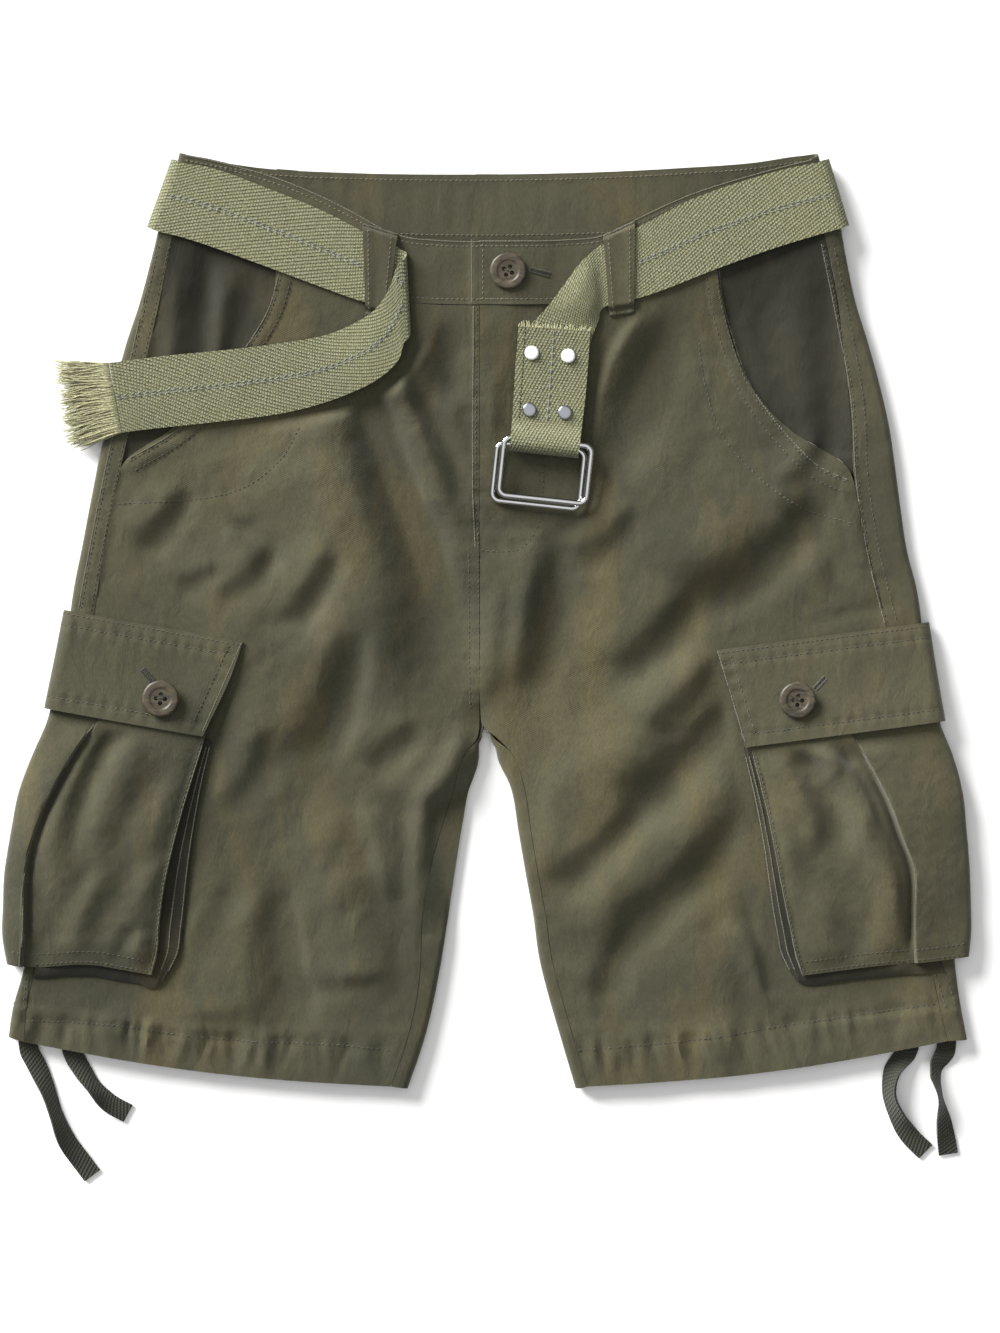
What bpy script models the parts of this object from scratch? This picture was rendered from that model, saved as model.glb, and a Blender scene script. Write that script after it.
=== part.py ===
"""Cargo shorts with a web belt, laid flat on their back, one closed solid for each piece that is cut and sewn.

The wearer's left is +X and the waist is at +Y, with +Z out of the surface that the shorts lie on. The tables are
in millimetres, and the meshes are in metres. Each piece of cloth is an open surface, worked out from the rows of
a short table, that a Solidify modifier gives its thickness. What lies on a panel uses that panel's own height.
"""

import math

import bmesh
import bpy
import numpy as np
from mathutils import Matrix, Vector

MM = 0.001

# Driving sizes, in millimetres.
WALL = 1.2              # twill of the panels and pockets
BAND_WALL = 1.8         # waistband, two layers and interfacing
FLAP_WALL = 1.8         # pocket flap, two layers
WEB_WALL = 1.6          # cotton web of the belt
LOOP_WALL = 1.2         # belt loop
TAPE_WALL = 1.2         # drawstring tape
SEAM = 0.3              # gap between two pieces at a seam
WAIST_GAP = 0.6         # gap under the waistband's lower edge, which curves between the panels' columns
LAYER = 0.5             # gap between two pieces that lie one over the other
LOFT = 8.3              # height of the front's outer side where the leg lies flattest
LOWEST_FRONT = 7.2      # the front never lies lower, so that the leg stays open
BAND_TOP = 12.2         # height of the front waistband's outer side
BAND_FLOOR = 3.6        # height of the back waistband's outer side, over the belt and its loops
FLY_LIFT = 2.1          # the left waistband laps this much higher over the right
FLY_STEP = 1.2          # and the left front below it this much
HEM_DEPTH = 20.0
HEM_STEP = 0.8
WIRE = 3.4              # ring wire
RING_WIDTH = 56.0
RING_HEIGHT = 38.0
RING_CORNER = 4.6
RING_SHIFT = 3.7        # the upper ring lies this far up and to the left of the wearer
BUTTON_DIAMETER = 22.0
BUTTON_HEIGHT = 3.4
RIVET_DIAMETER = 8.5
TAPE_WIDTH = 11.5

CROTCH = (-3.0, -62.0)
CROTCH_REACH = 14.0     # the front comes down and the back comes up to meet within this radius
CROTCH_FRONT_DIP = 2.9
CROTCH_BACK_RISE = 2.3
CROTCH_SPAN = 32.0      # the back's inner edge turns up from the floor to the inseam over this length

# One row for each section across a leg, from the waist seam to the hem: the outer fold, the side seam, the front's
# inner edge, the back's inner edge, and how wide the slanting pocket's mouth is open.
# fold_x, fold_y, seam_x, seam_y, front_x, front_y, back_x, back_y, opening
RIGHT_LEG = [
    (-195.9, 239.1, -187.2, 239.1, -4.5, 189.0, -1.5, 228.0, 63.0),
    (-206.4, 198.3, -195.0, 198.3, -4.5, 165.0, -1.5, 186.0, 66.0),
    (-219.0, 159.3, -204.0, 159.3, -4.5, 138.0, -1.5, 150.0, 51.0),
    (-227.4, 123.3, -212.4, 123.3, -4.5, 108.0, -1.5, 114.0, 31.0),
    (-233.5, 95.7, -219.0, 95.1, -4.5, 78.0, -1.5, 84.0, 0.0),
    (-243.6, 43.5, -229.8, 42.3, -4.5, 36.0, -1.5, 42.0, 0.0),
    (-250.5, 6.3, -235.2, 6.3, -4.5, -3.0, -1.5, 5.0, 0.0),
    (-253.2, -26.7, -240.6, -26.7, -4.5, -35.0, -1.5, -30.0, 0.0),
    (-256.5, -54.3, -246.1, -53.7, -4.5, -59.0, -1.5, -59.0, 0.0),
    (-257.0, -57.3, -246.6, -56.7, -4.5, -62.0, -1.5, -62.0, 0.0),
    (-258.2, -65.4, -248.3, -64.9, -5.6, -70.0, -2.8, -70.0, 0.0),
    (-259.4, -73.4, -250.0, -73.0, -11.8, -78.0, -4.6, -78.0, 0.0),
    (-263.0, -97.5, -255.0, -97.5, -18.8, -98.7, -10.2, -98.7, 0.0),
    (-269.5, -142.5, -262.6, -142.5, -33.0, -144.9, -18.0, -143.7, 0.0),
    (-275.2, -182.7, -268.6, -179.7, -39.2, -182.7, -24.0, -183.9, 0.0),
    (-279.0, -212.7, -272.2, -212.7, -40.8, -215.7, -29.4, -215.7, 0.0),
    (-284.6, -231.3, -276.0, -231.9, -46.2, -245.7, -36.6, -248.7, 0.0),
    (-287.4, -249.9, -277.6, -252.9, -57.6, -279.6, -47.4, -281.0, 0.0),
]
LEFT_LEG = [
    (211.9, 239.1, 201.0, 239.1, -4.5, 189.0, -1.5, 228.0, 66.0),
    (219.6, 198.3, 209.4, 198.3, -4.5, 165.0, -1.5, 186.0, 68.0),
    (229.8, 164.3, 214.2, 159.3, -4.5, 138.0, -1.5, 150.0, 62.0),
    (240.5, 123.3, 218.4, 123.3, -4.5, 108.0, -1.5, 114.0, 44.0),
    (245.6, 90.7, 220.2, 87.1, -4.5, 78.0, -1.5, 84.0, 0.0),
    (252.2, 43.5, 228.6, 42.3, -4.5, 36.0, -1.5, 42.0, 0.0),
    (260.8, 6.3, 238.2, 5.1, -4.5, -3.0, -1.5, 5.0, 0.0),
    (262.4, -26.7, 244.2, -26.7, -4.5, -35.0, -1.5, -30.0, 0.0),
    (264.9, -54.3, 249.1, -54.3, -4.5, -59.0, -1.5, -59.0, 0.0),
    (265.2, -57.3, 249.6, -57.3, -3.6, -61.0, -1.5, -62.0, 0.0),
    (266.5, -67.6, 250.9, -67.6, 5.4, -70.0, 1.4, -70.5, 0.0),
    (267.7, -77.8, 252.3, -77.8, 13.4, -78.0, 5.4, -79.0, 0.0),
    (270.2, -97.5, 255.0, -97.5, 20.4, -93.3, 12.4, -94.5, 0.0),
    (275.0, -142.5, 259.8, -142.5, 28.0, -137.7, 20.6, -138.9, 0.0),
    (279.0, -182.7, 264.0, -182.7, 35.2, -176.7, 27.8, -178.5, 0.0),
    (282.2, -213.9, 267.4, -210.9, 40.6, -210.9, 33.2, -212.7, 0.0),
    (284.6, -230.7, 272.0, -233.7, 49.6, -242.7, 42.2, -244.5, 0.0),
    (288.6, -251.7, 276.4, -252.3, 60.4, -279.6, 53.0, -281.0, 0.0),
]
HEM_SAG = 5.0           # the hem hangs this much lower in its middle

# The waistband in three runs, from the end that laps over on the left front, round the back, to the end under the
# lap. A half turn at each side fold joins them.
# upper_x, upper_y, lower_x, lower_y, height
BAND_LEFT_FRONT = [
    (-4.8, 227.7, -4.8, 189.3, BAND_TOP + FLY_LIFT),
    (26.0, 227.7, 26.0, 189.3, BAND_TOP + FLY_LIFT),
    (48.0, 228.6, 48.0, 190.2, BAND_TOP + 0.3),
    (65.4, 230.1, 68.6, 192.4, BAND_TOP),
    (82.8, 237.9, 90.0, 200.0, BAND_TOP),
    (122.4, 255.9, 135.0, 218.1, BAND_TOP),
    (160.8, 267.9, 173.4, 230.1, BAND_TOP),
    (183.6, 274.0, 196.2, 236.2, BAND_TOP),
    (194.7, 276.6, 207.7, 238.6, BAND_TOP),
]
BAND_BACK = [
    (194.7, 280.0, 207.7, 240.2, BAND_FLOOR),
    (183.6, 278.6, 195.0, 239.0, BAND_FLOOR),
    (160.8, 275.1, 168.6, 236.6, BAND_FLOOR),
    (122.0, 272.2, 126.0, 233.0, BAND_FLOOR),
    (82.0, 270.0, 84.0, 230.4, BAND_FLOOR),
    (-4.2, 268.0, -4.2, 228.3, BAND_FLOOR),
    (-88.2, 269.1, -89.4, 230.8, BAND_FLOOR),
    (-137.4, 272.0, -142.2, 234.6, BAND_FLOOR),
    (-168.0, 277.0, -179.4, 238.4, BAND_FLOOR),
    (-180.3, 279.6, -191.7, 239.8, BAND_FLOOR),
]
BAND_RIGHT_FRONT = [
    (-180.3, 279.2, -191.7, 239.4, BAND_TOP),
    (-168.0, 276.9, -180.6, 237.6, BAND_TOP),
    (-148.2, 272.1, -161.4, 233.0, BAND_TOP),
    (-124.2, 264.9, -137.4, 225.5, BAND_TOP),
    (-99.6, 254.7, -113.4, 217.0, BAND_TOP),
    (-79.2, 244.5, -91.8, 207.5, BAND_TOP),
    (-63.0, 235.5, -72.6, 197.5, BAND_TOP),
    (-46.2, 229.8, -51.0, 191.3, BAND_TOP),
    (-28.2, 228.2, -28.2, 189.7, BAND_TOP),
    (-4.2, 227.4, -4.2, 189.3, BAND_TOP),
    (20.0, 227.4, 20.0, 189.3, BAND_TOP),
]
BAND_REACH = (BAND_TOP - BAND_FLOOR) / 2

# Soft ridges (height above 0) and troughs (below 0) of the front, each along a line from (x1, y1) to (x2, y2).
# x1, y1, x2, y2, width, height
FOLDS = [
    (-85.0, 116.0, -34.0, 54.0, 16.0, -1.3),
    (-34.0, 54.0, -17.0, 0.0, 15.0, -1.3),
    (-112.0, 84.0, -70.0, -12.0, 26.0, 5.0),
    (-27.0, 124.0, -14.0, 40.0, 13.0, 2.2),
    (-214.0, 60.0, -110.0, 20.0, 16.0, -1.1),
    (-97.0, -40.0, -62.0, -96.0, 15.0, -1.1),
    (-66.0, -34.0, -28.0, -90.0, 20.0, 3.6),
    (-150.0, -6.0, -134.0, -96.0, 20.0, 3.2),
    (-70.0, -116.0, -50.0, -198.0, 13.0, -1.0),
    (-118.0, -166.0, -160.0, -226.0, 14.0, -1.1),
    (-118.0, -166.0, -106.0, -218.0, 13.0, -1.0),
    (-96.0, -136.0, -72.0, -206.0, 17.0, 4.0),
    (62.0, 176.0, 110.0, 120.0, 22.0, -1.4),
    (56.0, 34.0, 36.0, -46.0, 14.0, -1.1),
    (14.0, 34.0, 26.0, -20.0, 14.0, 2.6),
    (84.0, 88.0, 130.0, 34.0, 26.0, 5.0),
    (176.0, 64.0, 94.0, -20.0, 14.0, -1.1),
    (116.0, -78.0, 44.0, -159.0, 14.0, -1.1),
    (52.0, -104.0, 112.0, -44.0, 18.0, 4.2),
    (70.0, -150.0, 134.0, -104.0, 15.0, 4.0),
    (142.0, -140.0, 68.0, -204.0, 14.0, -1.1),
    (118.0, -182.0, 146.0, -222.0, 15.0, 3.4),
]

# The cloth is pressed flat along these lines, under the strap and its rings.
# x1, y1, x2, y2, width
PRESSED = [(36.0, 140.0, 31.0, 74.0, 50.0)]
PRESSED_DEPTH = 1.0

# Cargo pockets. A pocket's own axes start on the side seam at the flap's top: `across` runs from the seam towards
# the inner leg and `down` along the seam.
RIGHT_POCKET = {"origin": (-235.0, 3.0), "down": (-0.175, -0.985), "inward": 1, "fold": (-14.3, -6.0)}
LEFT_POCKET = {"origin": (238.5, -4.5), "down": (0.130, -0.9915), "inward": -1, "fold": (-21.9, -16.5)}
FLAP_DEPTH = 60.0
# The flap's reach to its front end and to its outer end, at three distances down.
# down, front, outer
RIGHT_FLAP = [(0.0, 90.0, -19.6), (20.0, 87.0, -19.8), (60.0, 76.5, -20.6)]
LEFT_FLAP = [(0.0, 101.5, -27.4), (29.0, 96.5, -28.0), (60.0, 92.5, -29.2)]
# The bag's front edge, the gusset's width beyond it, the pleat, the outer end, and how far the face stands up at
# its edges and in its middle.
# down, front, gusset, pleat, outer, edge_puff, puff
RIGHT_BAG = [
    (14.0, 82.0, 3.0, 24.0, -17.0, 0.0, 0.0),
    (46.0, 79.0, 4.0, 17.0, -16.8, 1.5, 1.0),
    (64.0, 77.5, 4.5, 12.0, -17.6, 2.2, 3.0),
    (84.0, 75.0, 6.0, 2.0, -22.5, 2.6, 4.5),
    (107.0, 72.5, 8.5, -6.0, -27.0, 3.0, 5.5),
    (135.0, 70.5, 11.5, -12.5, -27.3, 3.2, 6.0),
    (155.0, 70.0, 13.5, -13.5, -27.0, 3.2, 5.5),
    (177.0, 71.0, 14.0, -11.0, -23.8, 3.0, 4.0),
    (196.0, 72.5, 12.0, -8.0, -20.2, 2.8, 2.0),
    (206.0, 71.0, 9.0, -7.0, -16.0, 2.6, 0.5),
]
LEFT_BAG = [
    (14.0, 93.0, 3.0, 40.0, -25.0, 0.0, 0.0),
    (42.0, 91.0, 4.0, 33.0, -25.0, 1.5, 1.0),
    (60.0, 89.2, 4.5, 28.0, -26.0, 2.2, 3.0),
    (82.0, 86.5, 5.0, 19.5, -31.5, 2.6, 4.5),
    (101.0, 84.5, 5.5, 12.5, -34.0, 3.0, 5.5),
    (125.0, 83.0, 6.0, 7.0, -33.5, 3.2, 6.0),
    (145.0, 82.0, 7.0, 2.5, -32.5, 3.2, 5.5),
    (172.0, 80.0, 8.5, 5.5, -30.0, 3.0, 4.0),
    (190.0, 78.5, 8.0, 7.5, -27.5, 2.8, 2.0),
    (200.0, 76.0, 6.0, 8.0, -25.0, 2.6, 0.5),
]
BAG_OUTER_DROP = (9.0, 2.0)     # how much lower each bag's bottom edge is at its outer end, right and left
PLEAT_STEP = 2.0
GUSSET_WALL = 1.0
GUSSET_TUCK = 1.4        # how far the gusset reaches in under the face
FACE_ROWS = 13
BAG_TURN = 5.2          # the outer turn of the bag, and of the flap over it
FLAP_TURN = 6.4

# The belt, from the raw end of the tail to the raw end of the folded strap: both edges and the web's middle.
BELT_FLOOR = 2.3
BELT_FRONT = BAND_TOP + LAYER + WEB_WALL / 2
# upper_x, upper_y, upper_z, lower_x, lower_y, lower_z, camber
TAIL = [
    (-226.4, 154.2, 12.4, -218.6, 112.6, 11.8, 0.0),
    (-200.0, 157.7, 11.8, -203.0, 114.6, 11.2, 0.3),
    (-151.8, 162.6, 11.4, -160.0, 119.3, 10.8, 0.3),
    (-119.4, 166.8, 11.6, -121.0, 124.5, 10.8, 0.3),
    (-94.2, 171.6, 12.8, -96.0, 131.0, 11.4, 0.5),
    (-80.4, 177.2, 14.6, -83.0, 135.8, 12.4, 0.8),
    (-67.0, 185.8, 16.6, -67.6, 143.0, 14.4, 1.0),
    (-60.5, 194.5, 17.4, -57.5, 150.5, 15.8, 0.6),
    (-56.0, 205.0, 17.5, -51.5, 158.5, 16.8, 0.3),
    (-51.5, 215.0, 17.4, -48.5, 167.5, 17.0, 0.0),
]
CREASE_REACH = 2.2
BELT_RIGHT_FRONT = [
    (-50.5, 221.5, BELT_FRONT, -48.5, 178.5, BELT_FRONT, 0.0),
    (-58.0, 227.4, BELT_FRONT, -57.5, 187.0, BELT_FRONT, 0.0),
    (-73.2, 232.5, BELT_FRONT, -76.0, 191.4, BELT_FRONT, 0.0),
    (-91.2, 241.8, BELT_FRONT, -97.0, 198.8, BELT_FRONT, 0.0),
    (-133.2, 259.4, BELT_FRONT, -143.4, 216.0, BELT_FRONT, 0.0),
    (-169.8, 272.0, BELT_FRONT, -184.2, 229.9, BELT_FRONT, 0.0),
    (-183.3, 274.2, BELT_FRONT, -198.1, 233.4, BELT_FRONT, 0.0),
]
BELT_BACK = [
    (-183.3, 275.6, BELT_FLOOR, -198.1, 234.8, BELT_FLOOR, 0.0),
    (-168.0, 273.0, BELT_FLOOR, -181.0, 231.6, BELT_FLOOR, 0.0),
    (-137.4, 267.4, BELT_FLOOR, -143.0, 224.6, BELT_FLOOR, 0.0),
    (-88.0, 263.6, BELT_FLOOR, -89.4, 220.2, BELT_FLOOR, 0.0),
    (0.0, 262.4, BELT_FLOOR, 0.0, 218.6, BELT_FLOOR, 0.0),
    (82.0, 264.2, BELT_FLOOR, 84.4, 220.6, BELT_FLOOR, 0.0),
    (160.8, 270.0, BELT_FLOOR, 169.6, 227.4, BELT_FLOOR, 0.0),
    (184.6, 273.6, BELT_FLOOR, 197.0, 232.6, BELT_FLOOR, 0.0),
    (199.2, 276.0, BELT_FLOOR, 211.3, 236.0, BELT_FLOOR, 0.0),
]
BELT_LEFT_FRONT = [
    (199.2, 274.6, BELT_FRONT, 211.3, 234.6, BELT_FRONT, 0.0),
    (184.6, 271.6, BELT_FRONT, 198.0, 230.8, BELT_FRONT, 0.0),
    (160.8, 265.3, BELT_FRONT, 174.6, 223.7, BELT_FRONT, 0.0),
    (122.4, 252.0, BELT_FRONT, 136.0, 209.9, BELT_FRONT, 0.0),
    (90.0, 235.2, BELT_FRONT, 94.8, 194.2, BELT_FRONT, 0.0),
    (74.0, 227.8, BELT_FRONT, 75.4, 189.0, BELT_FRONT, 0.0),
]
BELT_REACH = (BELT_FRONT - BELT_FLOOR) / 2
STRAP_LOWER = [
    (66.5, 223.6, BELT_FRONT, 70.6, 187.8, BELT_FRONT, 0.2),
    (56.5, 214.4, 15.2, 67.6, 185.0, BELT_FRONT, 2.8),
    (46.5, 201.0, 15.4, 66.6, 180.2, 13.4, 3.6),
    (36.0, 187.5, 14.8, 64.6, 174.4, 13.4, 0.8),
    (24.5, 175.0, 13.7, 62.2, 166.8, 13.1, 0.0),
    (17.6, 160.0, 12.7, 60.8, 155.6, 12.5, 0.0),
    (16.2, 138.6, 12.1, 59.0, 134.6, 12.1, 0.0),
    (15.1, 121.0, 12.0, 56.9, 116.6, 12.0, 0.0),
]
STRAP_UPPER = [
    (15.1, 121.0, 14.2, 56.9, 116.6, 14.2, 0.0),
    (16.2, 138.6, 14.2, 59.0, 134.6, 14.2, 0.0),
    (17.6, 158.0, 14.9, 60.6, 154.6, 14.8, 0.0),
    (18.8, 176.0, 16.5, 61.7, 173.0, 16.2, 0.0),
]

# The bight of the strap, round the bars of both rings. The rings turn together about its axis.
BIGHT_CENTRE = (34.6, 105.4, 15.0)
BIGHT_INNER = 4.6
STRAP_YAW = -6.2        # degrees
STRAP_HALF = 20.8
RING_TILT = 3.4         # degrees, the rings' free ends lie lower than their bars
BIGHT_STEPS = 8

# x, y, and the height of the web's middle there
RIVETS = [(26.8, 160.0, 15.3), (48.6, 158.2, 15.3), (25.4, 126.0, 14.3), (46.6, 124.4, 14.3)]

# Belt loops: the corners upper right, upper left, lower right and lower left.
FRONT_LOOPS = {
    "belt_loop_front_right": ((-74.5, 238.2), (-53.5, 231.8), (-72.6, 182.6), (-60.0, 180.6)),
    "belt_loop_front_left": ((69.5, 231.0), (88.5, 239.8), (73.5, 182.4), (88.0, 184.4)),
}
BACK_LOOPS = {
    "belt_loop_back_right": ((-126.5, 271.6), (-113.5, 270.6), (-128.5, 215.0), (-115.5, 215.0)),
    "belt_loop_back_centre": ((-6.5, 268.4), (6.5, 268.4), (-6.5, 212.0), (6.5, 212.0)),
    "belt_loop_back_left": ((111.5, 271.0), (124.5, 272.2), (113.5, 215.0), (126.5, 215.0)),
}

# Buttons: the waist button's place, and each cargo button's distance across and down its pocket.
WAIST_BUTTON = (12.6, 209.1)
CARGO_BUTTONS = {"right": (48.0, 42.0), "left": (58.0, 36.0)}

# Drawstring ends: the tape's middle, and its roll about its own length in degrees.
DRAWSTRINGS = {
    "drawstring_right_outer": [
        (-272.0, -226.0, 2.4, 0), (-274.5, -243.0, 2.4, 0), (-276.0, -256.0, 2.4, 0), (-270.5, -268.0, 2.6, 20),
        (-263.5, -283.0, 4.6, 50), (-258.4, -298.0, 4.8, 55), (-252.0, -314.0, 2.8, 25), (-243.5, -326.0, 1.2, 0),
        (-237.5, -334.0, 1.0, 0),
    ],
    "drawstring_right_inner": [
        (-246.0, -216.0, 2.4, 0), (-249.0, -238.0, 2.4, 0), (-249.5, -259.0, 2.4, 0), (-243.5, -270.0, 3.0, 30),
        (-235.5, -281.0, 4.6, 50), (-226.8, -290.5, 2.2, 15), (-216.0, -296.5, 1.0, 0),
    ],
    "drawstring_left_inner": [
        (251.0, -216.0, 2.4, 0), (253.0, -238.0, 2.4, 0), (253.0, -259.0, 2.4, 0), (244.5, -269.0, 3.6, -35),
        (241.6, -284.0, 4.8, -55), (246.5, -298.0, 4.2, -45), (254.4, -310.0, 1.8, -10), (264.0, -319.5, 1.0, 0),
    ],
    "drawstring_left_outer": [
        (270.0, -226.0, 2.4, 0), (274.0, -243.0, 2.4, 0), (276.4, -256.5, 2.4, 0), (269.8, -269.0, 4.4, 45),
        (272.6, -287.0, 5.6, 75), (274.6, -301.0, 4.0, 40), (277.6, -321.0, 1.0, 0),
    ],
}

TAPE_EXIT = -260.0      # the tapes lie flat as far as this, inside the hem's casing

FRINGE_STRANDS = 26     # in each of two rows
FRINGE_STRIP = 2.0
FRINGE_LENGTH = 28.0
FRINGE_FAN = 9.0        # how much wider the strands' tips spread than their roots

OLIVE = (0.085, 0.080, 0.045)
OLIVE_DARK = (0.060, 0.057, 0.033)
KHAKI = (0.30, 0.30, 0.155)
TAPE_GREEN = (0.045, 0.048, 0.034)
BUTTON_BROWN = (0.095, 0.070, 0.042)
STEEL = (0.72, 0.72, 0.72)


def smoothstep(t):
    """0 below 0, 1 above 1, and a soft S between."""
    t = min(max(t, 0.0), 1.0)
    return t * t * (3.0 - 2.0 * t)


class Rows:
    """A table read as smooth curves, one for each column, by the distance along its rows."""

    def __init__(self, rows, measured=2):
        self.rows = np.array(rows, float)
        steps = np.linalg.norm(np.diff(self.rows[:, :measured], axis=0), axis=1)
        self.places = np.concatenate([[0.0], np.cumsum(steps)])
        self.length = self.places[-1]
        slopes = np.diff(self.rows, axis=0) / steps[:, None]
        before, after = steps[:-1, None], steps[1:, None]
        inner = (slopes[:-1] * after + slopes[1:] * before) / (before + after)
        self.slopes = np.vstack([slopes[:1], inner, slopes[-1:]])

    def at(self, place):
        """Every column at a distance from the first row."""
        last = len(self.places) - 2
        i = int(np.clip(np.searchsorted(self.places, place) - 1, 0, last))
        gap = self.places[i + 1] - self.places[i]
        t = (place - self.places[i]) / gap
        start, end = self.rows[i], self.rows[i + 1]
        leave, arrive = self.slopes[i] * gap, self.slopes[i + 1] * gap
        value = start * (2 * t**3 - 3 * t**2 + 1) + end * (3 * t**2 - 2 * t**3)
        return value + leave * (t**3 - 2 * t**2 + t) + arrive * (t**3 - t**2)

    def stations(self, longest, widest_turn):
        """Distances at most `longest` apart, with `widest_turn` degrees or less between them."""
        places = [0.0]
        for i in range(len(self.places) - 1):
            start, end = self.slopes[i][:3], self.slopes[i + 1][:3]
            cosine = np.dot(start, end) / (np.linalg.norm(start) * np.linalg.norm(end))
            turn = math.degrees(math.acos(min(max(cosine, -1.0), 1.0)))
            gap = self.places[i + 1] - self.places[i]
            count = max(1, round(gap / longest), math.ceil(turn / widest_turn))
            places += spread(self.places[i], self.places[i + 1], count + 1)[1:]
        return places


def spread(start, end, count):
    """`count` evenly spaced values, with both ends."""
    return [float(value) for value in np.linspace(start, end, count)]


# Heights of the front's outer side and of the back's outer side over the floor.

def fold_height(x, y):
    """The sum of the soft ridges and troughs at a place."""
    total = 0.0
    for x1, y1, x2, y2, width, height in FOLDS:
        run = (x2 - x1, y2 - y1)
        share = ((x - x1) * run[0] + (y - y1) * run[1]) / (run[0] ** 2 + run[1] ** 2)
        share = min(max(share, 0.0), 1.0)
        away = math.hypot(x - x1 - share * run[0], y - y1 - share * run[1])
        total += height * math.exp(-((away / width) ** 2))
    return total


def pressed_share(x, y):
    """1 where the cloth is pressed flat, and 0 well away from there."""
    share = 0.0
    for x1, y1, x2, y2, width in PRESSED:
        run = (x2 - x1, y2 - y1)
        along = ((x - x1) * run[0] + (y - y1) * run[1]) / (run[0] ** 2 + run[1] ** 2)
        along = min(max(along, 0.0), 1.0)
        away = math.hypot(x - x1 - along * run[0], y - y1 - along * run[1])
        share = max(share, smoothstep(1.6 - 1.6 * away / width))
    return share


def waist_rise(x, y):
    """0 on the legs and 1 at the waist seam, which climbs towards both sides."""
    seam_y = 189.5 + 0.385 * max(abs(x) - 52.0, 0.0)
    return smoothstep((y - seam_y + 64.0) / 62.0)


def crotch_share(x, y):
    return smoothstep(1.0 - math.hypot(x - CROTCH[0], y - CROTCH[1]) / CROTCH_REACH)


def front_height(x, y):
    rise = waist_rise(x, y)
    pressed = pressed_share(x, y)
    z = LOFT + fold_height(x, y) * (1.0 - rise) * (1.0 - pressed) - PRESSED_DEPTH * pressed
    z = max(z, LOWEST_FRONT)
    z += (BAND_TOP - z) * rise
    return z - CROTCH_FRONT_DIP * crotch_share(x, y)


def back_height(x, y):
    seam_y = 229.0 + 11.0 * (x / 200.0) ** 2
    rise = BAND_FLOOR * smoothstep((y - seam_y + 64.0) / 46.0)
    return rise + CROTCH_BACK_RISE * crotch_share(x, y)


def fly_lift(x, y):
    """How much higher the left front's lap lies, from the waist to the fly's lower end."""
    lift = FLY_STEP + (FLY_LIFT - FLY_STEP) * smoothstep((y - 150.0) / 35.0)
    return lift * (1.0 - smoothstep((x - 6.0) / 16.0 * FLY_STEP / lift)) * smoothstep((y - 32.0) / 18.0)

# Meshes.

def material(name, colour, roughness, metallic=0.0):
    made = bpy.data.materials.new(name)
    made.use_nodes = True
    shader = made.node_tree.nodes["Principled BSDF"]
    shader.inputs["Base Color"].default_value = (*colour, 1.0)
    shader.inputs["Roughness"].default_value = roughness
    shader.inputs["Metallic"].default_value = metallic
    return made


def finish(name, mesh, finish_material, smooth=True):
    """Put a mesh in the shorts' collection as a named object."""
    for polygon in mesh.polygons:
        polygon.use_smooth = smooth
    obj = bpy.data.objects.new(name, mesh)
    obj.data.materials.append(finish_material)
    SHORTS.objects.link(obj)
    return obj


def cloth(name, surface, columns, rows, wall, finish_material, outer=-1.0, flip=False):
    """A sheet whose point at column u and row v is surface(u, v), thickened by its wall.

    With `outer` at -1 the surface is the cloth's outer side and the wall grows inwards; at 0 it is its middle.
    """
    bm = bmesh.new()
    across, down = len(columns) - 1, len(rows) - 1
    bmesh.ops.create_grid(bm, x_segments=across, y_segments=down, size=0.5)
    for vertex in bm.verts:
        i = round((vertex.co.x + 0.5) * across)
        j = round((0.5 - vertex.co.y) * down)
        vertex.co = Vector(surface(columns[i], rows[j])) * MM
    if flip:
        bmesh.ops.reverse_faces(bm, faces=bm.faces)
    mesh = bpy.data.meshes.new(name)
    bm.to_mesh(mesh)
    bm.free()
    obj = finish(name, mesh, finish_material)
    thicken = obj.modifiers.new("Wall", "SOLIDIFY")
    thicken.thickness = wall * MM
    thicken.offset = outer
    thicken.use_quality_normals = True
    return obj


# Panels of the legs.

class Leg:
    """One leg's sections, read from its table at any share of the way from the waist to the hem."""

    def __init__(self, table, side):
        self.rows = Rows(table, measured=4)
        self.side = side

    def section(self, v):
        row = self.rows.at(v * self.rows.length)
        fold, seam, front, back = row[0:2], row[2:4], row[4:6], row[6:8]
        return fold, seam, front, back, max(row[8], 0.0)

    def outer_edge(self, v):
        """The front's outer edge: the pocket opening, and below it the side seam."""
        fold, seam, front, back, opening = self.section(v)
        inward = (front - seam) / np.linalg.norm(front - seam)
        return seam + inward * opening

    def hem_share(self, v):
        """The share of the way into the hem's step, with the hem's depth at the side seam."""
        from_hem = (1.0 - v) * self.rows.length / math.sqrt(2.0)
        return smoothstep((HEM_DEPTH + 1.5 - from_hem) / 3.0)


def band_lower_edge(front):
    """The waistband's lower edge as x and y, on the front or on the back."""
    band = Rows(band_rows(), measured=6)
    middle = (BAND_TOP + BAND_FLOOR) / 2
    points = [band.at(place)[3:6] for place in band.stations(24.0, 24.0)]
    chosen = [(x, y) for x, y, height in points if (height > middle) == front]
    chosen.sort()
    return np.array(chosen)


def settle_to_waist(point, top, v, edge):
    """Move a point near the waist so that the first row follows the waistband's lower edge."""
    waist_y = np.interp(top[0], edge[:, 0], edge[:, 1]) - WAIST_GAP
    fade = max(0.0, 1.0 - v / 0.2) ** 2
    return point + np.array([0.0, (waist_y - top[1]) * fade])


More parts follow.
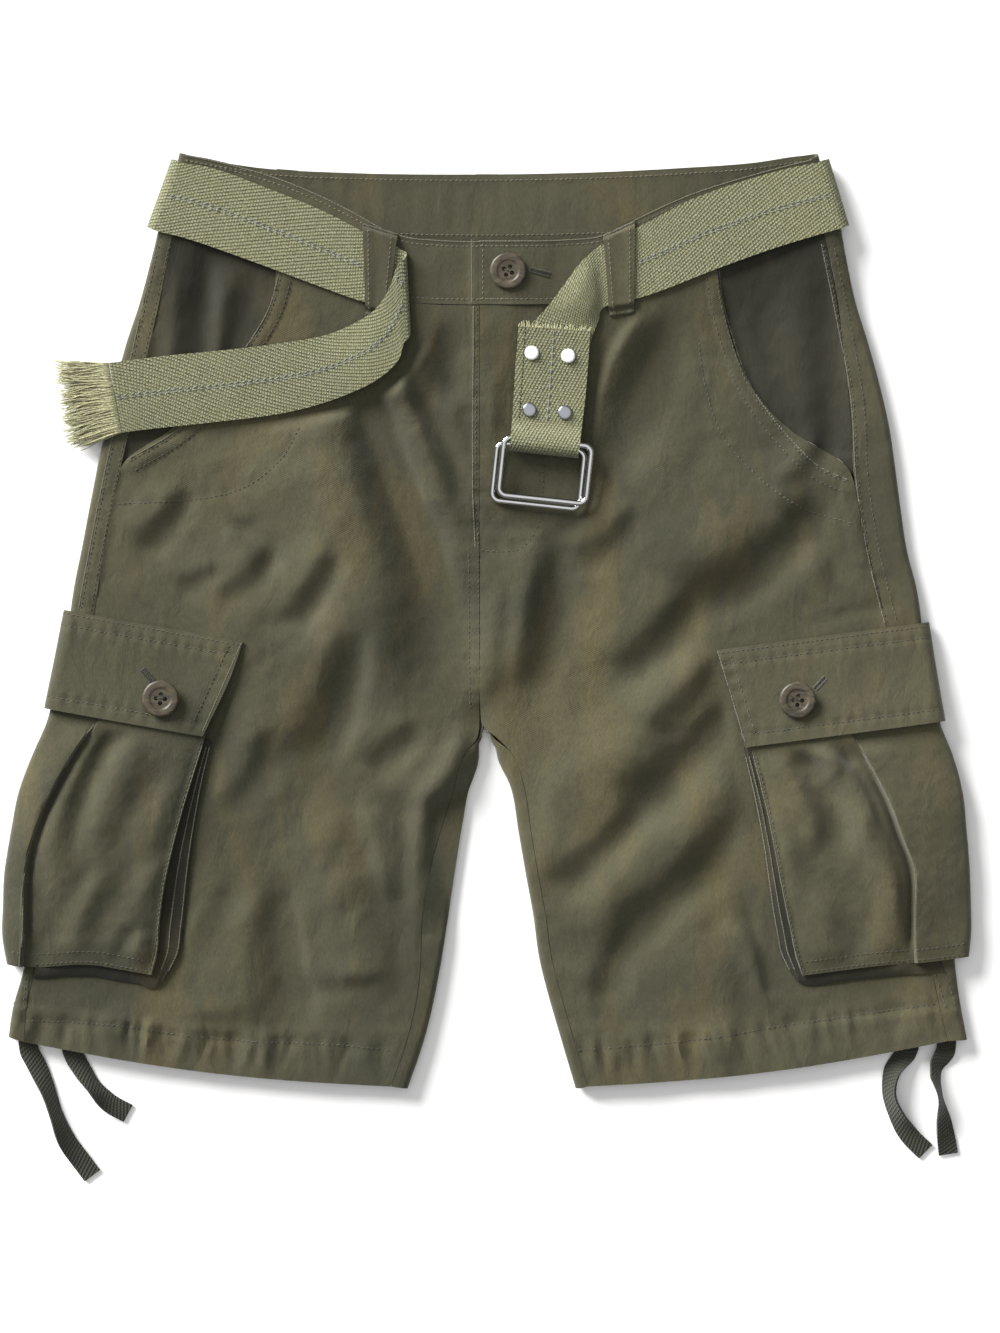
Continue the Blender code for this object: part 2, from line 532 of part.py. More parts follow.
def front_panel(name, leg, finish_material, columns=18):
    edge = FRONT_BAND_EDGE

    def place_on_row(u, v):
        outer, front = leg.outer_edge(v), leg.section(v)[2]
        run = front - outer
        inset = SEAM / 2 / np.linalg.norm(run)
        return outer + run * (inset + u * (1.0 - 2.0 * inset))

    def surface(u, v):
        point = settle_to_waist(place_on_row(u, v), place_on_row(u, 0.0), v, edge)
        sag = HEM_SAG * math.sin(math.pi * u) * smoothstep((v - 0.8) / 0.2)
        x, y = point[0], point[1] - sag
        z = front_height(x, y) + HEM_STEP * leg.hem_share(v)
        if leg.side == "left":
            z += fly_lift(x, y)
        return x, y, z

    return cloth(name, surface, spread(0, 1, columns + 1), panel_rows(leg), WALL, finish_material,
                 flip=leg.side == "left")


def panel_rows(leg):
    """Even rows down to the hem's step, with rows of their own at the crotch, and then the hem's step."""
    scale = math.sqrt(2.0) / leg.rows.length
    step = 1.0 - HEM_DEPTH * scale
    places = zip(leg.rows.places, leg.rows.rows[:, 7])
    crotch = [place / leg.rows.length for place, back_y in places if CROTCH[1] - 20.0 < back_y <= CROTCH[1]]
    even = [v for v in spread(0.0, step - 2.0 * scale, 20) if min(abs(v - c) for c in crotch) > 0.018]
    return sorted(even + crotch) + [step + 1.5 * scale, 1.0]


def back_panel(name, leg, finish_material):
    """From the side seam on the front, round the outer fold, under, and up round the inner fold to the inseam."""
    top_run, arc_run, floor_run, inner_arc = 2, 5, 4, 5
    columns = top_run + arc_run + floor_run + inner_arc + 1
    first_inner = top_run + arc_run + floor_run
    flat_edge = 2.2

    def section_ends(v):
        fold, seam, front, back, opening = leg.section(v)
        floor = back_height(*fold)
        radius = (front_height(*fold) - floor) / 2
        return fold, seam, front, back, radius, floor

    def inner_line(v):
        """Points from under the outer fold to the centre back or the inseam, and the length of the inner turn."""
        fold, seam, front, back, radius, floor = section_ends(v)
        out = (fold - back) / np.linalg.norm(fold - back)
        wrap = min(max(0.5 + (CROTCH[1] - back[1]) / CROTCH_SPAN, 0.0), 1.0)
        low = back_height(*back)
        rise = (front_height(*front) + HEM_STEP * leg.hem_share(v) - low) / 2
        bend = min(rise, np.linalg.norm(front - back) - flat_edge) if wrap == 1.0 else 4.0
        widest = math.sin(math.pi * min(wrap, 0.5))
        start = fold - out * radius
        end = back + out * bend * widest
        line = []
        for share in spread(0, 1, 30):
            x, y = start + (end - start) * share
            line.append((x, y, back_height(x, y)))
        if wrap > 0.0:
            for angle in spread(0, math.pi * wrap, 9)[1:]:
                x, y = back + out * bend * (widest - math.sin(angle))
                line.append((x, y, low + rise * (1.0 - math.cos(angle))))
        edge = flat_edge
        if wrap == 1.0:
            run = front - np.array(line[-1][:2])
            edge = np.linalg.norm(run)
            for share in spread(0, 1, 6)[1:]:
                x, y = front - run * (1.0 - share)
                line.append((x, y, front_height(x, y) + HEM_STEP * leg.hem_share(v)))
        return np.array(line), edge, math.pi * rise

    cache = {}

    def inner_rows(v):
        if v not in cache:
            line, edge, turn = inner_line(v)
            steps = np.linalg.norm(np.diff(line, axis=0), axis=1)
            cache[v] = line, np.concatenate([[0.0], np.cumsum(steps)]), edge, turn
        return cache[v]

    def section_point(column, v):
        fold, seam, front, back, radius, floor = section_ends(v)
        raised = HEM_STEP * leg.hem_share(v)
        over = (seam - fold) / np.linalg.norm(seam - fold)
        reach = min(radius, 0.8 * np.linalg.norm(seam - fold))
        if column <= top_run:
            start, end = seam - over * SEAM / 2, fold + over * reach
            x, y = start + (end - start) * (column / top_run)
            return x, y, front_height(x, y) + raised
        if column <= top_run + arc_run:
            share = (column - top_run) / arc_run
            angle = math.pi * share
            under = (back - fold) / np.linalg.norm(back - fold)
            inward = over * reach * (1.0 - share) + under * radius * share
            x, y = fold + inward * (1.0 - math.sin(angle))
            top = front_height(*(fold + over * reach)) + raised
            return x, y, floor + (top - floor) * (1.0 + math.cos(angle)) / 2
        line, places, edge, turn = inner_rows(v)
        whole = places[-1] - SEAM / 2
        if column <= first_inner:
            place = (whole - edge - turn) * (column - top_run - arc_run) / floor_run
        elif column < columns:
            place = whole - edge - turn * (columns - 1 - column) / inner_arc
        else:
            place = whole
        return tuple(np.interp(place, places, line[:, k]) for k in range(3))

    def surface(column, v):
        point = np.array(section_point(column, v))
        top = np.array(section_point(column, 0.0))
        on_front = top[2] > (BAND_TOP + BAND_FLOOR) / 2
        edge = FRONT_BAND_EDGE if on_front else BACK_BAND_EDGE
        settled = settle_to_waist(point[:2], top[:2], v, edge)
        return settled[0], settled[1], point[2]

    return cloth(name, surface, range(columns + 1), panel_rows(leg), WALL, finish_material,
                 flip=leg.side == "right")


def pocket_facing(name, leg, finish_material):
    """The cloth that shows in the slanting pocket's mouth, from the side seam to under the front's edge."""
    under = 14.0
    last = 0.995 * leg.rows.places[4] / leg.rows.length

    def place_on_row(u, v):
        fold, seam, front, back, opening = leg.section(v)
        inward = (front - seam) / np.linalg.norm(front - seam)
        return seam + inward * (SEAM / 2 + u * (opening + under)), u * (opening + under), opening

    def surface(u, v):
        point, away, opening = place_on_row(u, v)
        top, _, _ = place_on_row(u, 0.0)
        x, y = settle_to_waist(point, top, v, FRONT_BAND_EDGE - (0.0, SEAM))
        sunk = smoothstep((away + 1.0) / max(0.6 * opening, 1.0))
        return x, y, front_height(x, y) - (WALL + LAYER) * sunk

    rows = [v for v in panel_rows(leg) if v < last - 0.01] + [last]
    return cloth(name, surface, spread(0, 1, 7), rows, WALL, finish_material,
                 flip=leg.side == "left")


# Waistband, belt and what is on them.

def ribbon(name, rows, widths, wall, finish_material, outer=0.0, flip=False, longest=15.0, widest_turn=24.0,
           settle=None):
    """A strip between the two edges of a table of rows, each (x, y, z) and (x, y, z), with its camber."""
    table = Rows(rows, measured=6)

    def surface(u, place):
        row = table.at(place)
        point = row[0:3] * (1.0 - u) + row[3:6] * u
        point[2] += row[6] * (1.0 - (2.0 * u - 1.0) ** 2)
        return settle(*point) if settle else tuple(point)

    places = table.stations(longest, widest_turn)
    return cloth(name, surface, spread(0, 1, widths + 1), places, wall, finish_material, outer=outer, flip=flip)


def half_turn(first, last, reach, steps=6):
    """The rows between two rows that lie one over the other, round a turn that bulges to +X by `reach`."""
    first, last = np.array(first), np.array(last)
    along = first[0:2] - first[3:5]
    outward = np.array([along[1], -along[0]]) / np.linalg.norm(along) * reach
    rows = []
    for angle in spread(-90.0, 90.0, steps + 1)[1:-1]:
        turn = math.radians(angle)
        share = (1.0 + math.sin(turn)) / 2
        row = first * (1.0 - share) + last * share
        row[0:2] += outward * math.cos(turn)
        row[3:5] += outward * math.cos(turn)
        rows.append(tuple(row))
    return rows


def band_rows():
    left, back, right = (
        [(ux, uy, z, lx, ly, z, 0.0) for ux, uy, lx, ly, z in table]
        for table in (BAND_LEFT_FRONT, BAND_BACK, BAND_RIGHT_FRONT)
    )
    left_turn = half_turn(left[-1], back[0], BAND_REACH)
    right_turn = half_turn(back[-1], right[0], -BAND_REACH)
    return left + left_turn + back + right_turn + right


def waistband(finish_material):
    return ribbon("waistband", band_rows(), 1, BAND_WALL, finish_material, outer=-1.0, flip=True, longest=24.0)


def bight_rows():
    """The rows of the strap's turn round the ring bars, from under them to over them."""
    yaw = math.radians(STRAP_YAW)
    across = np.array([math.cos(yaw), math.sin(yaw), 0.0])
    back_along = np.array([math.sin(yaw), -math.cos(yaw), 0.0])
    radius = BIGHT_INNER + WEB_WALL / 2
    rows = []
    for angle in spread(-100.0, 100.0, BIGHT_STEPS + 1):
        turn = math.radians(angle)
        middle = np.array(BIGHT_CENTRE) + back_along * radius * math.cos(turn)
        middle[2] += radius * math.sin(turn)
        upper, lower = middle - across * STRAP_HALF, middle + across * STRAP_HALF
        rows.append((*upper, *lower, 0.0))
    return rows


def settle_web(x, y, z):
    """Lift a point of the web's middle clear of the front that it lies on."""
    on_front = z > 9.0 and (abs(x) < 180.0 or y < 200.0)
    if on_front:
        z = max(z, front_height(x, y) + LAYER + WEB_WALL / 2)
    return x, y, z


def belt(finish_material):
    crease = half_turn(TAIL[-1], BELT_RIGHT_FRONT[0], CREASE_REACH)
    right_turn = half_turn(BELT_RIGHT_FRONT[-1], BELT_BACK[0], -BELT_REACH)
    left_turn = half_turn(BELT_BACK[-1], BELT_LEFT_FRONT[0], BELT_REACH)
    strap = STRAP_LOWER + bight_rows() + STRAP_UPPER
    rows = TAIL + crease + BELT_RIGHT_FRONT + right_turn + BELT_BACK + left_turn + BELT_LEFT_FRONT + strap
    return ribbon("belt", rows, 3, WEB_WALL, finish_material, longest=22.0, widest_turn=36.0, settle=settle_web)


def belt_fringe(finish_material):
    """Two rows of strands fused to a narrow strip, just past the web's raw end, that fall to the floor."""
    first, second = np.array(TAIL[0]), np.array(TAIL[1])
    upper, lower = Vector(first[0:3]), Vector(first[3:6])
    along = first[0:2] + first[3:5] - second[0:2] - second[3:5]
    outward = Vector((*along, 0.0)).normalized()
    sideways = (lower - upper).normalized()
    bm = bmesh.new()
    bmesh.ops.create_grid(bm, x_segments=FRINGE_STRANDS, y_segments=2, size=0.5)
    grid = list(bm.faces)
    for vertex in bm.verts:
        u, level = vertex.co.x + 0.5, vertex.co.y
        vertex.co = upper.lerp(lower, u) + outward * (SEAM + FRINGE_STRIP) + Vector((0.0, 0.0, WEB_WALL * level))
    strip = bmesh.ops.extrude_face_region(bm, geom=grid)
    moved = [item for item in strip["geom"] if isinstance(item, bmesh.types.BMVert)]
    bmesh.ops.translate(bm, verts=moved, vec=-outward * FRINGE_STRIP)
    bmesh.ops.inset_individual(bm, faces=grid, thickness=0.15)
    tangled = np.random.default_rng(7)
    lengths = FRINGE_LENGTH * tangled.uniform(0.75, 1.0, FRINGE_STRANDS)
    leans = tangled.uniform(-0.3, 0.3, FRINGE_STRANDS)
    for face in grid:
        root = face.calc_center_median()
        share = (root - upper).dot(sideways) / (lower - upper).length
        tip_height = 1.6 if root.z > upper.lerp(lower, share).z else 0.5
        length = lengths[int(share * FRINGE_STRANDS)]
        fan = (share - 0.5) * FRINGE_FAN + leans[int(share * FRINGE_STRANDS)]
        tip = face
        for reach, narrowed in ((0.45, 0.8), (1.0, 0.6)):
            tip = bmesh.ops.extrude_discrete_faces(bm, faces=[tip])["faces"][0]
            centre = tip.calc_center_median()
            target = root + outward * length * reach + sideways * fan * reach
            target.z = root.z + (tip_height - root.z) * reach ** 1.6
            for vertex in tip.verts:
                vertex.co = target + (vertex.co - centre) * narrowed
    bmesh.ops.scale(bm, verts=bm.verts, vec=(MM, MM, MM))
    bmesh.ops.recalc_face_normals(bm, faces=bm.faces)
    mesh = bpy.data.meshes.new("belt_fringe")
    bm.to_mesh(mesh)
    bm.free()
    return finish("belt_fringe", mesh, finish_material, smooth=False)


def belt_loop(name, corners, on_front, finish_material):
    """A strip stitched down above and below the belt, which passes under it."""
    upper_right, upper_left, lower_right, lower_left = (np.array(corner) for corner in corners)
    if on_front:
        under = BAND_TOP + SEAM + LOOP_WALL / 2
        over = BELT_FRONT + WEB_WALL / 2 + SEAM + LOOP_WALL / 2
    else:
        under = BAND_FLOOR - SEAM - LOOP_WALL / 2
        over = BELT_FLOOR - WEB_WALL / 2 - SEAM - LOOP_WALL / 2
    stitched, climb = 2.0, 1.8
    length = np.linalg.norm(lower_right + lower_left - upper_right - upper_left) / 2
    profile = [
        (0.0, under), (stitched, under), (stitched + climb, over), (length / 2, over),
        (length - stitched - 2.0 * climb, over), (length - stitched - climb, under), (length, under),
    ]

    def surface(u, row):
        away, height = profile[row]
        upper = upper_right * (1.0 - u) + upper_left * u
        lower = lower_right * (1.0 - u) + lower_left * u
        x, y = upper + (lower - upper) * away / length
        if on_front and row > 4:
            height = front_height(x, y) + SEAM + LOOP_WALL / 2
        return x, y, height

    return cloth(name, surface, (0, 1), range(len(profile)), LOOP_WALL, finish_material, outer=0.0)


def ring(name, shift, finish_material, hinge):
    """A rounded rectangle of wire, with its top bar inside the strap's bight."""
    half_width = RING_WIDTH / 2 - WIRE / 2 - RING_CORNER
    half_height = RING_HEIGHT / 2 - WIRE / 2 - RING_CORNER
    points = []
    for quarter, (sx, sy) in enumerate(((1, 1), (-1, 1), (-1, -1), (1, -1))):
        for angle in spread(90.0 * quarter, 90.0 * quarter + 90.0, 5):
            turn = math.radians(angle)
            points.append((sx * half_width + RING_CORNER * math.cos(turn),
                           sy * half_height + RING_CORNER * math.sin(turn)))
    data = bpy.data.curves.new(name, "CURVE")
    data.dimensions = "3D"
    data.bevel_depth = WIRE / 2 * MM
    data.bevel_resolution = 2
    spline = data.splines.new("POLY")
    spline.points.add(len(points) - 1)
    bar = (RING_HEIGHT - WIRE) / 2
    for point, (x, y) in zip(spline.points, points):
        place = Vector((x + shift, y - bar + shift, shift))
        point.co = (*(place * MM), 1.0)
    spline.use_cyclic_u = True
    obj = bpy.data.objects.new(name, data)
    obj.data.materials.append(finish_material)
    obj.parent = hinge
    SHORTS.objects.link(obj)
    return obj


def rings(finish_material):
    hinge = bpy.data.objects.new("ring_hinge", None)
    hinge.location = Vector(BIGHT_CENTRE) * MM
    yaw = Matrix.Rotation(math.radians(STRAP_YAW), 4, "Z")
    tilt = Matrix.Rotation(math.radians(RING_TILT), 4, "X")
    hinge.rotation_euler = (yaw @ tilt).to_euler()
    SHORTS.objects.link(hinge)
    ring("ring_lower", -RING_SHIFT / 2, finish_material, hinge)
    ring("ring_upper", RING_SHIFT / 2, finish_material, hinge)


def turned(name, profile, segments, location, finish_material):
    """A profile of (radius, height) from its outer top to its foot, turned round Z."""
    mesh = bpy.data.meshes.new(name)
    mesh.from_pydata([(radius * MM, 0.0, height * MM) for radius, height in profile],
                     [(i, i + 1) for i in range(len(profile) - 1)], [])
    obj = finish(name, mesh, finish_material)
    obj.location = Vector(location) * MM
    screw = obj.modifiers.new("Turn", "SCREW")
    screw.axis = "Z"
    screw.steps = segments
    screw.render_steps = segments
    screw.use_merge_vertices = True
    screw.merge_threshold = 0.00001
    screw.use_smooth_shade = True
    return obj


def button(name, x, y, z, finish_material):
    """A four-hole button with a raised rim."""
    radius = BUTTON_DIAMETER / 2
    profile = [
        (0.0, 2.1), (radius - 4.6, 2.1), (radius - 3.2, BUTTON_HEIGHT), (radius - 1.0, BUTTON_HEIGHT),
        (radius, BUTTON_HEIGHT - 1.2), (radius - 2.0, 0.0), (0.0, 0.0),
    ]
    obj = turned(name, profile, 16, (x, y, z + SEAM), finish_material)
    bm = bmesh.new()
    for turn in range(4):
        angle = math.radians(45.0 + 90.0 * turn)
        place = Matrix.Translation((2.7 * MM * math.cos(angle), 2.7 * MM * math.sin(angle), 1.5 * MM))
        bmesh.ops.create_cone(bm, cap_ends=True, segments=6, radius1=1.1 * MM, radius2=1.1 * MM, depth=8.0 * MM,
                              matrix=place)
    mesh = bpy.data.meshes.new(name + "_holes")
    bm.to_mesh(mesh)
    bm.free()
    cutter = bpy.data.objects.new(name + "_holes", mesh)
    cutter.location = obj.location
    cutter.hide_render = True
    cutter.display_type = "WIRE"
    CUTTERS.objects.link(cutter)
    holes = obj.modifiers.new("Holes", "BOOLEAN")
    holes.operation = "DIFFERENCE"
    holes.object = cutter
    return obj


def rivet(name, x, y, web_z, finish_material):
    radius = RIVET_DIAMETER / 2
    top = web_z + WEB_WALL / 2 + SEAM
    profile = [(0.0, 1.3), (radius * 0.6, 1.1), (radius, 0.4), (radius, 0.0), (0.0, 0.0)]
    return turned(name, profile, 12, (x, y, top), finish_material)


# Cargo pockets.

class Pocket:
    """A pocket's own axes, laid on the leg: across from the side seam, and down along it."""

    def __init__(self, frame, bag, flap, outer_drop):
        self.origin = np.array(frame["origin"])
        self.down = np.array(frame["down"])
        self.across = np.array([-self.down[1], self.down[0]]) * frame["inward"]
        self.fold = frame["fold"]
        self.inward = frame["inward"]
        self.bag = Rows(bag, measured=1)
        self.flap = Rows(flap, measured=1)
        self.outer_drop = outer_drop

    def plan(self, across, down):
        return self.origin + self.across * across + self.down * down

    def leg_height(self, across, down):
        return front_height(*self.plan(across, down))

    def bag_row(self, down):
        return self.bag.at(down - self.bag.rows[0][0])

    def puff(self, across, down):
        """How far the bag's face stands off the leg."""
        top, front, gusset, pleat, outer, edge_puff, puff = self.bag_row(down)
        share = min(max((front - across) / (front - outer), 0.0), 1.0)
        return edge_puff + puff * math.sin(math.pi * min(share * 1.05, 1.0)) ** 0.7

    def face_top(self, across, down):
        """The height of the face's outer side, with the step at its pleat."""
        pleat = self.bag_row(down)[3]
        z = self.leg_height(across, down) + LAYER + WALL + self.puff(across, down)
        share = smoothstep((down - 20.0) / 30.0)
        return z + PLEAT_STEP * share * (smoothstep((across - pleat + 1.0) / 1.6) - 0.5)

    def face_point(self, column, v):
        """Columns 0 to 7 run from the front edge to the pleat, 8 to 11 on to the outer turn, 12 to 16 round it."""
        first, last = self.bag.rows[0][0], self.bag.rows[-1][0]
        down = first + (last - first) * v
        front, pleat, outer = (self.bag_row(down)[k] for k in (1, 3, 4))
        turn_start = outer + BAG_TURN
        fold = self.fold[0] + (self.fold[1] - self.fold[0]) * v
        tucked = smoothstep((fold - outer - 4.0) / 4.0)
        if column <= 7:
            across = front + (pleat + 0.6 - front) * column / 7
        elif column <= 11:
            across = pleat - 1.0 + (turn_start - pleat + 1.0) * (column - 8) / 3
        else:
            across = turn_start
        drop = self.outer_drop * smoothstep((40.0 - across) / 50.0) * v
        z = self.face_top(across, down)
        if column > 11:
            angle = math.radians(105.0 + 75.0 * tucked) * min(column - 11, 5) / 5
            across = outer + BAG_TURN * (1.0 - math.sin(angle))
            z *= (1.0 + math.cos(angle)) / 2
        if column == 17:
            across += max(fold - 1.0 - across, 0.4) * tucked
            z -= 0.3 * (1.0 - tucked)
        x, y = self.plan(across, down + drop)
        return x, y, z

    def flap_top(self, across, down):
        """The height of the flap's outer side, seated at its seam and raised over the bag below."""
        leg = self.leg_height(across, down)
        bag_down = max(down, self.bag.rows[0][0])
        seated = leg + SEAM + FLAP_WALL
        raised = leg + 2.0 * LAYER + WALL + self.puff(across, bag_down) + FLAP_WALL
        raised += PLEAT_STEP / 2 * smoothstep((down - 20.0) / 30.0)
        return seated + (raised - seated) * smoothstep((down - 3.0) / 9.0)

    def flap_point(self, column, v):
        """Columns 0 to 10 run from the front end to the outer turn, and 11 to 14 go down round it."""
        down = FLAP_DEPTH * v
        front, outer = self.flap.at(min(down, self.flap.length))[1:3]
        turn_start = outer + FLAP_TURN
        across = front + (turn_start - front) * min(column, 10) / 10
        z = self.flap_top(across, down)
        if column > 10:
            angle = math.radians(118.0) * (column - 10) / 4
            across = outer + FLAP_TURN * (1.0 - math.sin(angle))
            z *= (1.0 + math.cos(angle)) / 2
        x, y = self.plan(across, down)
        return x, y, z

    def button_seat(self, across, down):
        """The highest point of the flap under a button."""
        heights = [self.flap_top(across, down)]
        for angle in spread(0.0, 2.0 * math.pi, 13):
            reach = BUTTON_DIAMETER / 2
            heights.append(self.flap_top(across + reach * math.cos(angle), down + reach * math.sin(angle)))
        return max(heights)


def cargo_pocket(side, pocket, finish_material, dark_material):
    flip = pocket.inward == 1
    face_rows, flap_rows = spread(0, 1, FACE_ROWS), spread(0, 1, 7)
    cloth(f"cargo_face_{side}", pocket.face_point, range(18), face_rows, WALL, finish_material, flip=flip)
    cloth(f"cargo_flap_{side}", pocket.flap_point, range(15), flap_rows, FLAP_WALL, finish_material, flip=flip)
    gusset(side, pocket, dark_material)


def gusset(side, pocket, finish_material):
    """The strip between the bag's face and the leg, down the front edge, round the corner and along the bottom."""
    first, last = pocket.bag.rows[0][0], pocket.bag.rows[-1][0]
    corner_inset, bottom_width = 2.5, 7.0
    stations = []
    for down in spread(first, last, FACE_ROWS)[3:-1]:
        row = pocket.bag_row(down)
        stations.append((row[1], down, 1.0, 0.0, -GUSSET_TUCK, row[2]))
    front, width = pocket.bag_row(last)[1:3]
    for angle in spread(15.0, 75.0, 4):
        turn = math.radians(angle)
        reach = (corner_inset - GUSSET_TUCK, corner_inset + width)
        stations.append((front - corner_inset, last - corner_inset, math.cos(turn), math.sin(turn), *reach))
    for across in spread(front - 5.0, pocket.fold[1] + 8.0, 7):
        stations.append((across, last, 0.0, 1.0, -GUSSET_TUCK, bottom_width))
    profile = [(0.0, 0.0), (0.35, 0.0), (0.62, 0.22), (0.85, 0.62), (1.0, 1.0)]

    def surface(u, v):
        across, down, along_x, along_y, start, end = stations[v]
        share, fallen = profile[u]
        reach = start + (end - start) * share
        drop = pocket.outer_drop * smoothstep((40.0 - across) / 50.0) if along_y == 1.0 else 0.0
        across, down = across + along_x * reach, down + along_y * reach
        x, y = pocket.plan(across, down + drop)
        covered = min(down, last)
        top = pocket.face_top(min(across, pocket.bag_row(covered)[1]), covered) - WALL - 2.0 * LAYER
        foot = front_height(x, y) + SEAM + GUSSET_WALL
        top = max(top, foot)
        return x, y, top + (foot - top) * fallen

    cloth(f"cargo_gusset_{side}", surface, range(5), range(len(stations)), GUSSET_WALL, finish_material,
          flip=pocket.inward == -1)


def drawstring(name, rows, finish_material):
    """A flat tape that rolls about its own length, and never lies lower than the floor or the hem's inside."""
    table = Rows(rows, measured=3)

    def surface(u, v):
        place = v * table.length
        x, y, z, roll = table.at(place)
        in_hem = y > TAPE_EXIT
        turn = 0.0 if in_hem else math.radians(roll)
        ahead = table.at(min(place + 1.0, table.length))[:2]
        behind = table.at(max(place - 1.0, 0.0))[:2]
        along = (ahead - behind) / np.linalg.norm(ahead - behind)
        rests = WALL + SEAM if in_hem else 0.0
        lowest = rests + TAPE_WALL / 2 + TAPE_WIDTH / 2 * abs(math.sin(turn)) + 0.05
        reach = (u - 0.5) * TAPE_WIDTH
        flat = reach * math.cos(turn)
        return x + along[1] * flat, y - along[0] * flat, max(z, lowest) + reach * math.sin(turn)

    return cloth(name, surface, (0, 1), spread(0, 1, 19), TAPE_WALL, finish_material, outer=0.0)


def build():
    twill = material("olive_twill", OLIVE, 0.85)
    dark_twill = material("olive_twill_dark", OLIVE_DARK, 0.88)
    web = material("khaki_web", KHAKI, 0.9)
    tape = material("drawstring_tape", TAPE_GREEN, 0.85)
    button_stuff = material("button_brown", BUTTON_BROWN, 0.45)
    steel = material("nickel", STEEL, 0.12, metallic=1.0)

    right, left = Leg(RIGHT_LEG, "right"), Leg(LEFT_LEG, "left")
    for leg in (right, left):
        front_panel(f"front_{leg.side}", leg, twill)
        back_panel(f"back_{leg.side}", leg, twill)
        pocket_facing(f"pocket_facing_{leg.side}", leg, dark_twill)
    waistband(twill)
    belt(web)
    belt_fringe(web)
    for name, ends in FRONT_LOOPS.items():
        belt_loop(name, ends, True, twill)
    for name, ends in BACK_LOOPS.items():
        belt_loop(name, ends, False, twill)
    rings(steel)
    for index, (x, y, web_z) in enumerate(RIVETS, start=1):
        rivet(f"rivet_{index}", x, y, web_z, steel)
    button("waist_button", *WAIST_BUTTON, BAND_TOP + FLY_LIFT, button_stuff)
    pockets = {
        "right": Pocket(RIGHT_POCKET, RIGHT_BAG, RIGHT_FLAP, BAG_OUTER_DROP[0]),
        "left": Pocket(LEFT_POCKET, LEFT_BAG, LEFT_FLAP, BAG_OUTER_DROP[1]),
    }
    for side, pocket in pockets.items():
        cargo_pocket(side, pocket, twill, dark_twill)
    for name, rows in DRAWSTRINGS.items():
        drawstring(name, rows, tape)
    for side, (across, down) in CARGO_BUTTONS.items():
        pocket = pockets[side]
        x, y = pocket.plan(across, down)
        button(f"cargo_button_{side}", x, y, pocket.button_seat(across, down), button_stuff)


for old in list(bpy.data.objects):
    bpy.data.objects.remove(old, do_unlink=True)
SHORTS = bpy.data.collections.new("cargo_shorts")
CUTTERS = bpy.data.collections.new("cutters")
bpy.context.scene.collection.children.link(SHORTS)
bpy.context.scene.collection.children.link(CUTTERS)
FRONT_BAND_EDGE = band_lower_edge(front=True)
BACK_BAND_EDGE = band_lower_edge(front=False)
build()
bpy.context.view_layer.update()
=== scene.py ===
"""Looks of the cargo shorts: finer cloth on the CAD's own solids, stitching, weaves, metal, light and camera.

Places are in millimetres in the row frame: +X to the wearer's left, +Y to the waist, +Z up out of the floor.
"""

import math

import bmesh
import bpy
import numpy as np
from mathutils import Matrix, Vector
from mathutils.bvhtree import BVHTree


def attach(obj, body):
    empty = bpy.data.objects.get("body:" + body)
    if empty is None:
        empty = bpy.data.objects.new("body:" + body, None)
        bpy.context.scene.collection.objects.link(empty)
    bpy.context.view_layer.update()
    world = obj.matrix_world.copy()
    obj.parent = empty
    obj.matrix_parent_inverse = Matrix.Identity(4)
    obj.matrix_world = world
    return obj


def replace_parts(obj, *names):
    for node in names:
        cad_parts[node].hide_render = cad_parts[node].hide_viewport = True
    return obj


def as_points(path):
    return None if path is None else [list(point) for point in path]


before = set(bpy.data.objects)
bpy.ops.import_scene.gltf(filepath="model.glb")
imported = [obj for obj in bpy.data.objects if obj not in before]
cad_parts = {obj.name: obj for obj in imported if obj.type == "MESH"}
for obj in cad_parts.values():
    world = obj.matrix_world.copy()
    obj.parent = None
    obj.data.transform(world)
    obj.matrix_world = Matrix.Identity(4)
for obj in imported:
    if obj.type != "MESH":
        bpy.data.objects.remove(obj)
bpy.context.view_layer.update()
MM = 0.001

# ---------------------------------------------------------------- the CAD's sizes and tables, in millimetres

WALL = 1.2              # twill of the panels and pockets
BAND_WALL = 1.8         # waistband, two layers and interfacing
FLAP_WALL = 1.8         # pocket flap, two layers
WEB_WALL = 1.6          # cotton web of the belt
LOOP_WALL = 1.2         # belt loop
TAPE_WALL = 1.2         # drawstring tape
SEAM = 0.3              # gap between two pieces at a seam
WAIST_GAP = 0.6         # gap under the waistband's lower edge, which curves between the panels' columns
LAYER = 0.5             # gap between two pieces that lie one over the other
LOFT = 8.3              # height of the front's outer side where the leg lies flattest
LOWEST_FRONT = 7.2      # the front never lies lower, so that the leg stays open
BAND_TOP = 12.2         # height of the front waistband's outer side
BAND_FLOOR = 3.6        # height of the back waistband's outer side, over the belt and its loops
FLY_LIFT = 2.1          # the left waistband laps this much higher over the right
FLY_STEP = 1.2          # and the left front below it this much
FLY_LIFT_START = 150.0  # above this the front's lap rises to the waistband's
FLY_FLAT = 6.0          # the lap is full as far to the left as this,
FLY_END = 32.0          # and there is none below this
WAIST_Y = 189.5         # the front's waist seam is this far up in its middle
WAIST_FLAT = 52.0       # as far as this to each side,
WAIST_CLIMB = 0.385     # and then climbs this much for each millimetre
HEM_DEPTH = 20.0
HEM_STEP = 0.8          # the hem's turned-up cloth raises it this much
WIRE = 3.4              # ring wire
RING_WIDTH = 56.0
RING_HEIGHT = 38.0
RING_CORNER = 4.6
RING_SHIFT = 3.7        # the upper ring lies this far up and to the left of the wearer
BUTTON_DIAMETER = 22.0
RIVET_DIAMETER = 8.5
TAPE_WIDTH = 11.5

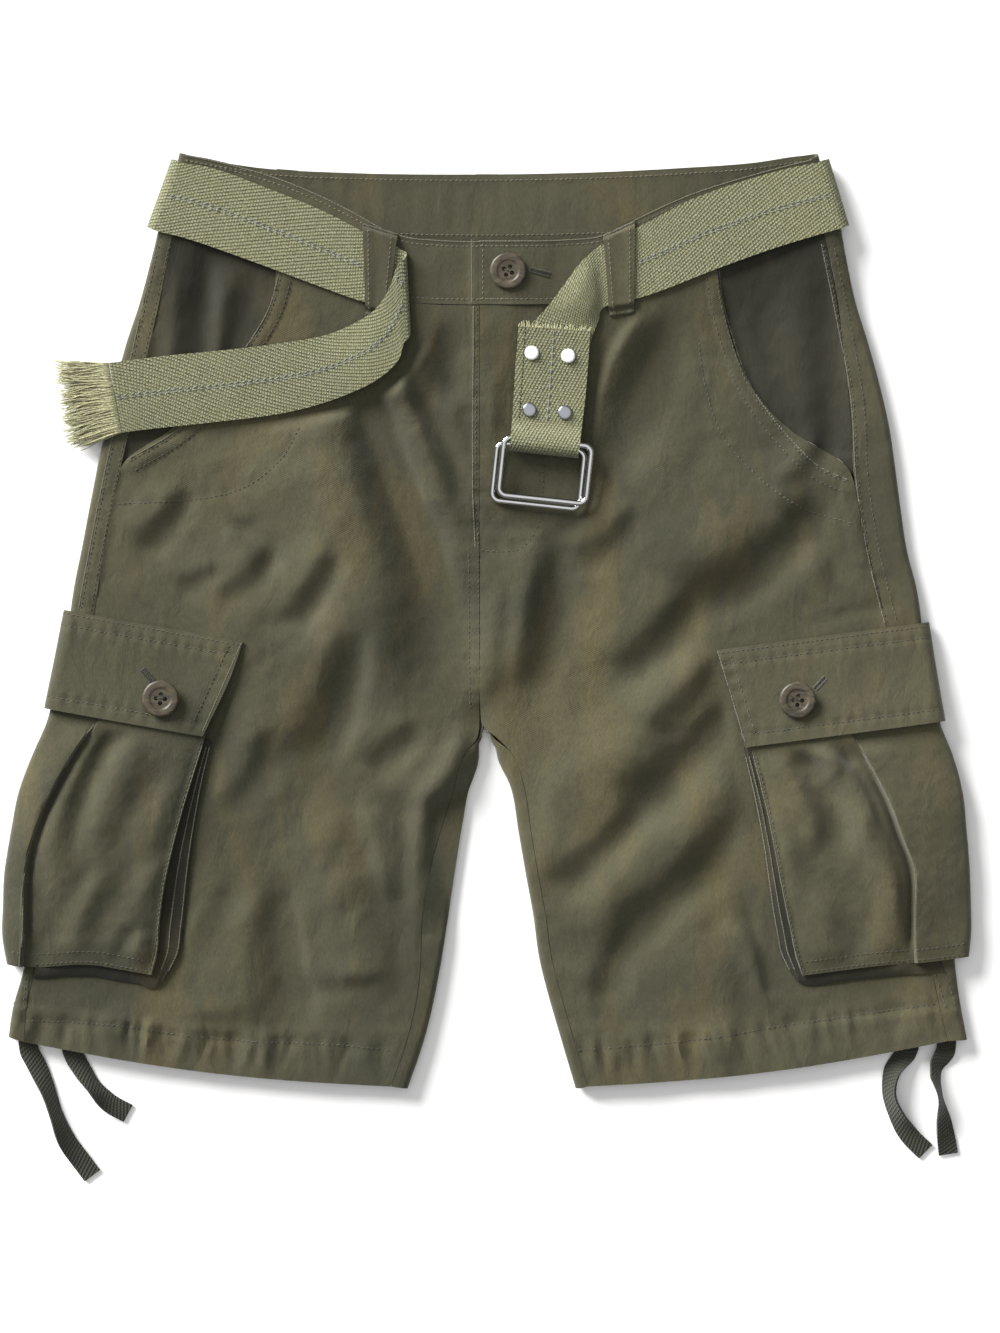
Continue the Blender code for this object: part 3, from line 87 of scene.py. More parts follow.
CROTCH = (-3.0, -62.0)
CROTCH_REACH = 14.0     # the front comes down and the back comes up to meet within this radius
CROTCH_FRONT_DIP = 2.9
CROTCH_BACK_RISE = 2.3
CROTCH_SPAN = 32.0      # the back's inner edge turns up from the floor to the inseam over this length

# One row for each section across a leg, from the waist seam to the hem: the outer fold, the side seam, the front's
# inner edge, the back's inner edge, and how wide the slanting pocket's mouth is open.
# fold_x, fold_y, seam_x, seam_y, front_x, front_y, back_x, back_y, opening
RIGHT_LEG = [
    (-195.9, 239.1, -187.2, 239.1, -4.5, 189, -1.5, 228, 63),
    (-206.4, 198.3, -195, 198.3, -4.5, 165, -1.5, 186, 66),
    (-219, 159.3, -204, 159.3, -4.5, 138, -1.5, 150, 51),
    (-227.4, 123.3, -212.4, 123.3, -4.5, 108, -1.5, 114, 31),
    (-233.5, 95.7, -219, 95.1, -4.5, 78, -1.5, 84, 0),
    (-243.6, 43.5, -229.8, 42.3, -4.5, 36, -1.5, 42, 0),
    (-250.5, 6.3, -235.2, 6.3, -4.5, -3, -1.5, 5, 0),
    (-253.2, -26.7, -240.6, -26.7, -4.5, -35, -1.5, -30, 0),
    (-256.5, -54.3, -246.1, -53.7, -4.5, -59, -1.5, -59, 0),
    (-257, -57.3, -246.6, -56.7, -4.5, -62, -1.5, -62, 0),
    (-258.2, -65.4, -248.3, -64.9, -5.6, -70, -2.8, -70, 0),
    (-259.4, -73.4, -250, -73, -11.8, -78, -4.6, -78, 0),
    (-263, -97.5, -255, -97.5, -18.8, -98.7, -10.2, -98.7, 0),
    (-269.5, -142.5, -262.6, -142.5, -33, -144.9, -18, -143.7, 0),
    (-275.2, -182.7, -268.6, -179.7, -39.2, -182.7, -24, -183.9, 0),
    (-279, -212.7, -272.2, -212.7, -40.8, -215.7, -29.4, -215.7, 0),
    (-284.6, -231.3, -276, -231.9, -46.2, -245.7, -36.6, -248.7, 0),
    (-287.4, -249.9, -277.6, -252.9, -57.6, -279.6, -47.4, -281, 0),
]
LEFT_LEG = [
    (211.9, 239.1, 201, 239.1, -4.5, 189, -1.5, 228, 66),
    (219.6, 198.3, 209.4, 198.3, -4.5, 165, -1.5, 186, 68),
    (229.8, 164.3, 214.2, 159.3, -4.5, 138, -1.5, 150, 62),
    (240.5, 123.3, 218.4, 123.3, -4.5, 108, -1.5, 114, 44),
    (245.6, 90.7, 220.2, 87.1, -4.5, 78, -1.5, 84, 0),
    (252.2, 43.5, 228.6, 42.3, -4.5, 36, -1.5, 42, 0),
    (260.8, 6.3, 238.2, 5.1, -4.5, -3, -1.5, 5, 0),
    (262.4, -26.7, 244.2, -26.7, -4.5, -35, -1.5, -30, 0),
    (264.9, -54.3, 249.1, -54.3, -4.5, -59, -1.5, -59, 0),
    (265.2, -57.3, 249.6, -57.3, -3.6, -61, -1.5, -62, 0),
    (266.5, -67.6, 250.9, -67.6, 5.4, -70, 1.4, -70.5, 0),
    (267.7, -77.8, 252.3, -77.8, 13.4, -78, 5.4, -79, 0),
    (270.2, -97.5, 255, -97.5, 20.4, -93.3, 12.4, -94.5, 0),
    (275, -142.5, 259.8, -142.5, 28, -137.7, 20.6, -138.9, 0),
    (279, -182.7, 264, -182.7, 35.2, -176.7, 27.8, -178.5, 0),
    (282.2, -213.9, 267.4, -210.9, 40.6, -210.9, 33.2, -212.7, 0),
    (284.6, -230.7, 272, -233.7, 49.6, -242.7, 42.2, -244.5, 0),
    (288.6, -251.7, 276.4, -252.3, 60.4, -279.6, 53, -281, 0),
]
HEM_SAG = 5.0           # the hem hangs this much lower in its middle


def level(height, rows):
    """Rows of a strip's two edges at one height, from their x and y, and without camber."""
    return [(ux, uy, height, lx, ly, height, 0.0) for ux, uy, lx, ly in rows]


# The waistband in three runs, from the end that laps over on the left front, round the back, to the end under the
# lap. A half turn at each side fold joins them.
# upper_x, upper_y, lower_x, lower_y
BAND_LEFT_FRONT = level(BAND_TOP + FLY_LIFT, [
    (-4.8, 227.7, -4.8, 189.3),
    (26, 227.7, 26, 189.3),
]) + level(BAND_TOP + 0.3, [(48.0, 228.6, 48.0, 190.2)]) + level(BAND_TOP, [
    (65.4, 230.1, 68.6, 192.4),
    (82.8, 237.9, 90, 200),
    (122.4, 255.9, 135, 218.1),
    (160.8, 267.9, 173.4, 230.1),
    (183.6, 274, 196.2, 236.2),
    (194.7, 276.6, 207.7, 238.6),
])
BAND_BACK = level(BAND_FLOOR, [
    (194.7, 280, 207.7, 240.2),
    (183.6, 278.6, 195, 239),
    (160.8, 275.1, 168.6, 236.6),
    (122, 272.2, 126, 233),
    (82, 270, 84, 230.4),
    (-4.2, 268, -4.2, 228.3),
    (-88.2, 269.1, -89.4, 230.8),
    (-137.4, 272, -142.2, 234.6),
    (-168, 277, -179.4, 238.4),
    (-180.3, 279.6, -191.7, 239.8),
])
BAND_RIGHT_FRONT = level(BAND_TOP, [
    (-180.3, 279.2, -191.7, 239.4),
    (-168, 276.9, -180.6, 237.6),
    (-148.2, 272.1, -161.4, 233),
    (-124.2, 264.9, -137.4, 225.5),
    (-99.6, 254.7, -113.4, 217),
    (-79.2, 244.5, -91.8, 207.5),
    (-63, 235.5, -72.6, 197.5),
    (-46.2, 229.8, -51, 191.3),
    (-28.2, 228.2, -28.2, 189.7),
    (-4.2, 227.4, -4.2, 189.3),
    (20, 227.4, 20, 189.3),
])
BAND_REACH = (BAND_TOP - BAND_FLOOR) / 2
BAND_MIDDLE = (BAND_TOP + BAND_FLOOR) / 2

# Soft ridges (height above 0) and troughs (below 0) of the front, each along a line from (x1, y1) to (x2, y2).
# x1, y1, x2, y2, width, height
FOLDS = [
    (-85, 116, -34, 54, 16, -1.3),
    (-34, 54, -17, 0, 15, -1.3),
    (-112, 84, -70, -12, 26, 5),
    (-27, 124, -14, 40, 13, 2.2),
    (-214, 60, -110, 20, 16, -1.1),
    (-97, -40, -62, -96, 15, -1.1),
    (-66, -34, -28, -90, 20, 3.6),
    (-150, -6, -134, -96, 20, 3.2),
    (-70, -116, -50, -198, 13, -1),
    (-118, -166, -160, -226, 14, -1.1),
    (-118, -166, -106, -218, 13, -1),
    (-96, -136, -72, -206, 17, 4),
    (62, 176, 110, 120, 22, -1.4),
    (56, 34, 36, -46, 14, -1.1),
    (14, 34, 26, -20, 14, 2.6),
    (84, 88, 130, 34, 26, 5),
    (176, 64, 94, -20, 14, -1.1),
    (116, -78, 44, -159, 14, -1.1),
    (52, -104, 112, -44, 18, 4.2),
    (70, -150, 134, -104, 15, 4),
    (142, -140, 68, -204, 14, -1.1),
    (118, -182, 146, -222, 15, 3.4),
]

# The cloth is pressed flat along this line, from (x1, y1) to (x2, y2), under the strap and its rings.
PRESSED = (36, 140, 31, 74)
PRESSED_WIDTH = 50.0
PRESSED_DEPTH = 1.0

# Cargo pockets. A pocket's own axes start on the side seam at the flap's top: `across` runs from the seam towards
# the inner leg and `down` along the seam.
RIGHT_POCKET = {"origin": (-235, 3), "down": (-0.175, -0.985), "inward": 1, "fold": (-14.3, -6)}
LEFT_POCKET = {"origin": (238.5, -4.5), "down": (0.130, -0.9915), "inward": -1, "fold": (-21.9, -16.5)}
FLAP_DEPTH = 60.0
# The flap's reach to its front end and to its outer end, at three distances down.
# down, front, outer
RIGHT_FLAP = [(0, 90, -19.6), (20, 87, -19.8), (60, 76.5, -20.6)]
LEFT_FLAP = [(0, 101.5, -27.4), (29, 96.5, -28), (60, 92.5, -29.2)]
# The bag's front edge, the gusset's width beyond it, the pleat, the outer end, and how far the face stands up at
# its edges and in its middle.
# down, front, gusset, pleat, outer, edge_puff, puff
RIGHT_BAG = [
    (14, 82, 3, 24, -17, 0, 0),
    (46, 79, 4, 17, -16.8, 1.5, 1),
    (64, 77.5, 4.5, 12, -17.6, 2.2, 3),
    (84, 75, 6, 2, -22.5, 2.6, 4.5),
    (107, 72.5, 8.5, -6, -27, 3, 5.5),
    (135, 70.5, 11.5, -12.5, -27.3, 3.2, 6),
    (155, 70, 13.5, -13.5, -27, 3.2, 5.5),
    (177, 71, 14, -11, -23.8, 3, 4),
    (196, 72.5, 12, -8, -20.2, 2.8, 2),
    (206, 71, 9, -7, -16, 2.6, 0.5),
]
LEFT_BAG = [
    (14, 93, 3, 40, -25, 0, 0),
    (42, 91, 4, 33, -25, 1.5, 1),
    (60, 89.2, 4.5, 28, -26, 2.2, 3),
    (82, 86.5, 5, 19.5, -31.5, 2.6, 4.5),
    (101, 84.5, 5.5, 12.5, -34, 3, 5.5),
    (125, 83, 6, 7, -33.5, 3.2, 6),
    (145, 82, 7, 2.5, -32.5, 3.2, 5.5),
    (172, 80, 8.5, 5.5, -30, 3, 4),
    (190, 78.5, 8, 7.5, -27.5, 2.8, 2),
    (200, 76, 6, 8, -25, 2.6, 0.5),
]
BAG_OUTER_DROP = (9, 2)     # how much lower each bag's bottom edge is at its outer end, right and left
PLEAT_STEP = 2.0
GUSSET_WALL = 1.0
GUSSET_TUCK = 1.4        # how far the gusset reaches in under the face
FACE_ROWS = 13
BAG_TURN = 5.2          # the outer turn of the bag, and of the flap over it
FLAP_TURN = 6.4

# The belt, from the raw end of the tail to the raw end of the folded strap: both edges and the web's middle.
BELT_FLOOR = 2.3
BELT_FRONT = BAND_TOP + LAYER + WEB_WALL / 2
# upper_x, upper_y, upper_z, lower_x, lower_y, lower_z, camber, or without heights and camber where it is level
TAIL = [
    (-226.4, 154.2, 12.4, -218.6, 112.6, 11.8, 0),
    (-200, 157.7, 11.8, -203, 114.6, 11.2, 0.3),
    (-151.8, 162.6, 11.4, -160, 119.3, 10.8, 0.3),
    (-119.4, 166.8, 11.6, -121, 124.5, 10.8, 0.3),
    (-94.2, 171.6, 12.8, -96, 131, 11.4, 0.5),
    (-80.4, 177.2, 14.6, -83, 135.8, 12.4, 0.8),
    (-67, 185.8, 16.6, -67.6, 143, 14.4, 1),
    (-60.5, 194.5, 17.4, -57.5, 150.5, 15.8, 0.6),
    (-56, 205, 17.5, -51.5, 158.5, 16.8, 0.3),
    (-51.5, 215, 17.4, -48.5, 167.5, 17, 0),
]
CREASE_REACH = 2.2
BELT_RIGHT_FRONT = level(BELT_FRONT, [
    (-50.5, 221.5, -48.5, 178.5),
    (-58, 227.4, -57.5, 187),
    (-73.2, 232.5, -76, 191.4),
    (-91.2, 241.8, -97, 198.8),
    (-133.2, 259.4, -143.4, 216),
    (-169.8, 272, -184.2, 229.9),
    (-183.3, 274.2, -198.1, 233.4),
])
BELT_BACK = level(BELT_FLOOR, [
    (-183.3, 275.6, -198.1, 234.8),
    (-168, 273, -181, 231.6),
    (-137.4, 267.4, -143, 224.6),
    (-88, 263.6, -89.4, 220.2),
    (0, 262.4, 0, 218.6),
    (82, 264.2, 84.4, 220.6),
    (160.8, 270, 169.6, 227.4),
    (184.6, 273.6, 197, 232.6),
    (199.2, 276, 211.3, 236),
])
BELT_LEFT_FRONT = level(BELT_FRONT, [
    (199.2, 274.6, 211.3, 234.6),
    (184.6, 271.6, 198, 230.8),
    (160.8, 265.3, 174.6, 223.7),
    (122.4, 252, 136, 209.9),
    (90, 235.2, 94.8, 194.2),
    (74, 227.8, 75.4, 189),
])
BELT_REACH = (BELT_FRONT - BELT_FLOOR) / 2
BELT_MIDDLE = 9.0       # the web that is higher than this is in front
STRAP_LOWER = [
    (66.5, 223.6, BELT_FRONT, 70.6, 187.8, BELT_FRONT, 0.2),
    (56.5, 214.4, 15.2, 67.6, 185, BELT_FRONT, 2.8),
    (46.5, 201, 15.4, 66.6, 180.2, 13.4, 3.6),
    (36, 187.5, 14.8, 64.6, 174.4, 13.4, 0.8),
    (24.5, 175, 13.7, 62.2, 166.8, 13.1, 0),
    (17.6, 160, 12.7, 60.8, 155.6, 12.5, 0),
    (16.2, 138.6, 12.1, 59, 134.6, 12.1, 0),
    (15.1, 121, 12, 56.9, 116.6, 12, 0),
]
STRAP_UPPER = [
    (15.1, 121, 14.2, 56.9, 116.6, 14.2, 0),
    (16.2, 138.6, 14.2, 59, 134.6, 14.2, 0),
    (17.6, 158, 14.9, 60.6, 154.6, 14.8, 0),
    (18.8, 176, 16.5, 61.7, 173, 16.2, 0),
]

# The bight of the strap, round the bars of both rings. The rings turn together about its axis.
BIGHT_CENTRE = (34.6, 105.4, 15)
BIGHT_INNER = 4.6
STRAP_YAW = -6.2        # degrees
STRAP_HALF = 20.8
RING_TILT = 3.4         # degrees, the rings' free ends lie lower than their bars
BIGHT_STEPS = 8

# x, y, and the height of the web's middle there
RIVETS = [(26.8, 160, 15.3), (48.6, 158.2, 15.3), (25.4, 126, 14.3), (46.6, 124.4, 14.3)]

# Belt loops: the corners upper right, upper left, lower right and lower left.
FRONT_LOOPS = {
    "belt_loop_front_right": ((-74.5, 238.2), (-53.5, 231.8), (-72.6, 182.6), (-60, 180.6)),
    "belt_loop_front_left": ((69.5, 231), (88.5, 239.8), (73.5, 182.4), (88, 184.4)),
}
BACK_LOOPS = {
    "belt_loop_back_right": ((-126.5, 271.6), (-113.5, 270.6), (-128.5, 215), (-115.5, 215)),
    "belt_loop_back_centre": ((-6.5, 268.4), (6.5, 268.4), (-6.5, 212), (6.5, 212)),
    "belt_loop_back_left": ((111.5, 271), (124.5, 272.2), (113.5, 215), (126.5, 215)),
}

# Buttons: the waist button's place, and each cargo button's distance across and down its pocket.
WAIST_BUTTON = (12.6, 209.1)
CARGO_BUTTONS = {"right": (48, 42), "left": (58, 36)}

# Drawstring ends: the tape's middle, and its roll about its own length in degrees.
DRAWSTRINGS = {
    "drawstring_right_outer": [
        (-272, -226, 2.4, 0), (-274.5, -243, 2.4, 0), (-276, -256, 2.4, 0), (-270.5, -268, 2.6, 20),
        (-263.5, -283, 4.6, 50), (-258.4, -298, 4.8, 55), (-252, -314, 2.8, 25), (-243.5, -326, 1.2, 0),
        (-237.5, -334, 1, 0),
    ],
    "drawstring_right_inner": [
        (-246, -216, 2.4, 0), (-249, -238, 2.4, 0), (-249.5, -259, 2.4, 0), (-243.5, -270, 3, 30),
        (-235.5, -281, 4.6, 50), (-226.8, -290.5, 2.2, 15), (-216, -296.5, 1, 0),
    ],
    "drawstring_left_inner": [
        (251, -216, 2.4, 0), (253, -238, 2.4, 0), (253, -259, 2.4, 0), (244.5, -269, 3.6, -35),
        (241.6, -284, 4.8, -55), (246.5, -298, 4.2, -45), (254.4, -310, 1.8, -10), (264, -319.5, 1, 0),
    ],
    "drawstring_left_outer": [
        (270, -226, 2.4, 0), (274, -243, 2.4, 0), (276.4, -256.5, 2.4, 0), (269.8, -269, 4.4, 45),
        (272.6, -287, 5.6, 75), (274.6, -301, 4, 40), (277.6, -321, 1, 0),
    ],
}

TAPE_EXIT = -260.0      # the tapes lie flat as far as this, inside the hem's casing

FRINGE_YARNS = 520
FRINGE_LENGTH = 28.0
FRINGE_FAN = 9.0        # how much wider the yarns' tips spread than their roots
STRAP_YARNS = 64        # at the strap's raw end
YARN_RADIUS = 0.36


# ---------------------------------------------------------------- camera and light

VIEW_CENTRE = (7.8, -27.6)
VIEW_HEIGHT = 800.0
CAMERA_HEIGHT = 2500.0
CLOTH_HEIGHT = 8.0      # where the view is VIEW_HEIGHT tall


def camera():
    data = bpy.data.cameras.new("camera")
    data.sensor_fit = "VERTICAL"
    data.sensor_height = 24.0
    data.lens = data.sensor_height * (CAMERA_HEIGHT - CLOTH_HEIGHT) / VIEW_HEIGHT
    data.clip_end = 20.0
    made = bpy.data.objects.new("camera", data)
    made.location = (VIEW_CENTRE[0] * MM, VIEW_CENTRE[1] * MM, CAMERA_HEIGHT * MM)
    bpy.context.scene.collection.objects.link(made)
    bpy.context.scene.camera = made


def sun(name, towards, strength, spread_degrees, colour):
    data = bpy.data.lights.new(name, "SUN")
    data.energy = strength
    data.angle = math.radians(spread_degrees)
    data.color = colour
    made = bpy.data.objects.new(name, data)
    made.rotation_euler = Vector(towards).to_track_quat("-Z", "Y").to_euler()
    bpy.context.scene.collection.objects.link(made)


KEY = {"towards": (0.66, -0.64, -0.36), "strength": 8.8, "spread_degrees": 34.0, "colour": (1.0, 0.99, 0.97)}
FILL = {"towards": (-0.2, 0.2, -0.95), "strength": 0.18, "spread_degrees": 90.0, "colour": (1.0, 1.0, 1.0)}
SURROUND = [(0.0, 0.03), (1.0, 0.38), (0.45, 0.13)]      # how bright the surround is at each height, 1 overhead


def studio():
    """A soft key from the upper left, a weak fill from above, and a surround that darkens toward the horizon."""
    sun("key", **KEY)
    sun("fill", **FILL)
    world = bpy.data.worlds.new("surround")
    world.use_nodes = True
    nodes, links = world.node_tree.nodes, world.node_tree.links
    split = nodes.new("ShaderNodeSeparateXYZ")
    links.new(nodes.new("ShaderNodeTexCoord").outputs["Generated"], split.inputs["Vector"])
    spread_up = nodes.new("ShaderNodeValToRGB")
    stops = spread_up.color_ramp.elements
    for stop, (place, grey) in zip((stops[0], stops[1], stops.new(0.45)), SURROUND):
        stop.position = place
        stop.color = (grey, grey, grey, 1.0)
    links.new(split.outputs["Z"], spread_up.inputs["Fac"])
    links.new(spread_up.outputs["Color"], nodes["Background"].inputs["Color"])
    nodes["Background"].inputs["Strength"].default_value = 1.0
    bpy.context.scene.world = world
    bpy.context.scene.view_settings.view_transform = "Standard"
    bpy.context.scene.view_settings.look = "None"


FLOOR_REACH = 3.0       # metres, as is FLOOR_Z
FLOOR_Z = -0.0002


def floor():
    mesh = bpy.data.meshes.new("floor")
    corners = [(x * FLOOR_REACH, y * FLOOR_REACH, FLOOR_Z) for x, y in ((-1, -1), (1, -1), (1, 1), (-1, 1))]
    mesh.from_pydata(corners, [], [(0, 1, 2, 3)])
    made = bpy.data.objects.new("floor", mesh)
    made.data.materials.append(plain("floor_white", (0.93, 0.93, 0.93), 0.9))
    bpy.context.scene.collection.objects.link(made)


# ---------------------------------------------------------------- materials

WAVE_AT_SCALE_1 = 0.314159      # a wave texture's period at scale 1: a tenth of pi
BLACK = (0.0, 0.0, 0.0)


class Graph:
    """A short way to write a material's nodes."""

    def __init__(self, name):
        self.material = bpy.data.materials.new(name)
        self.material.use_nodes = True
        self.tree = self.material.node_tree
        self.shader = self.tree.nodes["Principled BSDF"]

    def add(self, kind, **values):
        node = self.tree.nodes.new(kind)
        for key, value in values.items():
            if hasattr(node, key):
                setattr(node, key, value)
            else:
                node.inputs[key.replace("_", " ")].default_value = value
        return node

    def link(self, output, node, socket):
        self.tree.links.new(output, node.inputs[socket])

    def coordinates(self, source="Object", scale=(1.0, 1.0, 1.0), turn=0.0):
        place = self.add("ShaderNodeTexCoord")
        mapping = self.add("ShaderNodeMapping")
        mapping.inputs["Scale"].default_value = scale
        mapping.inputs["Rotation"].default_value = (0.0, 0.0, math.radians(turn))
        self.link(place.outputs[source], mapping, "Vector")
        return mapping.outputs["Vector"]

    def noise(self, where, scale, detail=3.0, roughness=0.5, distortion=0.0):
        node = self.add("ShaderNodeTexNoise", Scale=scale, Detail=detail, Roughness=roughness,
                        Distortion=distortion)
        self.link(where, node, "Vector")
        return node.outputs["Fac"]

    def bands(self, where, period, distortion=0.0, detail_scale=2.0):
        """Stripes across X, a period in metres apart."""
        node = self.add("ShaderNodeTexWave", Scale=WAVE_AT_SCALE_1 / period, Distortion=distortion, Detail=1.0)
        node.inputs["Detail Scale"].default_value = detail_scale
        self.link(where, node, "Vector")
        return node.outputs["Fac"]

    def ramp(self, value, low, high, start=0.0, end=1.0):
        node = self.add("ShaderNodeMapRange", clamp=True)
        for socket, number in (("From Min", start), ("From Max", end), ("To Min", low), ("To Max", high)):
            node.inputs[socket].default_value = number
        self.link(value, node, "Value")
        return node.outputs["Result"]

    def math(self, kind, first, second):
        node = self.add("ShaderNodeMath", operation=kind)
        for index, value in enumerate((first, second)):
            if isinstance(value, (int, float)):
                node.inputs[index].default_value = value
            else:
                self.tree.links.new(value, node.inputs[index])
        return node.outputs["Value"]

    def mix(self, share, first, second, kind="MIX"):
        node = self.add("ShaderNodeMix", data_type="RGBA", blend_type=kind)
        for socket, value in ((0, share), (6, first), (7, second)):
            if isinstance(value, (int, float)):
                node.inputs[socket].default_value = value
            elif isinstance(value, tuple):
                node.inputs[socket].default_value = (*value, 1.0)
            else:
                self.tree.links.new(value, node.inputs[socket])
        return node.outputs[2]

    def bump(self, height, strength, distance, below=None):
        node = self.add("ShaderNodeBump")
        node.inputs["Strength"].default_value = strength
        node.inputs["Distance"].default_value = distance
        self.link(height, node, "Height")
        if below is not None:
            self.link(below, node, "Normal")
        return node.outputs["Normal"]

    def finish(self, colour, roughness, normal=None, **numbers):
        if isinstance(colour, tuple):
            self.shader.inputs["Base Color"].default_value = (*colour, 1.0)
        else:
            self.link(colour, self.shader, "Base Color")
        if isinstance(roughness, float):
            self.shader.inputs["Roughness"].default_value = roughness
        else:
            self.link(roughness, self.shader, "Roughness")
        if normal is not None:
            self.link(normal, self.shader, "Normal")
        for name, number in numbers.items():
            self.shader.inputs[name.replace("_", " ")].default_value = number
        return self.material


def plain(name, colour, roughness, **numbers):
    return Graph(name).finish(colour, roughness, **numbers)


def twill(name, light, middle, dark, warm, grain=63.0):
    """Washed cotton twill: a fine diagonal weave, worn lighter in blotches, with small soft wrinkles."""
    g = Graph(name)
    where = g.coordinates()
    weave = g.bands(g.coordinates(turn=grain), 0.0011, distortion=0.6, detail_scale=3.0)
    cross = g.bands(g.coordinates(turn=grain - 90.0), 0.0009, distortion=0.4)
    threads = g.math("MULTIPLY", weave, g.ramp(cross, 0.75, 1.0))
    blotches = g.noise(where, 16.0, detail=4.0, roughness=0.6)
    clouds = g.noise(where, 5.0, detail=2.0)
    fibres = g.noise(g.coordinates(scale=(1.0, 0.35, 1.0), turn=4.0), 900.0, detail=2.0, roughness=0.7)
    colour = g.mix(g.ramp(blotches, 0.0, 1.0, 0.34, 0.68), dark, middle)
    colour = g.mix(g.ramp(clouds, 0.0, 0.75, 0.42, 0.72), colour, light)
    streaks = g.noise(g.coordinates(scale=(1.6, 0.55, 1.0), turn=-12.0), 14.0, detail=4.0, roughness=0.6)
    colour = g.mix(g.ramp(streaks, 0.0, 0.75, 0.52, 0.70), colour, warm)
    colour = g.mix(g.ramp(threads, 0.26, 0.0), colour, BLACK)
    colour = g.mix(g.ramp(fibres, 0.24, 0.0, 0.3, 0.62), colour, BLACK)
    wrinkles = g.noise(g.coordinates(scale=(1.0, 0.55, 1.0), turn=28.0), 60.0, detail=4.0, roughness=0.55,
                       distortion=0.6)
    normal = g.bump(wrinkles, 0.45, 0.0030)
    normal = g.bump(g.noise(where, 420.0, detail=2.0), 0.4, 0.0004, below=normal)
    normal = g.bump(threads, 0.35, 0.00022, below=normal)
    return g.finish(colour, g.ramp(blotches, 0.80, 0.92, 0.3, 0.7), normal, Sheen_Weight=0.22, Sheen_Roughness=0.5,
                    Specular_IOR_Level=0.25)


def webbing(name):
    """Coarse cotton web: rows of slanting knots laid along the strip's own length, with dark gaps between them."""
    g = Graph(name)
    rows = g.bands(g.coordinates("UV", turn=90.0), 0.00165, distortion=0.9, detail_scale=5.0)
    slant = g.bands(g.coordinates("UV", turn=24.0), 0.0019, distortion=1.1, detail_scale=5.0)
    knots = g.math("MULTIPLY", g.ramp(slant, 0.0, 1.0, 0.18, 0.72), g.ramp(rows, 0.25, 1.0, 0.1, 0.6))
    yarn = g.noise(g.coordinates("UV"), 700.0, detail=3.0, roughness=0.7)
    uneven = g.noise(g.coordinates("UV"), 190.0, detail=2.0)
    worn = g.noise(g.coordinates(), 18.0, detail=3.0)
    colour = g.mix(g.ramp(knots, 0.0, 1.0, 0.05, 0.8), (0.056, 0.060, 0.030), (0.295, 0.30, 0.178))
    colour = g.mix(g.ramp(yarn, 0.0, 0.45, 0.42, 0.68), colour, (0.42, 0.42, 0.28))
    colour = g.mix(g.ramp(uneven, 0.0, 0.45, 0.45, 0.7), colour, (0.17, 0.17, 0.085))
    colour = g.mix(g.ramp(worn, 0.0, 0.25, 0.45, 0.7), colour, (0.22, 0.22, 0.11))
    normal = g.bump(g.noise(g.coordinates(), 38.0, detail=3.0), 0.4, 0.0020)
    normal = g.bump(knots, 0.9, 0.0009, below=normal)
    return g.finish(colour, 0.88, normal, Sheen_Weight=0.12, Specular_IOR_Level=0.2)


def tape_weave(name):
    g = Graph(name)
    ribs = g.bands(g.coordinates("UV", turn=64.0), 0.0021, distortion=0.5)
    warp = g.bands(g.coordinates("UV"), 0.0016, distortion=0.4)
    threads = g.math("MULTIPLY", g.ramp(ribs, 0.3, 1.0), g.ramp(warp, 0.5, 1.0))
    colour = g.mix(g.ramp(threads, 0.0, 1.0), (0.010, 0.011, 0.007), (0.044, 0.047, 0.032))
    return g.finish(colour, 0.85, g.bump(threads, 0.9, 0.0007), Sheen_Weight=0.2, Specular_IOR_Level=0.3)


def yarn(name, low, high):
    g = Graph(name)
    fibres = g.noise(g.coordinates(), 700.0, detail=3.0, roughness=0.7)
    colour = g.mix(g.ramp(fibres, 0.0, 1.0, 0.35, 0.65), low, high)
    return g.finish(colour, 0.85, g.bump(fibres, 0.4, 0.0003), Sheen_Weight=0.2, Specular_IOR_Level=0.25)


def horn(name):
    """Brown button plastic with soft streaks."""
    g = Graph(name)
    streaks = g.noise(g.coordinates(scale=(1.0, 3.0, 1.0), turn=20.0), 120.0, detail=4.0, roughness=0.6,
                      distortion=0.8)
    colour = g.mix(g.ramp(streaks, 0.0, 1.0, 0.35, 0.68), (0.026, 0.021, 0.012), (0.082, 0.066, 0.038))
    return g.finish(colour, g.ramp(streaks, 0.36, 0.52), g.bump(streaks, 0.12, 0.0002), Specular_IOR_Level=0.5)


def metal(name, colour, low, high, metallic=1.0):
    g = Graph(name)
    scuffs = g.noise(g.coordinates(scale=(1.0, 0.2, 1.0), turn=35.0), 500.0, detail=3.0, roughness=0.7)
    wear = g.noise(g.coordinates(), 90.0, detail=2.0)
    tone = g.mix(g.ramp(wear, 0.0, 0.25, 0.4, 0.7), colour, tuple(0.72 * part for part in colour))
    return g.finish(tone, g.ramp(scuffs, low, high, 0.35, 0.7), g.bump(scuffs, 0.05, 0.0001), Metallic=metallic)


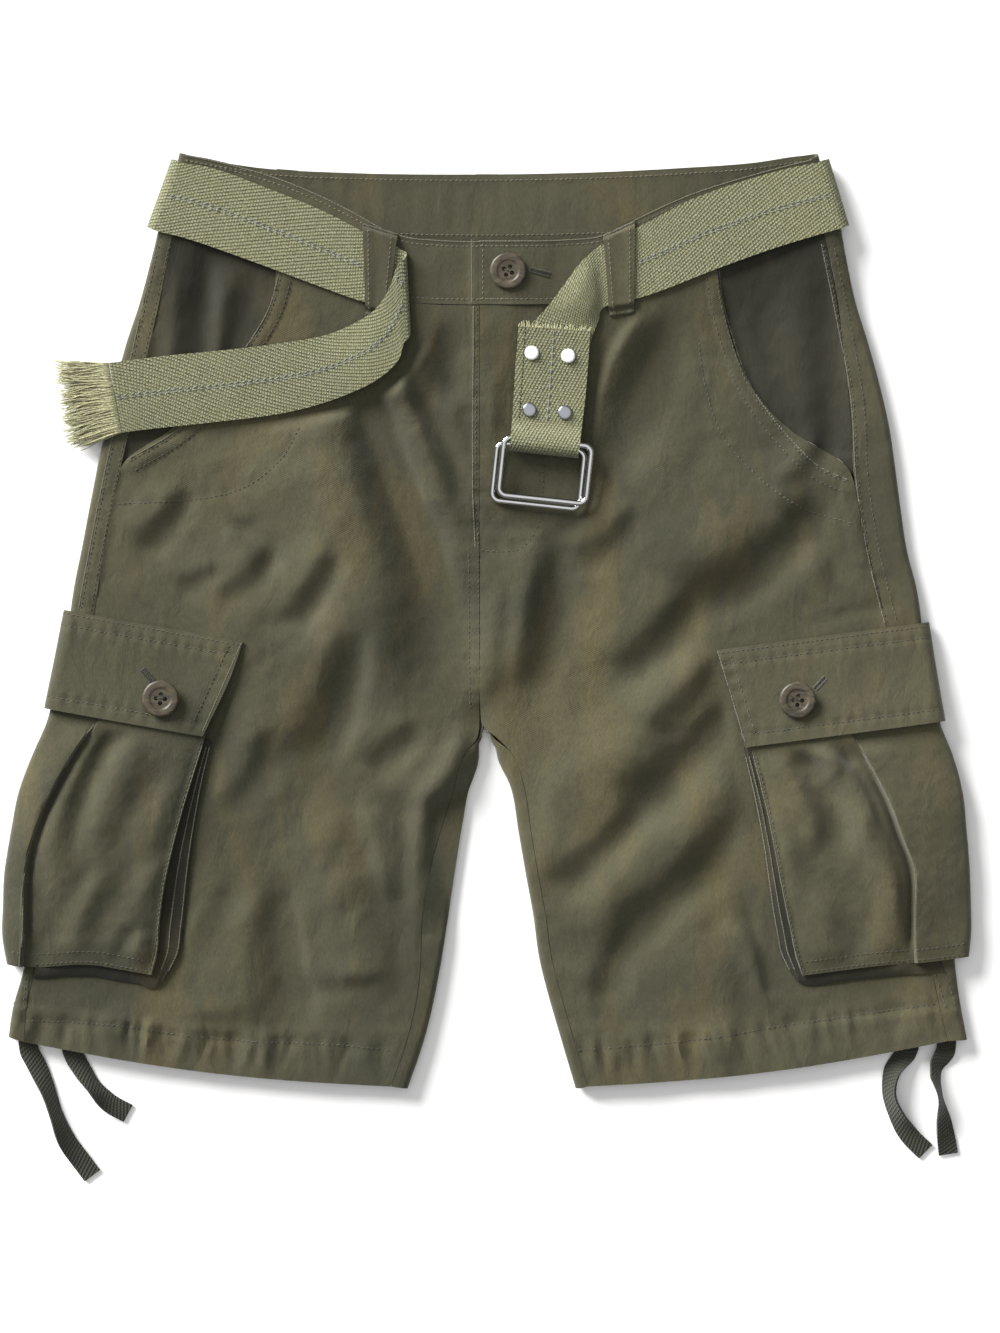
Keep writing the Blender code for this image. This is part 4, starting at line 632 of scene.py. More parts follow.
TWILL = twill("olive_twill", (0.096, 0.089, 0.048), (0.066, 0.063, 0.034), (0.046, 0.046, 0.026),
              (0.112, 0.091, 0.040))
# Painted shade: a darker copy of the twill for the pocket facings and gussets, which lie in shade in the pockets'
# mouths and beside the pleats.
PAINTED_SHADE_TWILL = twill("olive_twill_dark", (0.050, 0.046, 0.025), (0.026, 0.025, 0.015), (0.013, 0.013, 0.008),
                    (0.070, 0.056, 0.025), grain=27.0)
WEB = webbing("khaki_web")
TAPE = tape_weave("drawstring_tape")
THREAD = yarn("olive_thread", (0.020, 0.020, 0.012), (0.062, 0.060, 0.037))
BAND_THREAD = yarn("band_thread", (0.060, 0.058, 0.035), (0.155, 0.148, 0.098))
# Painted highlight: a paler thread for the rims along lit folded edges and seams.
EDGE_HIGHLIGHT = yarn("worn_edge", (0.070, 0.069, 0.042), (0.120, 0.117, 0.076))
DARK_THREAD = yarn("dark_thread", (0.016, 0.015, 0.010), (0.040, 0.036, 0.024))
# Painted shade: near-black lenses along the buttonholes' cuts, where the slit lies in shade.
PAINTED_SLIT_SHADE = yarn("needle_hole", (0.012, 0.012, 0.008), (0.020, 0.020, 0.013))
BLUE_THREAD = yarn("blue_thread", (0.085, 0.095, 0.085), (0.21, 0.225, 0.20))
WEB_YARN = yarn("web_yarn", (0.20, 0.195, 0.10), (0.43, 0.42, 0.26))
HORN = horn("button_brown")
NICKEL = metal("nickel", (0.62, 0.62, 0.62), 0.04, 0.14)
# The upper pair of rivets take a near-white, mostly diffuse copy of the metal: painted reflection of the light. The
# lower pair take a darker steel.
RIVET_STEEL = metal("rivet_steel", (0.36, 0.37, 0.41), 0.22, 0.36)
RIVET_PAINTED_GLINT = metal("rivet_bright", (0.96, 0.96, 0.95), 0.30, 0.42, metallic=0.3)


# ---------------------------------------------------------------- cloth as fine grids

def running(steps):
    """Distances from the start after each of some steps."""
    return np.concatenate([[0.0], np.cumsum(steps)])


def line_places(points):
    """How far along a broken line each of its points is."""
    return running(np.linalg.norm(np.diff(points, axis=0), axis=1))


def arc_places(grid):
    """The mean distance of each row of a grid from its first."""
    return running(np.linalg.norm(np.diff(grid, axis=0), axis=2).mean(axis=1))


def hermite(start, end, leave, arrive, t):
    """A cubic from `start` to `end` that leaves and arrives with the given slopes, at t from 0 to 1."""
    return (start * (2 * t**3 - 3 * t**2 + 1) + end * (3 * t**2 - 2 * t**3)
            + leave * (t**3 - 2 * t**2 + t) + arrive * (t**3 - t**2))


def curve_through(points, places, at):
    """Smooth curves through rows of points that stand at `places`, read at other places."""
    shape = (-1,) + (1,) * (points.ndim - 1)
    gaps = np.diff(places)
    slopes = np.diff(points, axis=0) / gaps.reshape(shape)
    if len(gaps) > 1:
        before, after = gaps[:-1].reshape(shape), gaps[1:].reshape(shape)
        inner = (slopes[:-1] * after + slopes[1:] * before) / (before + after)
        steepest = 2.0 * np.minimum(np.abs(slopes[:-1]), np.abs(slopes[1:]))
        slopes = np.concatenate([slopes[:1], np.clip(inner, -steepest, steepest), slopes[-1:]])
    else:
        slopes = np.concatenate([slopes, slopes])
    i = np.clip(np.searchsorted(places, at) - 1, 0, len(places) - 2)
    gap = gaps[i]
    t = ((at - places[i]) / gap).reshape(shape)
    gap = gap.reshape(shape)
    return hermite(points[i], points[i + 1], slopes[i] * gap, slopes[i + 1] * gap, t)


def finer(places, spacing):
    """Places at most `spacing` apart that keep the old ones, with more of them in short runs."""
    found = [0.0]
    for start, end in zip(places[:-1], places[1:]):
        count = max(math.ceil((end - start) / spacing), 2 if end - start < 6.0 else 1)
        found += list(np.linspace(start, end, count + 1)[1:])
    return np.array(found)


# How far apart a piece's points are, along its rows' run and across it.
SPACING = {
    "front": (2.7, 2.1), "back": (2.7, 3.4), "pocket": (2.4, 2.0), "waistband": (2.2, 1.9),
    "cargo_face": (2.0, 1.6), "cargo_flap": (1.6, 1.8), "cargo_gusset": (2.4, 1.6),
    "belt_loop": (1.4, 1.2), "belt": (2.0, 1.9), "drawstring": (1.6, 1.2),
}
SHARPEST = math.radians(48.0)   # the cloth's edges are smooth up to this angle
NARROWEST_CUT = 10.0            # with what a strip turns under at its seams


class Cloth:
    """One piece of cloth with its CAD solid's form, finer, and through the same points.

    With `outer` at -1 the surface is the cloth's outer side and the wall grows inwards; at 0 it is its middle.
    """

    def __init__(self, name, surface, columns, rows, wall, outer=-1.0, flip=False):
        points = np.array([[surface(column, row) for column in columns] for row in rows], float)
        rows, columns = arc_places(points), arc_places(points.transpose(1, 0, 2))
        kind = max((kind for kind in SPACING if name.startswith(kind)), key=len)
        self.name, self.wall, self.outer, self.side = name, wall, outer, -1.0 if flip else 1.0
        self.down, self.across = finer(rows, SPACING[kind][0]), finer(columns, SPACING[kind][1])
        tall = curve_through(points, rows, self.down)
        self.sheet = curve_through(tall.transpose(1, 0, 2), columns, self.across).transpose(1, 0, 2)
        self.length, self.width = rows[-1], columns[-1]
        ahead, beside = np.diff(self.sheet, axis=0)[:, :-1], np.diff(self.sheet, axis=1)[:-1]
        self.area = float(np.linalg.norm(np.cross(ahead, beside), axis=2).sum()) * MM * MM

    def shift(self, moves):
        """Move the sheet by a grid of distances up, or a grid of vectors."""
        if moves.ndim == 2:
            moves = np.stack([np.zeros_like(moves), np.zeros_like(moves), moves], axis=2)
        self.sheet = self.sheet + moves

    def normals(self):
        normal = np.cross(np.gradient(self.sheet, axis=0), np.gradient(self.sheet, axis=1)) * self.side
        return normal / np.maximum(np.linalg.norm(normal, axis=2, keepdims=True), 1e-9)

    def sides(self):
        normal = self.normals()
        outer = self.sheet + normal * self.wall * (1.0 + self.outer) / 2
        return outer, outer - normal * self.wall

    def build(self, material, slot, cord=False):
        outer, inner = (side.reshape(-1, 3) * MM for side in self.sides())
        rows, columns = self.sheet.shape[:2]
        index = np.arange(rows * columns).reshape(rows, columns)
        shell = rows * columns
        rim = np.concatenate([index[0, :], index[1:, -1], index[-1, -2::-1], index[-2:0:-1, 0]])
        ahead = np.roll(rim, -1)
        rim_faces = np.stack([ahead, rim, rim + shell, ahead + shell], axis=1)
        every = np.concatenate([quads(index), quads(index + shell)[:, ::-1], rim_faces])
        if self.side < 0:
            every = every[:, ::-1]
        mesh = bpy.data.meshes.new(self.name + "_cloth")
        mesh.from_pydata(np.concatenate([outer, inner]).tolist(), [], every.tolist())
        grid_u, grid_v = np.meshgrid(self.across * MM, self.down * MM)
        flat = np.stack([grid_u.ravel(), grid_v.ravel()], axis=1)
        flat = np.concatenate([flat, flat])
        corners = np.zeros(len(mesh.loops), dtype=np.int32)
        mesh.loops.foreach_get("vertex_index", corners)
        mesh.uv_layers.new(name="weave").data.foreach_set("uv", flat[corners].ravel())
        self.obj = new_object(mesh, material)
        mesh.set_sharp_from_angle(angle=SHARPEST)
        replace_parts(self.obj, self.name)
        size = (max(self.width, NARROWEST_CUT) * MM, self.length * MM)
        if not cord:
            min(self.area, size[0] * size[1])
        PIECES.append(self)
        return self


def quads(index):
    """The four-sided faces of a grid of vertex numbers."""
    corners = index[:-1, :-1], index[1:, :-1], index[1:, 1:], index[:-1, 1:]
    return np.stack([corner.ravel() for corner in corners], axis=1)


def new_object(mesh, material, body="shorts"):
    mesh.polygons.foreach_set("use_smooth", [True] * len(mesh.polygons))
    obj = bpy.data.objects.new(mesh.name, mesh)
    obj.data.materials.append(material)
    bpy.context.scene.collection.objects.link(obj)
    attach(obj, body)
    return obj


# ---------------------------------------------------------------- the CAD's surfaces

def unit(vector):
    return vector / np.linalg.norm(vector)


def smoothstep(t):
    """0 below 0, 1 above 1, and a soft S between."""
    t = min(max(t, 0.0), 1.0)
    return t * t * (3.0 - 2.0 * t)


class Rows:
    """A table read as smooth curves, one for each column, by the distance along its rows."""

    def __init__(self, rows, measured=2):
        self.rows = np.array(rows, float)
        steps = np.linalg.norm(np.diff(self.rows[:, :measured], axis=0), axis=1)
        self.places = running(steps)
        self.length = self.places[-1]
        slopes = np.diff(self.rows, axis=0) / steps[:, None]
        before, after = steps[:-1, None], steps[1:, None]
        inner = (slopes[:-1] * after + slopes[1:] * before) / (before + after)
        self.slopes = np.vstack([slopes[:1], inner, slopes[-1:]])

    def at(self, place):
        """Every column at a distance from the first row."""
        last = len(self.places) - 2
        i = int(np.clip(np.searchsorted(self.places, place) - 1, 0, last))
        gap = self.places[i + 1] - self.places[i]
        t = (place - self.places[i]) / gap
        return hermite(self.rows[i], self.rows[i + 1], self.slopes[i] * gap, self.slopes[i + 1] * gap, t)

    def stations(self, longest, widest_turn):
        """Distances at most `longest` apart, with `widest_turn` degrees or less between them."""
        places = [0.0]
        for i in range(len(self.places) - 1):
            start, end = self.slopes[i][:3], self.slopes[i + 1][:3]
            cosine = np.dot(start, end) / (np.linalg.norm(start) * np.linalg.norm(end))
            turn = math.degrees(math.acos(min(max(cosine, -1.0), 1.0)))
            gap = self.places[i + 1] - self.places[i]
            count = max(1, round(gap / longest), math.ceil(turn / widest_turn))
            places += spread(self.places[i], self.places[i + 1], count + 1)[1:]
        return places


def spread(start, end, count):
    """`count` evenly spaced values, with both ends."""
    return [float(value) for value in np.linspace(start, end, count)]


def line_distance(x, y, x1, y1, x2, y2):
    """How far a place is from the line between two others."""
    run_x, run_y = x2 - x1, y2 - y1
    share = ((x - x1) * run_x + (y - y1) * run_y) / (run_x**2 + run_y**2)
    share = min(max(share, 0.0), 1.0)
    return math.hypot(x - x1 - share * run_x, y - y1 - share * run_y)


def fold_height(x, y):
    """The sum of the soft ridges and troughs at a place."""
    return sum(height * math.exp(-((line_distance(x, y, *line) / width) ** 2)) for *line, width, height in FOLDS)


def pressed_share(x, y):
    """1 where the cloth is pressed flat, and 0 well away from there."""
    return smoothstep(1.6 - 1.6 * line_distance(x, y, *PRESSED) / PRESSED_WIDTH)


def waist_seam(x):
    """How far up the front's waist seam is, which climbs towards both sides."""
    return WAIST_Y + WAIST_CLIMB * np.maximum(np.abs(x) - WAIST_FLAT, 0.0)


def waist_rise(x, y):
    """0 on the legs and 1 at the waist seam."""
    return smoothstep((y - waist_seam(x) + 64.0) / 62.0)


def crotch_share(x, y):
    return smoothstep(1.0 - math.hypot(x - CROTCH[0], y - CROTCH[1]) / CROTCH_REACH)


def front_height(x, y):
    rise = waist_rise(x, y)
    pressed = pressed_share(x, y)
    z = LOFT + fold_height(x, y) * (1.0 - rise) * (1.0 - pressed) - PRESSED_DEPTH * pressed
    z = max(z, LOWEST_FRONT)
    z += (BAND_TOP - z) * rise
    return z - CROTCH_FRONT_DIP * crotch_share(x, y)


def back_height(x, y):
    seam_y = 229.0 + 11.0 * (x / 200.0) ** 2
    rise = BAND_FLOOR * smoothstep((y - seam_y + 64.0) / 46.0)
    return rise + CROTCH_BACK_RISE * crotch_share(x, y)


def fly_lift(x, y):
    """How much higher the left front's lap lies, from the waist to the fly's lower end."""
    lift = FLY_STEP + (FLY_LIFT - FLY_STEP) * smoothstep((y - FLY_LIFT_START) / 35.0)
    lapped = 1.0 - smoothstep((x - FLY_FLAT) / 16.0 * FLY_STEP / lift)
    return lift * lapped * smoothstep((y - FLY_END) / 18.0)


class Leg:
    """One leg's sections, read from its table at any share of the way from the waist to the hem."""

    def __init__(self, table, side):
        self.rows = Rows(table, measured=4)
        self.side = side

    def section(self, v):
        row = self.rows.at(v * self.rows.length)
        fold, seam, front, back = row[0:2], row[2:4], row[4:6], row[6:8]
        return fold, seam, front, back, max(row[8], 0.0)

    def outer_edge(self, v):
        """The front's outer edge: the pocket opening, and below it the side seam."""
        _, seam, front, _, opening = self.section(v)
        return seam + unit(front - seam) * opening

    def hem_share(self, v):
        """The share of the way into the hem's step, with the hem's depth at the side seam."""
        from_hem = (1.0 - v) * self.rows.length / math.sqrt(2.0)
        return smoothstep((HEM_DEPTH + 1.5 - from_hem) / 3.0)


def band_lower_edge(front):
    """The waistband's lower edge as x and y, on the front or on the back."""
    band = Rows(band_rows(), measured=6)
    points = [band.at(place)[3:6] for place in band.stations(24.0, 24.0)]
    chosen = [(x, y) for x, y, height in points if (height > BAND_MIDDLE) == front]
    chosen.sort()
    return np.array(chosen)


def settle_to_waist(point, top, v, edge):
    """Move a point near the waist so that the first row follows the waistband's lower edge."""
    waist_y = np.interp(top[0], edge[:, 0], edge[:, 1]) - WAIST_GAP
    fade = max(0.0, 1.0 - v / 0.2) ** 2
    return point + np.array([0.0, (waist_y - top[1]) * fade])


def front_panel(name, leg, columns=18):
    def place_on_row(u, v):
        outer, front = leg.outer_edge(v), leg.section(v)[2]
        run = front - outer
        inset = SEAM / 2 / np.linalg.norm(run)
        return outer + run * (inset + u * (1.0 - 2.0 * inset))

    def surface(u, v):
        point = settle_to_waist(place_on_row(u, v), place_on_row(u, 0.0), v, FRONT_BAND_EDGE)
        sag = HEM_SAG * math.sin(math.pi * u) * smoothstep((v - 0.8) / 0.2)
        x, y = point[0], point[1] - sag
        z = front_height(x, y) + HEM_STEP * leg.hem_share(v)
        if leg.side == "left":
            z += fly_lift(x, y)
        return x, y, z

    return Cloth(name, surface, spread(0, 1, columns + 1), panel_rows(leg), WALL, flip=leg.side == "left")


def panel_rows(leg):
    """Even rows down to the hem's step, with rows of their own at the crotch, and then the hem's step."""
    scale = math.sqrt(2.0) / leg.rows.length
    step = 1.0 - HEM_DEPTH * scale
    places = zip(leg.rows.places, leg.rows.rows[:, 7])
    crotch = [place / leg.rows.length for place, back_y in places if CROTCH[1] - 20.0 < back_y <= CROTCH[1]]
    even = [v for v in spread(0.0, step - 2.0 * scale, 20) if min(abs(v - c) for c in crotch) > 0.018]
    return sorted(even + crotch) + [step + 1.5 * scale, 1.0]


def back_panel(name, leg):
    """From the side seam on the front, round the outer fold, under, and up round the inner fold to the inseam."""
    top_run, arc_run, floor_run, inner_arc = 2, 5, 4, 5
    columns = top_run + arc_run + floor_run + inner_arc + 1
    first_inner = top_run + arc_run + floor_run
    flat_edge = 2.2

    def section_ends(v):
        fold, seam, front, back, _ = leg.section(v)
        floor = back_height(*fold)
        radius = (front_height(*fold) - floor) / 2
        return fold, seam, front, back, radius, floor

    def inner_line(v):
        """Points from under the outer fold to the centre back or the inseam, and the length of the inner turn."""
        fold, _, front, back, radius, _ = section_ends(v)
        out = unit(fold - back)
        wrap = min(max(0.5 + (CROTCH[1] - back[1]) / CROTCH_SPAN, 0.0), 1.0)
        low = back_height(*back)
        rise = (front_height(*front) + HEM_STEP * leg.hem_share(v) - low) / 2
        bend = min(rise, np.linalg.norm(front - back) - flat_edge) if wrap == 1.0 else 4.0
        widest = math.sin(math.pi * min(wrap, 0.5))
        start = fold - out * radius
        end = back + out * bend * widest
        line = []
        for share in spread(0, 1, 30):
            x, y = start + (end - start) * share
            line.append((x, y, back_height(x, y)))
        if wrap > 0.0:
            for angle in spread(0, math.pi * wrap, 9)[1:]:
                x, y = back + out * bend * (widest - math.sin(angle))
                line.append((x, y, low + rise * (1.0 - math.cos(angle))))
        edge = flat_edge
        if wrap == 1.0:
            run = front - np.array(line[-1][:2])
            edge = np.linalg.norm(run)
            for share in spread(0, 1, 6)[1:]:
                x, y = front - run * (1.0 - share)
                line.append((x, y, front_height(x, y) + HEM_STEP * leg.hem_share(v)))
        return np.array(line), edge, math.pi * rise

    cache = {}

    def inner_rows(v):
        if v not in cache:
            line, edge, turn = inner_line(v)
            cache[v] = line, line_places(line), edge, turn
        return cache[v]

    def section_point(column, v):
        fold, seam, _, back, radius, floor = section_ends(v)
        raised = HEM_STEP * leg.hem_share(v)
        over = unit(seam - fold)
        reach = min(radius, 0.8 * np.linalg.norm(seam - fold))
        if column <= top_run:
            start, end = seam - over * SEAM / 2, fold + over * reach
            x, y = start + (end - start) * (column / top_run)
            return x, y, front_height(x, y) + raised
        if column <= top_run + arc_run:
            share = (column - top_run) / arc_run
            angle = math.pi * share
            under = unit(back - fold)
            inward = over * reach * (1.0 - share) + under * radius * share
            x, y = fold + inward * (1.0 - math.sin(angle))
            top = front_height(*(fold + over * reach)) + raised
            return x, y, floor + (top - floor) * (1.0 + math.cos(angle)) / 2
        line, places, edge, turn = inner_rows(v)
        whole = places[-1] - SEAM / 2
        if column <= first_inner:
            place = (whole - edge - turn) * (column - top_run - arc_run) / floor_run
        elif column < columns:
            place = whole - edge - turn * (columns - 1 - column) / inner_arc
        else:
            place = whole
        return tuple(np.interp(place, places, line[:, k]) for k in range(3))

    def surface(column, v):
        point = np.array(section_point(column, v))
        top = np.array(section_point(column, 0.0))
        edge = FRONT_BAND_EDGE if top[2] > BAND_MIDDLE else BACK_BAND_EDGE
        settled = settle_to_waist(point[:2], top[:2], v, edge)
        return settled[0], settled[1], point[2]

    return Cloth(name, surface, range(columns + 1), panel_rows(leg), WALL, flip=leg.side == "right")


def pocket_facing(name, leg):
    """The cloth that shows in the slanting pocket's mouth, from the side seam to under the front's edge."""
    under = 14.0
    mouth_end = leg.rows.places[4]      # the first section where the pocket's mouth is shut
    last = 0.995 * mouth_end / leg.rows.length

    def place_on_row(u, v):
        _, seam, front, _, opening = leg.section(v)
        away = u * (opening + under)
        return seam + unit(front - seam) * (SEAM / 2 + away), away, opening

    def surface(u, v):
        point, away, opening = place_on_row(u, v)
        top, _, _ = place_on_row(u, 0.0)
        x, y = settle_to_waist(point, top, v, FRONT_BAND_EDGE - (0.0, SEAM))
        sunk = smoothstep((away + 1.0) / max(0.6 * opening, 1.0))
        return x, y, front_height(x, y) - (WALL + LAYER) * sunk

    rows = [v for v in panel_rows(leg) if v < last - 0.01] + [last]
    return Cloth(name, surface, spread(0, 1, 7), rows, WALL, flip=leg.side == "left")


def ribbon(name, rows, widths, wall, longest, outer=0.0, flip=False, widest_turn=24.0, settle=None):
    """A strip between the two edges of a table of rows, each (x, y, z) and (x, y, z), with its camber."""
    table = Rows(rows, measured=6)

    def surface(u, place):
        row = table.at(place)
        point = row[0:3] * (1.0 - u) + row[3:6] * u
        point[2] += row[6] * (1.0 - (2.0 * u - 1.0) ** 2)
        return settle(*point) if settle else tuple(point)

    places = table.stations(longest, widest_turn)
    return Cloth(name, surface, spread(0, 1, widths + 1), places, wall, outer=outer, flip=flip)


def half_turn(first, last, reach, steps=6):
    """The rows between two rows that lie one over the other, round a turn that bulges to +X by `reach`."""
    first, last = np.array(first), np.array(last)
    along = first[0:2] - first[3:5]
    outward = np.array([along[1], -along[0]]) / np.linalg.norm(along) * reach
    rows = []
    for angle in spread(-90.0, 90.0, steps + 1)[1:-1]:
        turn = math.radians(angle)
        share = (1.0 + math.sin(turn)) / 2
        row = first * (1.0 - share) + last * share
        row[0:2] += outward * math.cos(turn)
        row[3:5] += outward * math.cos(turn)
        rows.append(tuple(row))
    return rows


def band_rows():
    left_turn = half_turn(BAND_LEFT_FRONT[-1], BAND_BACK[0], BAND_REACH)
    right_turn = half_turn(BAND_BACK[-1], BAND_RIGHT_FRONT[0], -BAND_REACH)
    return BAND_LEFT_FRONT + left_turn + BAND_BACK + right_turn + BAND_RIGHT_FRONT


def waistband():
    return ribbon("waistband", band_rows(), 1, BAND_WALL, outer=-1.0, flip=True, longest=24.0)


def bight_rows():
    """The rows of the strap's turn round the ring bars, from under them to over them."""
    yaw = math.radians(STRAP_YAW)
    across = np.array([math.cos(yaw), math.sin(yaw), 0.0])
    back_along = np.array([math.sin(yaw), -math.cos(yaw), 0.0])
    radius = BIGHT_INNER + WEB_WALL / 2
    rows = []
    for angle in spread(-100.0, 100.0, BIGHT_STEPS + 1):
        turn = math.radians(angle)
        middle = np.array(BIGHT_CENTRE) + back_along * radius * math.cos(turn)
        middle[2] += radius * math.sin(turn)
        upper, lower = middle - across * STRAP_HALF, middle + across * STRAP_HALF
        rows.append((*upper, *lower, 0.0))
    return rows


def settle_web(x, y, z):
    """Lift a point of the web's middle clear of the front that it lies on."""
    on_front = z > BELT_MIDDLE and (abs(x) < 180.0 or y < 200.0)
    if on_front:
        z = max(z, front_height(x, y) + LAYER + WEB_WALL / 2)
    return x, y, z


def belt():
    crease = half_turn(TAIL[-1], BELT_RIGHT_FRONT[0], CREASE_REACH)
    right_turn = half_turn(BELT_RIGHT_FRONT[-1], BELT_BACK[0], -BELT_REACH)
    left_turn = half_turn(BELT_BACK[-1], BELT_LEFT_FRONT[0], BELT_REACH)
    strap = STRAP_LOWER + bight_rows() + STRAP_UPPER
    rows = TAIL + crease + BELT_RIGHT_FRONT + right_turn + BELT_BACK + left_turn + BELT_LEFT_FRONT + strap
    return ribbon("belt", rows, 3, WEB_WALL, longest=22.0, widest_turn=36.0, settle=settle_web)


def belt_loop(name, corners, on_front):
    """A strip stitched down above and below the belt, which passes under it."""
    upper_right, upper_left, lower_right, lower_left = (np.array(corner) for corner in corners)
    if on_front:
        under = BAND_TOP + SEAM + LOOP_WALL / 2
        over = BELT_FRONT + WEB_WALL / 2 + SEAM + LOOP_WALL / 2
    else:
        under = BAND_FLOOR - SEAM - LOOP_WALL / 2
        over = BELT_FLOOR - WEB_WALL / 2 - SEAM - LOOP_WALL / 2
    stitched, climb = 2.0, 1.8
    length = np.linalg.norm(lower_right + lower_left - upper_right - upper_left) / 2
    profile = [
        (0.0, under), (stitched, under), (stitched + climb, over), (length / 2, over),
        (length - stitched - 2.0 * climb, over), (length - stitched - climb, under), (length, under),
    ]

    def surface(u, row):
        away, height = profile[row]
        upper = upper_right * (1.0 - u) + upper_left * u
        lower = lower_right * (1.0 - u) + lower_left * u
        x, y = upper + (lower - upper) * away / length
        if on_front and row > 4:
            height = front_height(x, y) + SEAM + LOOP_WALL / 2
        return x, y, height

    return Cloth(name, surface, (0, 1), range(len(profile)), LOOP_WALL, outer=0.0)


class Pocket:
    """A pocket's own axes, laid on the leg: across from the side seam, and down along it."""

    def __init__(self, axes, bag, flap, outer_drop):
        self.axes = axes
        self.origin = np.array(axes["origin"])
        self.down = np.array(axes["down"])
        self.across = np.array([-self.down[1], self.down[0]]) * axes["inward"]
        self.fold = axes["fold"]
        self.inward = axes["inward"]
        self.bag = Rows(bag, measured=1)
        self.top, self.bottom = self.bag.rows[0][0], self.bag.rows[-1][0]
        self.flap = Rows(flap, measured=1)
        self.outer_drop = outer_drop

    def plan(self, across, down):
        return self.origin + self.across * across + self.down * down

    def leg_height(self, across, down):
        return front_height(*self.plan(across, down))

    def bag_row(self, down):
        return self.bag.at(down - self.top)

    def bag_column(self, down, name):
        """One column of the bag's table over a grid of distances down."""
        column = ("down", "front", "gusset", "pleat", "outer").index(name)
        return np.vectorize(lambda place: self.bag_row(place)[column])(down)

    def drop(self, across):
        """How much lower the bag's bottom edge is, towards its outer end."""
        return self.outer_drop * smoothstep((40.0 - across) / 50.0)

    def puff(self, across, down):
        """How far the bag's face stands off the leg."""
        _, front, _, _, outer, edge_puff, puff = self.bag_row(down)
        share = min(max((front - across) / (front - outer), 0.0), 1.0)
        return edge_puff + puff * math.sin(math.pi * min(share * 1.05, 1.0)) ** 0.7

    def face_top(self, across, down):
        """The height of the face's outer side, with the step at its pleat."""
        pleat = self.bag_row(down)[3]
        z = self.leg_height(across, down) + LAYER + WALL + self.puff(across, down)
        share = smoothstep((down - 20.0) / 30.0)
        return z + PLEAT_STEP * share * (smoothstep((across - pleat + 1.0) / 1.6) - 0.5)

    def face_point(self, column, v):
        """Columns 0 to 7 run from the front edge to the pleat, 8 to 11 to the outer turn, 12 to 16 round it.

        Column 17 is the end of the face, tucked in under the leg's outer fold where that stands in.
        """
        down = self.top + (self.bottom - self.top) * v
        _, front, _, pleat, outer, _, _ = self.bag_row(down)
        turn_start = outer + BAG_TURN
        fold = self.fold[0] + (self.fold[1] - self.fold[0]) * v
        tucked = smoothstep((fold - outer - 4.0) / 4.0)
        if column <= 7:
            across = front + (pleat + 0.6 - front) * column / 7
        elif column <= 11:
            across = pleat - 1.0 + (turn_start - pleat + 1.0) * (column - 8) / 3
        else:
            across = turn_start
        drop = self.drop(across) * v
        z = self.face_top(across, down)
        if column > 11:
            angle = math.radians(105.0 + 75.0 * tucked) * min(column - 11, 5) / 5
            across = outer + BAG_TURN * (1.0 - math.sin(angle))
            z *= (1.0 + math.cos(angle)) / 2
        if column == 17:
            across += max(fold - 1.0 - across, 0.4) * tucked
            z -= 0.3 * (1.0 - tucked)
        x, y = self.plan(across, down + drop)
        return x, y, z

    def flap_top(self, across, down):
        """The height of the flap's outer side, seated at its seam and raised over the bag below."""
        leg = self.leg_height(across, down)
        bag_down = max(down, self.top)
        seated = leg + SEAM + FLAP_WALL
        raised = leg + 2.0 * LAYER + WALL + self.puff(across, bag_down) + FLAP_WALL
        raised += PLEAT_STEP / 2 * smoothstep((down - 20.0) / 30.0)
        return seated + (raised - seated) * smoothstep((down - 3.0) / 9.0)

    def flap_point(self, column, v):
        """Columns 0 to 10 run from the front end to the outer turn, and 11 to 14 go down round it."""
        down = FLAP_DEPTH * v
        front, outer = self.flap.at(min(down, self.flap.length))[1:3]
        turn_start = outer + FLAP_TURN
        across = front + (turn_start - front) * min(column, 10) / 10
        z = self.flap_top(across, down)
        if column > 10:
            angle = math.radians(118.0) * (column - 10) / 4
            across = outer + FLAP_TURN * (1.0 - math.sin(angle))
            z *= (1.0 + math.cos(angle)) / 2
        x, y = self.plan(across, down)
        return x, y, z

    def button_seat(self, across, down):
        """The highest point of the flap under a button."""
        heights = [self.flap_top(across, down)]
        for angle in spread(0.0, 2.0 * math.pi, 13):
            reach = BUTTON_DIAMETER / 2
            heights.append(self.flap_top(across + reach * math.cos(angle), down + reach * math.sin(angle)))
        return max(heights)


def gusset(side, pocket):
    """The strip between the bag's face and the leg, down the front edge, round the corner and along the bottom."""
    first, last = pocket.top, pocket.bottom
    corner_inset, bottom_width = 2.5, 7.0
    stations = []
    for down in spread(first, last, FACE_ROWS)[3:-1]:
        row = pocket.bag_row(down)
        stations.append((row[1], down, 1.0, 0.0, -GUSSET_TUCK, row[2]))
    front, width = pocket.bag_row(last)[1:3]
    for angle in spread(15.0, 75.0, 4):
        turn = math.radians(angle)
        reach = (corner_inset - GUSSET_TUCK, corner_inset + width)
        stations.append((front - corner_inset, last - corner_inset, math.cos(turn), math.sin(turn), *reach))
    for across in spread(front - 5.0, pocket.fold[1] + 8.0, 7):
        stations.append((across, last, 0.0, 1.0, -GUSSET_TUCK, bottom_width))
    profile = [(0.0, 0.0), (0.35, 0.0), (0.62, 0.22), (0.85, 0.62), (1.0, 1.0)]

    def surface(u, v):
        across, down, along_x, along_y, start, end = stations[v]
        share, fallen = profile[u]
        reach = start + (end - start) * share
        drop = pocket.drop(across) if along_y == 1.0 else 0.0
        across, down = across + along_x * reach, down + along_y * reach
        x, y = pocket.plan(across, down + drop)
        covered = min(down, last)
        top = pocket.face_top(min(across, pocket.bag_row(covered)[1]), covered) - WALL - 2.0 * LAYER
        foot = front_height(x, y) + SEAM + GUSSET_WALL
        top = max(top, foot)
        return x, y, top + (foot - top) * fallen

    return Cloth(f"cargo_gusset_{side}", surface, range(len(profile)), range(len(stations)), GUSSET_WALL,
                 flip=pocket.inward == -1)


